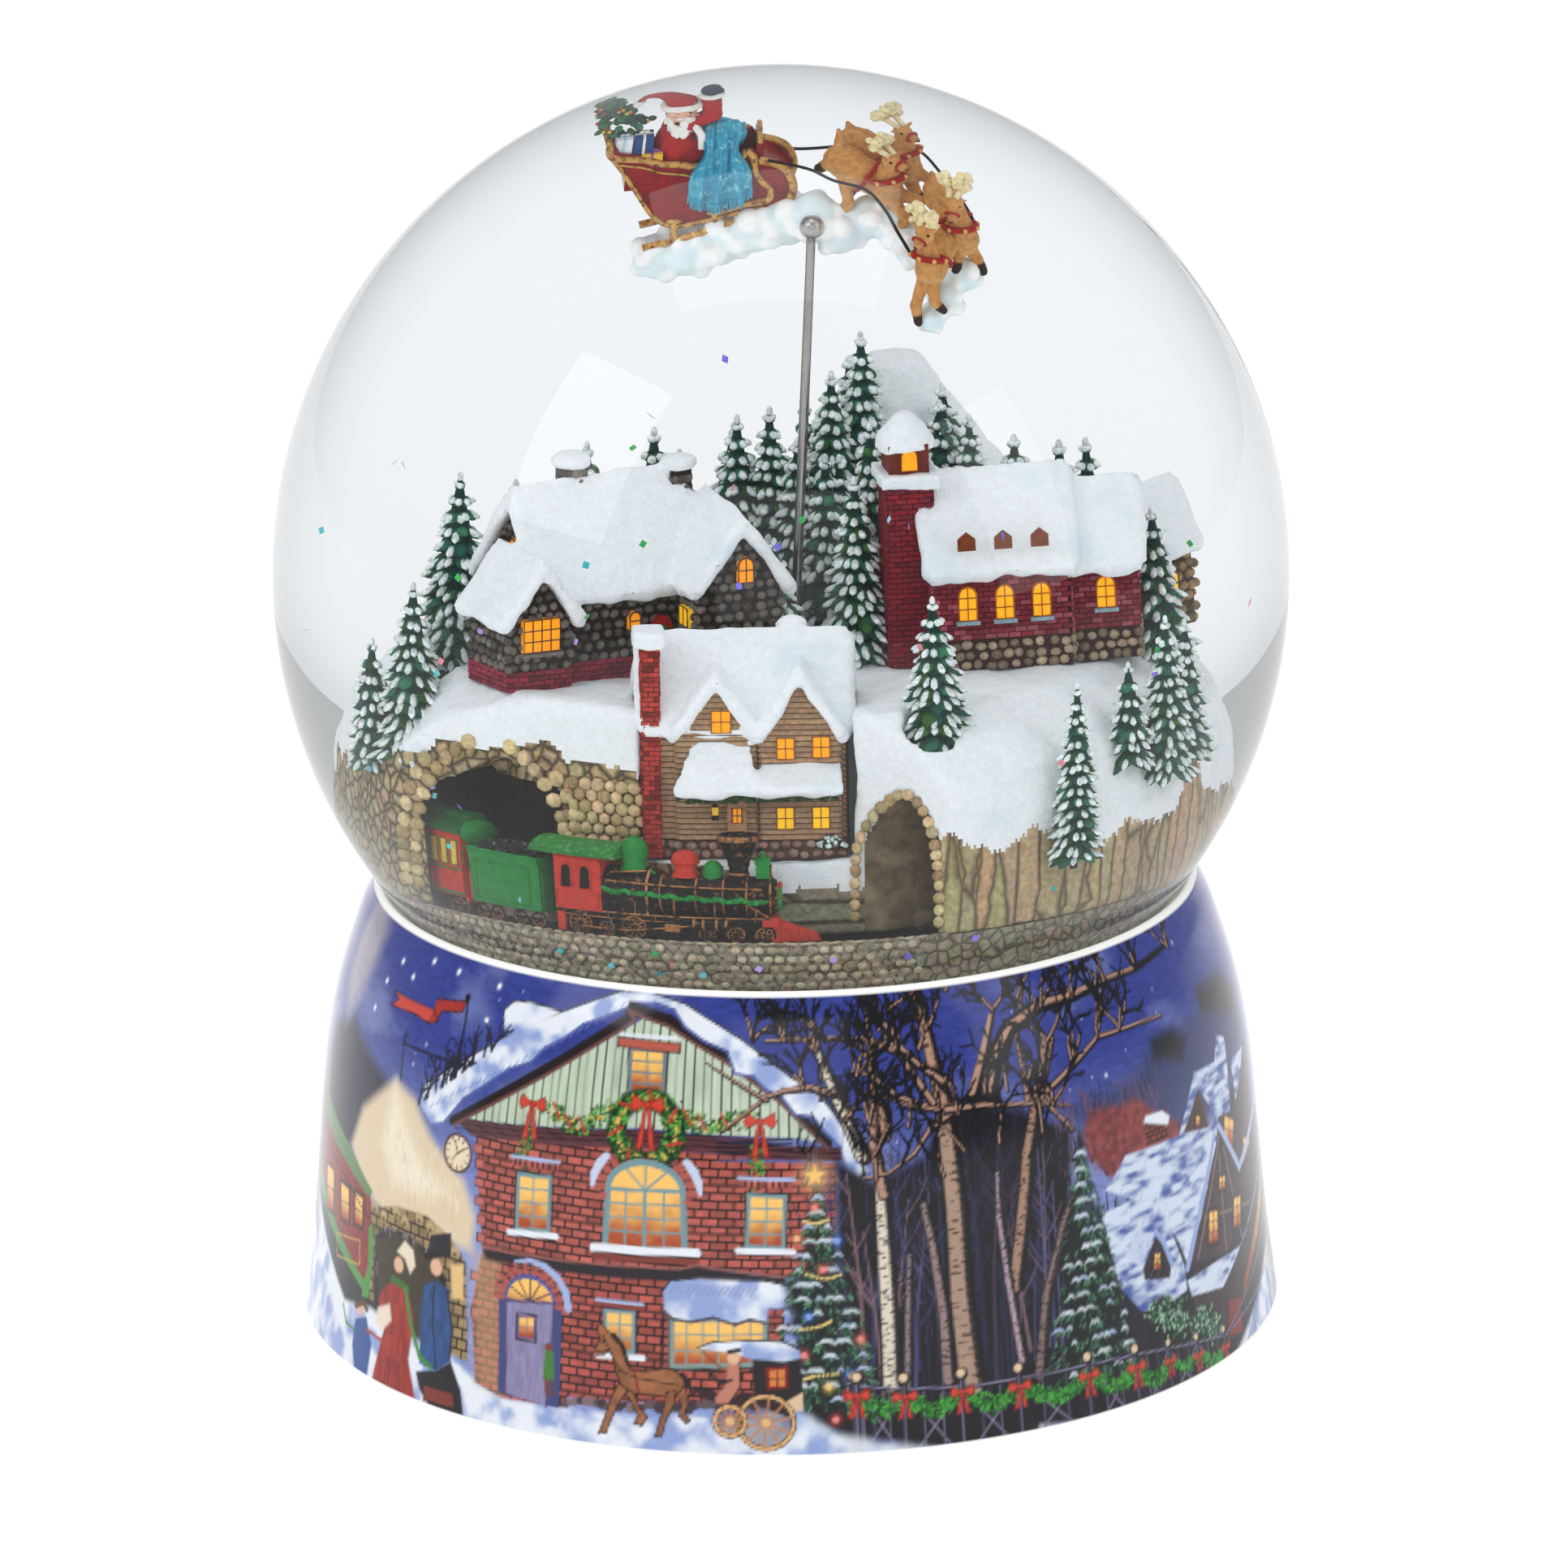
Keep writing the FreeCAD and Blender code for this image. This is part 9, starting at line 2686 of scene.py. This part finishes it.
def gift_load():
    """Presents and the little leaning tree behind the driver."""
    kit = Kit()
    present(kit, -15.6, -13.9, 3.9, 5.6, 132.6, 135.0, rgb("dfe6ec"), rgb("b9c9d8"))
    present(kit, -13.7, -11.8, 3.9, 5.8, 132.4, 135.1, rgb("24467f"), rgb("e9e7dd"))
    present(kit, -12.9, -10.8, 3.4, 4.8, 131.2, 132.7, rgb("e3b52e"), rgb("8f4f9c"))
    present(kit, -14.6, -12.4, 5.9, 7.9, 131.5, 133.8, rgb("8d2030"), rgb("e3b52e"))
    for _ in range(150):
        t = dice.uniform(0, 1) ** 0.8
        a = dice.uniform(0, TURN)
        x, y, z = -14.6 - 3.8 * t, 6.6 + 0.4 * t, 135.3 + 8.2 * t
        w = (2.9 - 2.1 * t) * dice.uniform(0.5, 1.0)
        green = varied(rgb("2f6f4a") if dice.random() < 0.6 else rgb("1d4a36"), 0.25)
        kit.add(ball(0, 0, 0, dice.uniform(0.45, 0.9), dice.uniform(0.35, 0.6),
                     dice.uniform(0.3, 0.5), 7, 5), green, 0,
                at(x + w * math.cos(a), y + w * math.sin(a) * 0.8, z + dice.uniform(-0.6, 0.6),
                   math.degrees(a), dice.uniform(10, 50)), True)
    for k in range(16):
        t, a = dice.uniform(0.05, 0.85), dice.uniform(math.pi, TURN)
        w = 2.9 - 2.0 * t
        kit.add(bead(-14.6 - 3.8 * t + w * math.cos(a), 6.6 + w * math.sin(a) * 0.85 - 0.25,
                     135.3 + 8.2 * t, 0.26, 8, 5), rgb("b5202a") if k % 2 else rgb("d9b24a"),
                smooth=True)
    kit.make("gift_load_detailed", "rotor", "gift_resin", [FIGURE], ("gift_load",), bevel=0.05)


cloud()
sleigh()
driver_coat()
driver_head_and_hands()
blanket()
gift_load()

FAWN, BELLY, ANTLER, HOOF = rgb("c98f50"), rgb("dcb27c"), rgb("ecdcae"), rgb("34241b")
STRAP, BELL = rgb("a5201f"), rgb("dcae62")
# name: rump, chest, head, muzzle, antler middle, girth, legs from the body down, tail tip
HERD = {
    "reindeer_rear_near": (
        (6.4, 3.4, 131.4), (10.5, 2.5, 128.6), (11.3, 1.6, 132.5), (12.3, 0.8, 132.2),
        (10.7, 1.8, 136.2), 1.65,
        [[(6.4, 2.6, 130.4), (6.9, 2.2, 127), (5.6, 2.4, 124.4)],
         [(6, 3.3, 131.6), (4.2, 3.9, 130)],
         [(11.4, 2.6, 127.8), (13.8, 2, 127.4), (12.6, 2.2, 125)],
         [(10.4, 2.1, 128.1), (12.4, 0.8, 125.9), (11.2, 0.8, 124)]], (6.3, 3.9, 135.2)),
    "reindeer_rear_far": (
        (7.6, 7.6, 131.4), (12.2, 6.6, 129), (12.4, 6, 134.1), (13.4, 5.2, 133.8),
        (11.1, 6.8, 138), 1.6,
        [[(7.6, 7.6, 130.2), (8, 7.4, 127.2), (6.8, 7.4, 125.2)],
         [(12.3, 6.7, 128.9), (15, 6.4, 127.2), (14.2, 6.4, 124.8)],
         [(12, 6.4, 128.6), (13.4, 6, 125.4)]], (7, 8.2, 133.6)),
    "reindeer_front_near": (
        (15.8, -1.6, 124.6), (14.7, -3.8, 122.2), (14.5, -4.6, 126.8), (13.9, -5.5, 126.1),
        (14.4, -4.2, 129.8), 1.5,
        [[(14.4, -3.7, 122.3), (13.1, -4.7, 118.8), (13.3, -4.6, 117)],
         [(14.9, -3.7, 122.3), (15, -5.2, 119.4), (15.8, -5, 118.4)]], (16.5, -0.9, 126.4)),
    "reindeer_front_far": (
        (15.7, 2.4, 128.2), (17.8, -0.6, 124.4), (17.4, -1.6, 129), (17.2, -2.5, 128),
        (17.6, -1.2, 132.7), 1.6,
        [[(18, -0.5, 124.5), (19.5, -1.2, 121.2)],
         [(17.6, -0.8, 124.4), (17, -2, 121.6)]], (15, 3.2, 130.2))}


def balls_along(kit, a, b, count, r0, r1):
    for i in range(count + 1):
        t = i / float(count)
        kit.add(bead(*(a[q] + (b[q] - a[q]) * t for q in range(3)), r0 + (r1 - r0) * t, 10, 7))


def strap(kit, centre, axis, ring_radius, radius):
    """A strap round a centre; returns its points."""
    axis = Vector(axis).normalized()
    u = axis.orthogonal().normalized()
    v = axis.cross(u)
    points = [tuple(Vector(centre) + u * (ring_radius * math.cos(TURN * i / 22))
                    + v * (ring_radius * math.sin(TURN * i / 22))) for i in range(22)]
    kit.add(tube(points, radius, 6, closed=True), STRAP, smooth=True)
    return points


def deer_body(name, rump, chest, head, muzzle, girth, legs, tail, up, side):
    kit = Kit()
    balls_along(kit, rump, chest, 8, girth * 1.12, girth * 1.05)
    kit.add(ball(*(rump + (chest - rump) * 0.1), girth * 1.22, girth * 1.12, girth * 1.2, 14, 9))
    neck = chest + (head - chest) * 0.2
    balls_along(kit, neck, head + (chest - head) * 0.12, 8, girth * 0.98, girth * 0.52)
    kit.add(ball(*head, 0.98, 0.92, 0.92))
    nose = head + (muzzle - head) * 1.25
    balls_along(kit, head + (muzzle - head) * 0.4, nose, 4, 0.74, 0.52)
    for s in (-1, 1):
        root = head + up * 0.45 + side * (0.7 * s)
        kit.add(rod(root, root + side * (0.95 * s) + up * 0.35, 0.32, 0.12, 8))
    for leg in legs:
        for q in range(len(leg) - 1):
            balls_along(kit, leg[q], leg[q + 1], 8, 0.82 - 0.22 * q, 0.56 - 0.12 * q)
    balls_along(kit, rump + (Vector(tail) - rump) * 0.45, tail, 5, 0.75, 0.28)
    mesh = remeshed(kit, 0.17, name + "_detailed", 3)
    p, n = coords_of(mesh), normals_of(mesh)
    hair = vnoise(p * [1.6, 1.6, 0.7], 0.55, 7)
    set_coords(mesh, p + n * ((hair - 0.5) * 0.2)[:, None])
    # painted shade: darker fawn in the hollows of the hair
    col = lerp(FAWN, rgb("a86c36"), np.clip(1.25 - 2.4 * hair, 0, 1))
    col = lerp(col, BELLY, np.clip(-n[:, 2] * 0.8 + 0.1, 0, 0.75))
    for leg in legs:
        gap = np.linalg.norm(p - np.array(leg[-1]), axis=1)
        col = lerp(col, HOOF, np.clip((1.0 - gap) / 0.12, 0, 1))
    gap = np.linalg.norm(p - np.array(nose), axis=1)
    col = lerp(col, rgb("b98155"), np.clip((0.75 - gap) / 0.3, 0, 0.5))
    set_colours(mesh, col)
    place_mesh(mesh, name + "_detailed", "rotor", [HIDE], (name,))


def deer_harness(name, rump, chest, head, muzzle, antler, girth, up, side):
    """Antlers, eyes, nose, and straps with gold bells."""
    kit = Kit()
    forward = (muzzle - head).normalized()
    for s in (-1, 1):
        stem = antler + side * (0.75 * s) - up * 2.1
        kit.add(rod(head + up * 0.75 + side * (0.35 * s), stem, 0.34, 0.36, 8), ANTLER,
                smooth=True)
        for _ in range(15):
            lobe = (stem + side * (s * dice.uniform(-0.75, 0.95)) + up * dice.uniform(-0.5, 1.9)
                    + forward * dice.uniform(-0.35, 0.35))
            w = dice.uniform(0.38, 0.55)
            kit.add(ball(*lobe, w, w * 0.85, w, 8, 6), varied(ANTLER, 0.07), smooth=True)
    for s in (-1, 1):
        eye = head + forward * 0.5 + side * (0.68 * s) + up * 0.3
        kit.add(bead(*eye, 0.17, 8, 6), rgb("17100c"), smooth=True)
    nose = head + forward * (muzzle - head).length * 1.25 + forward * 0.42
    kit.add(ball(*nose, 0.24, 0.2, 0.2, 8, 6), rgb("6b3a28"), smooth=True)
    strap(kit, head + (muzzle - head) * 0.95, forward, 0.72, 0.13)
    base = chest + (head - chest) * 0.36
    collar = strap(kit, base, (head - chest).normalized() * 0.8 + forward * -0.45,
                   girth * 1.03, 0.34)
    for p in collar[::3]:
        out = (Vector(p) - base).normalized()
        kit.add(bead(*(Vector(p) + out * 0.3), 0.24, 8, 6), BELL, smooth=True)
    strap(kit, rump + (chest - rump) * 0.6, chest - rump, girth * 1.14, 0.24)
    kit.make(name + "_harness", "rotor", "deer_resin", [HIDE])


def reindeer(name, rump, chest, head, muzzle, antler, girth, legs, tail):
    rump, chest, head, muzzle, antler = map(Vector, (rump, chest, head, muzzle, antler))
    up = (head - chest).normalized()
    side = (muzzle - head).normalized().cross(up).normalized()
    deer_body(name, rump, chest, head, muzzle, girth, legs, tail, up, side)
    deer_harness(name, rump, chest, head, muzzle, antler, girth, up, side)


for deer, stations in HERD.items():
    reindeer(deer, *stations)


def reins():
    kit = Kit()
    for path in ([(-0.6, 3.1, 131.5), (3.2, 1.2, 131.4), (5.6, 0.6, 130.3), (8.7, 0.2, 129.4),
                  (10.5, -0.8, 127.5), (11.6, -2.2, 125.8), (13, -3.6, 123.6)],
                 [(-0.8, 8.9, 130.4), (1.8, 9, 129.6), (5.4, 9.4, 129.6), (9.6, 9.2, 130.4),
                  (13.4, 7.6, 130.6), (15.8, 4.6, 129.4), (18, 2.2, 127), (19.2, 0.2, 125.4)]):
        kit.add(tube(smooth_path(path, 8), 0.17), smooth=True)
    kit.make("reins_detailed", "rotor", "cord", [REINS], ("reins",))


def wire_collar():
    """The collar where the wire enters the cloud."""
    kit = Kit()
    kit.add(lathe([(0.75, 124.3), (1.05, 124.6), (1.2, 125.1), (1.15, 125.7), (0.8, 126.2),
                   (0, 126.4)], 24, 3.4, -0.1), smooth=True)
    metal = wet("collar_metal", (0.45, 0.42, 0.40), rough=0.22, metal=0.9, vary=0.25, grain=700,
                bump=0.4)
    kit.make("wire_collar", "rotor", "chrome", [metal])


reins()
wire_collar()


# ------------------------------------------------------------------ glass and plain pieces
def start_glass(name):
    """An emptied material with its output and a nearly clear shader."""
    mat = bpy.data.materials.new(name)
    mat.use_nodes = True
    tree = mat.node_tree
    tree.nodes.clear()
    out = tree.nodes.new("ShaderNodeOutputMaterial")
    clear = tree.nodes.new("ShaderNodeBsdfTransparent")
    clear.inputs[0].default_value = (0.97, 0.985, 0.99, 1)
    return mat, tree, out, clear


def inner_glass():
    mat, tree, out, clear = start_glass("globe_glass_inner")
    haze = noise(tree, object_coords(tree), 40)
    tint = grey(tree, map_range(tree, haze, result=(0.985, 1.0)))
    tree.links.new(tint, clear.inputs[0])
    tree.links.new(clear.outputs[0], out.inputs[0])
    return mat


def mix_shaders(tree, factor, first, second):
    node = tree.nodes.new("ShaderNodeMixShader")
    for index, source in enumerate((factor, first, second)):
        tree.links.new(source, node.inputs[index])
    return node.outputs[0]


def outer_glass():
    """Refracts as the liquid behind it; clear to shadow and diffuse rays."""
    mat, tree, out, clear = start_glass("globe_glass_outer")
    links = tree.links
    refraction = tree.nodes.new("ShaderNodeBsdfRefraction")
    refraction.inputs["IOR"].default_value = 1.333
    refraction.inputs["Roughness"].default_value = 0.0
    # grey glass tint, with painted shade darkening it towards the rim
    edge = map_range(tree, facing(tree), (0.45, 1.0), smooth=True)
    tint = mix(tree, "MIX", (0.83, 0.845, 0.858), (0.60, 0.615, 0.63), edge)
    links.new(tint, refraction.inputs["Color"])
    gloss = tree.nodes.new("ShaderNodeBsdfGlossy")
    gloss.inputs["Roughness"].default_value = 0.02
    ripple = noise(tree, object_coords(tree), 18)
    links.new(bump_normal(tree, ripple, 0.012, 0.001), gloss.inputs["Normal"])
    fresnel = tree.nodes.new("ShaderNodeFresnel")
    fresnel.inputs["IOR"].default_value = 1.38
    outer = mix_shaders(tree, fresnel.outputs[0], refraction.outputs[0], gloss.outputs[0])
    geometry = tree.nodes.new("ShaderNodeNewGeometry")
    seen = mix_shaders(tree, geometry.outputs["Backfacing"], outer, refraction.outputs[0])
    rays = tree.nodes.new("ShaderNodeLightPath")
    unseen = tree.nodes.new("ShaderNodeMath")
    unseen.operation = "MAXIMUM"
    links.new(rays.outputs["Is Shadow Ray"], unseen.inputs[0])
    links.new(rays.outputs["Is Diffuse Ray"], unseen.inputs[1])
    links.new(mix_shaders(tree, unseen.outputs[0], seen, clear.outputs[0]), out.inputs[0])
    return mat


def repaint(part, *mats):
    part.data.materials.clear()
    for mat in mats:
        part.data.materials.append(mat)


def glass_globe():
    """Outer glass on faces that look outward beyond the wall's middle, inner on the rest."""
    globe = bpy.data.objects["glass_globe"]
    repaint(globe, outer_glass(), inner_glass())
    centre, wall_middle = Vector((0, 0, 0.0915)), 0.0545    # metres
    world_pose = globe.matrix_world
    slots = []
    for face in globe.data.polygons:
        offset = world_pose @ face.center - centre
        outward = (world_pose.to_3x3() @ face.normal).dot(offset) > 0
        slots.append(0 if outward and offset.length > wall_middle else 1)
    globe.data.polygons.foreach_set("material_index", slots)
    globe.data.polygons.foreach_set("use_smooth", [True] * len(globe.data.polygons))


def darken_edges(mat):
    """Bright down the middle and dark at both sides, as polished wire shows in a white room."""
    tree = mat.node_tree
    base = tree.nodes["Principled BSDF"].inputs["Base Color"]
    source = base.links[0].from_socket
    edge = map_range(tree, facing(tree), (0.25, 0.62))
    tree.links.new(mix(tree, "MIX", source, (0.03, 0.028, 0.026), edge), base)


glass_globe()
STEEL = material("steel", (0.55, 0.56, 0.57), rough=0.28, metal=1.0, vary=0.08, grain=700,
                 bump=0.1)
CHROME = material("chrome_wire", (0.36, 0.345, 0.33), rough=0.12, metal=1.0, vary=0.1,
                  grain=300, bump=0.03)
darken_edges(CHROME)
BRASS = material("brass", (0.70, 0.50, 0.20), rough=0.28, metal=1.0, vary=0.1, grain=800,
                 bump=0.1)
ZINC = material("zinc_casting", (0.42, 0.43, 0.44), rough=0.42, metal=1.0, vary=0.12,
                grain=900, bump=0.25)
RUBBER = material("rubber", (0.03, 0.03, 0.032), rough=0.7, vary=0.15, grain=1200, bump=0.3)
PLASTIC = material("white_plastic", (0.72, 0.72, 0.70), rough=0.45, vary=0.05, grain=900,
                   bump=0.1)
COVER = material("cover_plate", (0.055, 0.055, 0.06), rough=0.55, vary=0.12, grain=1500,
                 bump=0.25)
MAGNET = material("magnet", (0.16, 0.15, 0.15), rough=0.45, metal=0.6, vary=0.15, grain=900,
                  bump=0.15)
GROUND = material("ballast_paint", rgb("6d6657"), rough=0.75, vary=0.35, grain=1700, bump=0.9,
                  bump_scale=2600, patch=(rgb("a29a86"), 1300, 0.5, 0.62))
KERB = cell_rock("kerb_cobble_paint", rgb("a9a086"), rgb("857b63"), rgb("4a4334"), scale=700,
                 bump=0.6, immersed=False)
# materials by a piece's whole name, then by a word within it; the first match counts
BY_NAME = {
    "bottom_cover": COVER, "rubber_feet": RUBBER, "seat_gasket": RUBBER,
    "rubber_stopper": RUBBER, "fill_plug": RUBBER, "pivot_pin": STEEL, "kerb_ring": KERB,
    "sleigh_rod": CHROME, "rails": STEEL, "turntable": GROUND, "rotor_hub": PLASTIC,
    "follower_magnets": MAGNET}
BY_WORD = (
    ("magnet", MAGNET), ("key", BRASS), ("barrel", BRASS), ("spindle", STEEL),
    ("arbor", STEEL), ("disc", PLASTIC), ("crown", PLASTIC), ("cylinder", BRASS),
    ("gear", BRASS), ("wheel", BRASS), ("screw", STEEL), ("fly", PLASTIC), ("bracket", ZINC),
    ("bedplate", ZINC), ("comb", STEEL), ("click", STEEL), ("spring", STEEL),
    ("plug", RUBBER), ("gasket", RUBBER))
for part in list(bpy.data.objects):
    if part.type != "MESH" or part.name not in nodes:
        continue
    found = BY_NAME.get(part.name) or next((m for word, m in BY_WORD if word in part.name), None)
    if found:
        repaint(part, found)


def sleigh_wire():
    """The bent wire that carries the sleigh."""
    kit = Kit()
    slant = [(3.4 * (z - 66.0) / 60.0, 0, z) for z in range(70, 127, 4)]
    kit.add(tube([(0, 0, 56.5), (0, 0, 62.0), (0, 0, 65.4), (0.06, 0, 67.0)] + slant, 0.43, 16),
            smooth=True)
    kit.make("sleigh_wire", "rotor", "chrome", [CHROME], ("sleigh_rod",))


def glitter():
    """Flakes hanging in the liquid and lying against the ground."""
    foil = material("glitter_foil", rough=0.2, metal=0.3, vary=0.1, grain=900, bump=0.0)
    kit = Kit()
    rand = random.Random(7)
    hues = [rgb(c) for c in ("39c6cf", "7b6fe0", "f08a9a", "c9a6f2", "7fd8ee", "2fa84a")]
    done = 0
    while done < 46:
        x, y, z = rand.uniform(-44, 44), rand.uniform(-44, 10), rand.uniform(57, 110)
        outside = math.dist((x, y, z), (0, 0, 91.5)) > 56
        buried = math.hypot(x, y) < 39.6 and z < 96
        if outside or buried or (z > 100 and rand.random() < 0.6):
            continue
        done += 1
        pose = at(x, y, z, rand.uniform(0, 360), rand.uniform(0, 360), rand.uniform(0, 360))
        kit.add(box(-0.32, 0.32, -0.32, 0.32, -0.02, 0.02), hues[rand.randrange(6)], 0, pose)
    for x, y, z in ((-3, -38.9, 58), (-14, -36.4, 59.5), (5, -38.9, 59), (-24, -30.6, 58.6),
                    (-9, -38.2, 57), (13, -36.8, 58.8), (-18.8, -34.2, 57.4),
                    (20, -33.4, 60.2)):
        kit.add(box(-0.35, 0.35, -0.02, 0.02, -0.35, 0.35), hues[rand.randrange(6)], 0,
                at(x, y, z, math.degrees(math.atan2(y, x)) + 90, rand.uniform(0, 90)))
    kit.make("glitter_flakes", "base", "stopper", [foil])


sleigh_wire()
glitter()


# ------------------------------------------------------------------ floor, light and camera
# From here on lengths are in metres.
def stage_floor():
    half = 3.0
    mesh = bpy.data.meshes.new("floor")
    mesh.from_pydata([(-half, -half, 0), (half, -half, 0), (half, half, 0), (-half, half, 0)],
                     [], [(0, 1, 2, 3)])
    floor = link_object("floor", mesh)
    mat = bpy.data.materials.new("floor_white")
    mat.use_nodes = True
    tree = mat.node_tree
    shader = tree.nodes["Principled BSDF"]
    shader.inputs["Base Color"].default_value = (0.93, 0.93, 0.93, 1)
    shader.inputs["Roughness"].default_value = 0.75
    rough = map_range(tree, noise(tree, object_coords(tree), 30), result=(0.7, 0.8))
    tree.links.new(rough, shader.inputs["Roughness"])
    shader.inputs["Emission Color"].default_value = (1, 1, 1, 1)
    shader.inputs["Emission Strength"].default_value = 0.42
    floor.data.materials.append(mat)


def lamp(name, place, target, size, size_y, power):
    light = bpy.data.lights.new(name, "AREA")
    light.shape = "RECTANGLE"
    light.size = size
    light.size_y = size_y
    light.energy = power
    holder = bpy.data.objects.new(name, light)
    holder.location = place
    aim = Vector(target) - Vector(place)
    holder.rotation_euler = aim.to_track_quat("-Z", "Y").to_euler()
    bpy.context.scene.collection.objects.link(holder)


def studio_world():
    world = bpy.data.worlds.new("studio")
    bpy.context.scene.world = world
    world.use_nodes = True
    background = world.node_tree.nodes["Background"]
    background.inputs[0].default_value = (1, 1, 1, 1)
    background.inputs[1].default_value = 0.62
    bpy.context.scene.view_settings.view_transform = "Standard"


def camera():
    """Looks along +y and down from in front, rolled slightly."""
    lens = bpy.data.cameras.new("camera")
    lens.lens = 192.2
    lens.sensor_width = 36.0
    lens.clip_start = 0.05
    holder = bpy.data.objects.new("camera", lens)
    bpy.context.scene.collection.objects.link(holder)
    tilt, roll = math.radians(16.4427), math.radians(-0.84)
    forward = Vector((0, math.cos(tilt), -math.sin(tilt)))
    level = forward.cross(Vector((0, 0, 1))).normalized()
    upright = level.cross(forward)
    right = level * math.cos(roll) + upright * math.sin(roll)
    up = upright * math.cos(roll) - level * math.sin(roll)
    place = (0.0, -0.9553, 0.3475)
    rows = [(right[i], up[i], -forward[i], place[i]) for i in range(3)]
    holder.matrix_world = Matrix((*rows, (0, 0, 0, 1)))
    bpy.context.scene.camera = holder


stage_floor()
lamp("key_left", (-0.75, -0.55, 0.75), (0, 0, 0.09), size=0.5, size_y=0.7, power=3.2)
lamp("fill_right", (0.8, -0.5, 0.5), (0, 0, 0.09), size=0.35, size_y=0.7, power=1.4)
lamp("top", (0.0, 0.1, 1.1), (0, 0, 0.1), size=0.7, size_y=0.7, power=2.7)
lamp("front_low", (0.0, -1.5, 0.6), (0, 0, 0.07), size=0.8, size_y=0.8, power=2.3)
studio_world()
camera()
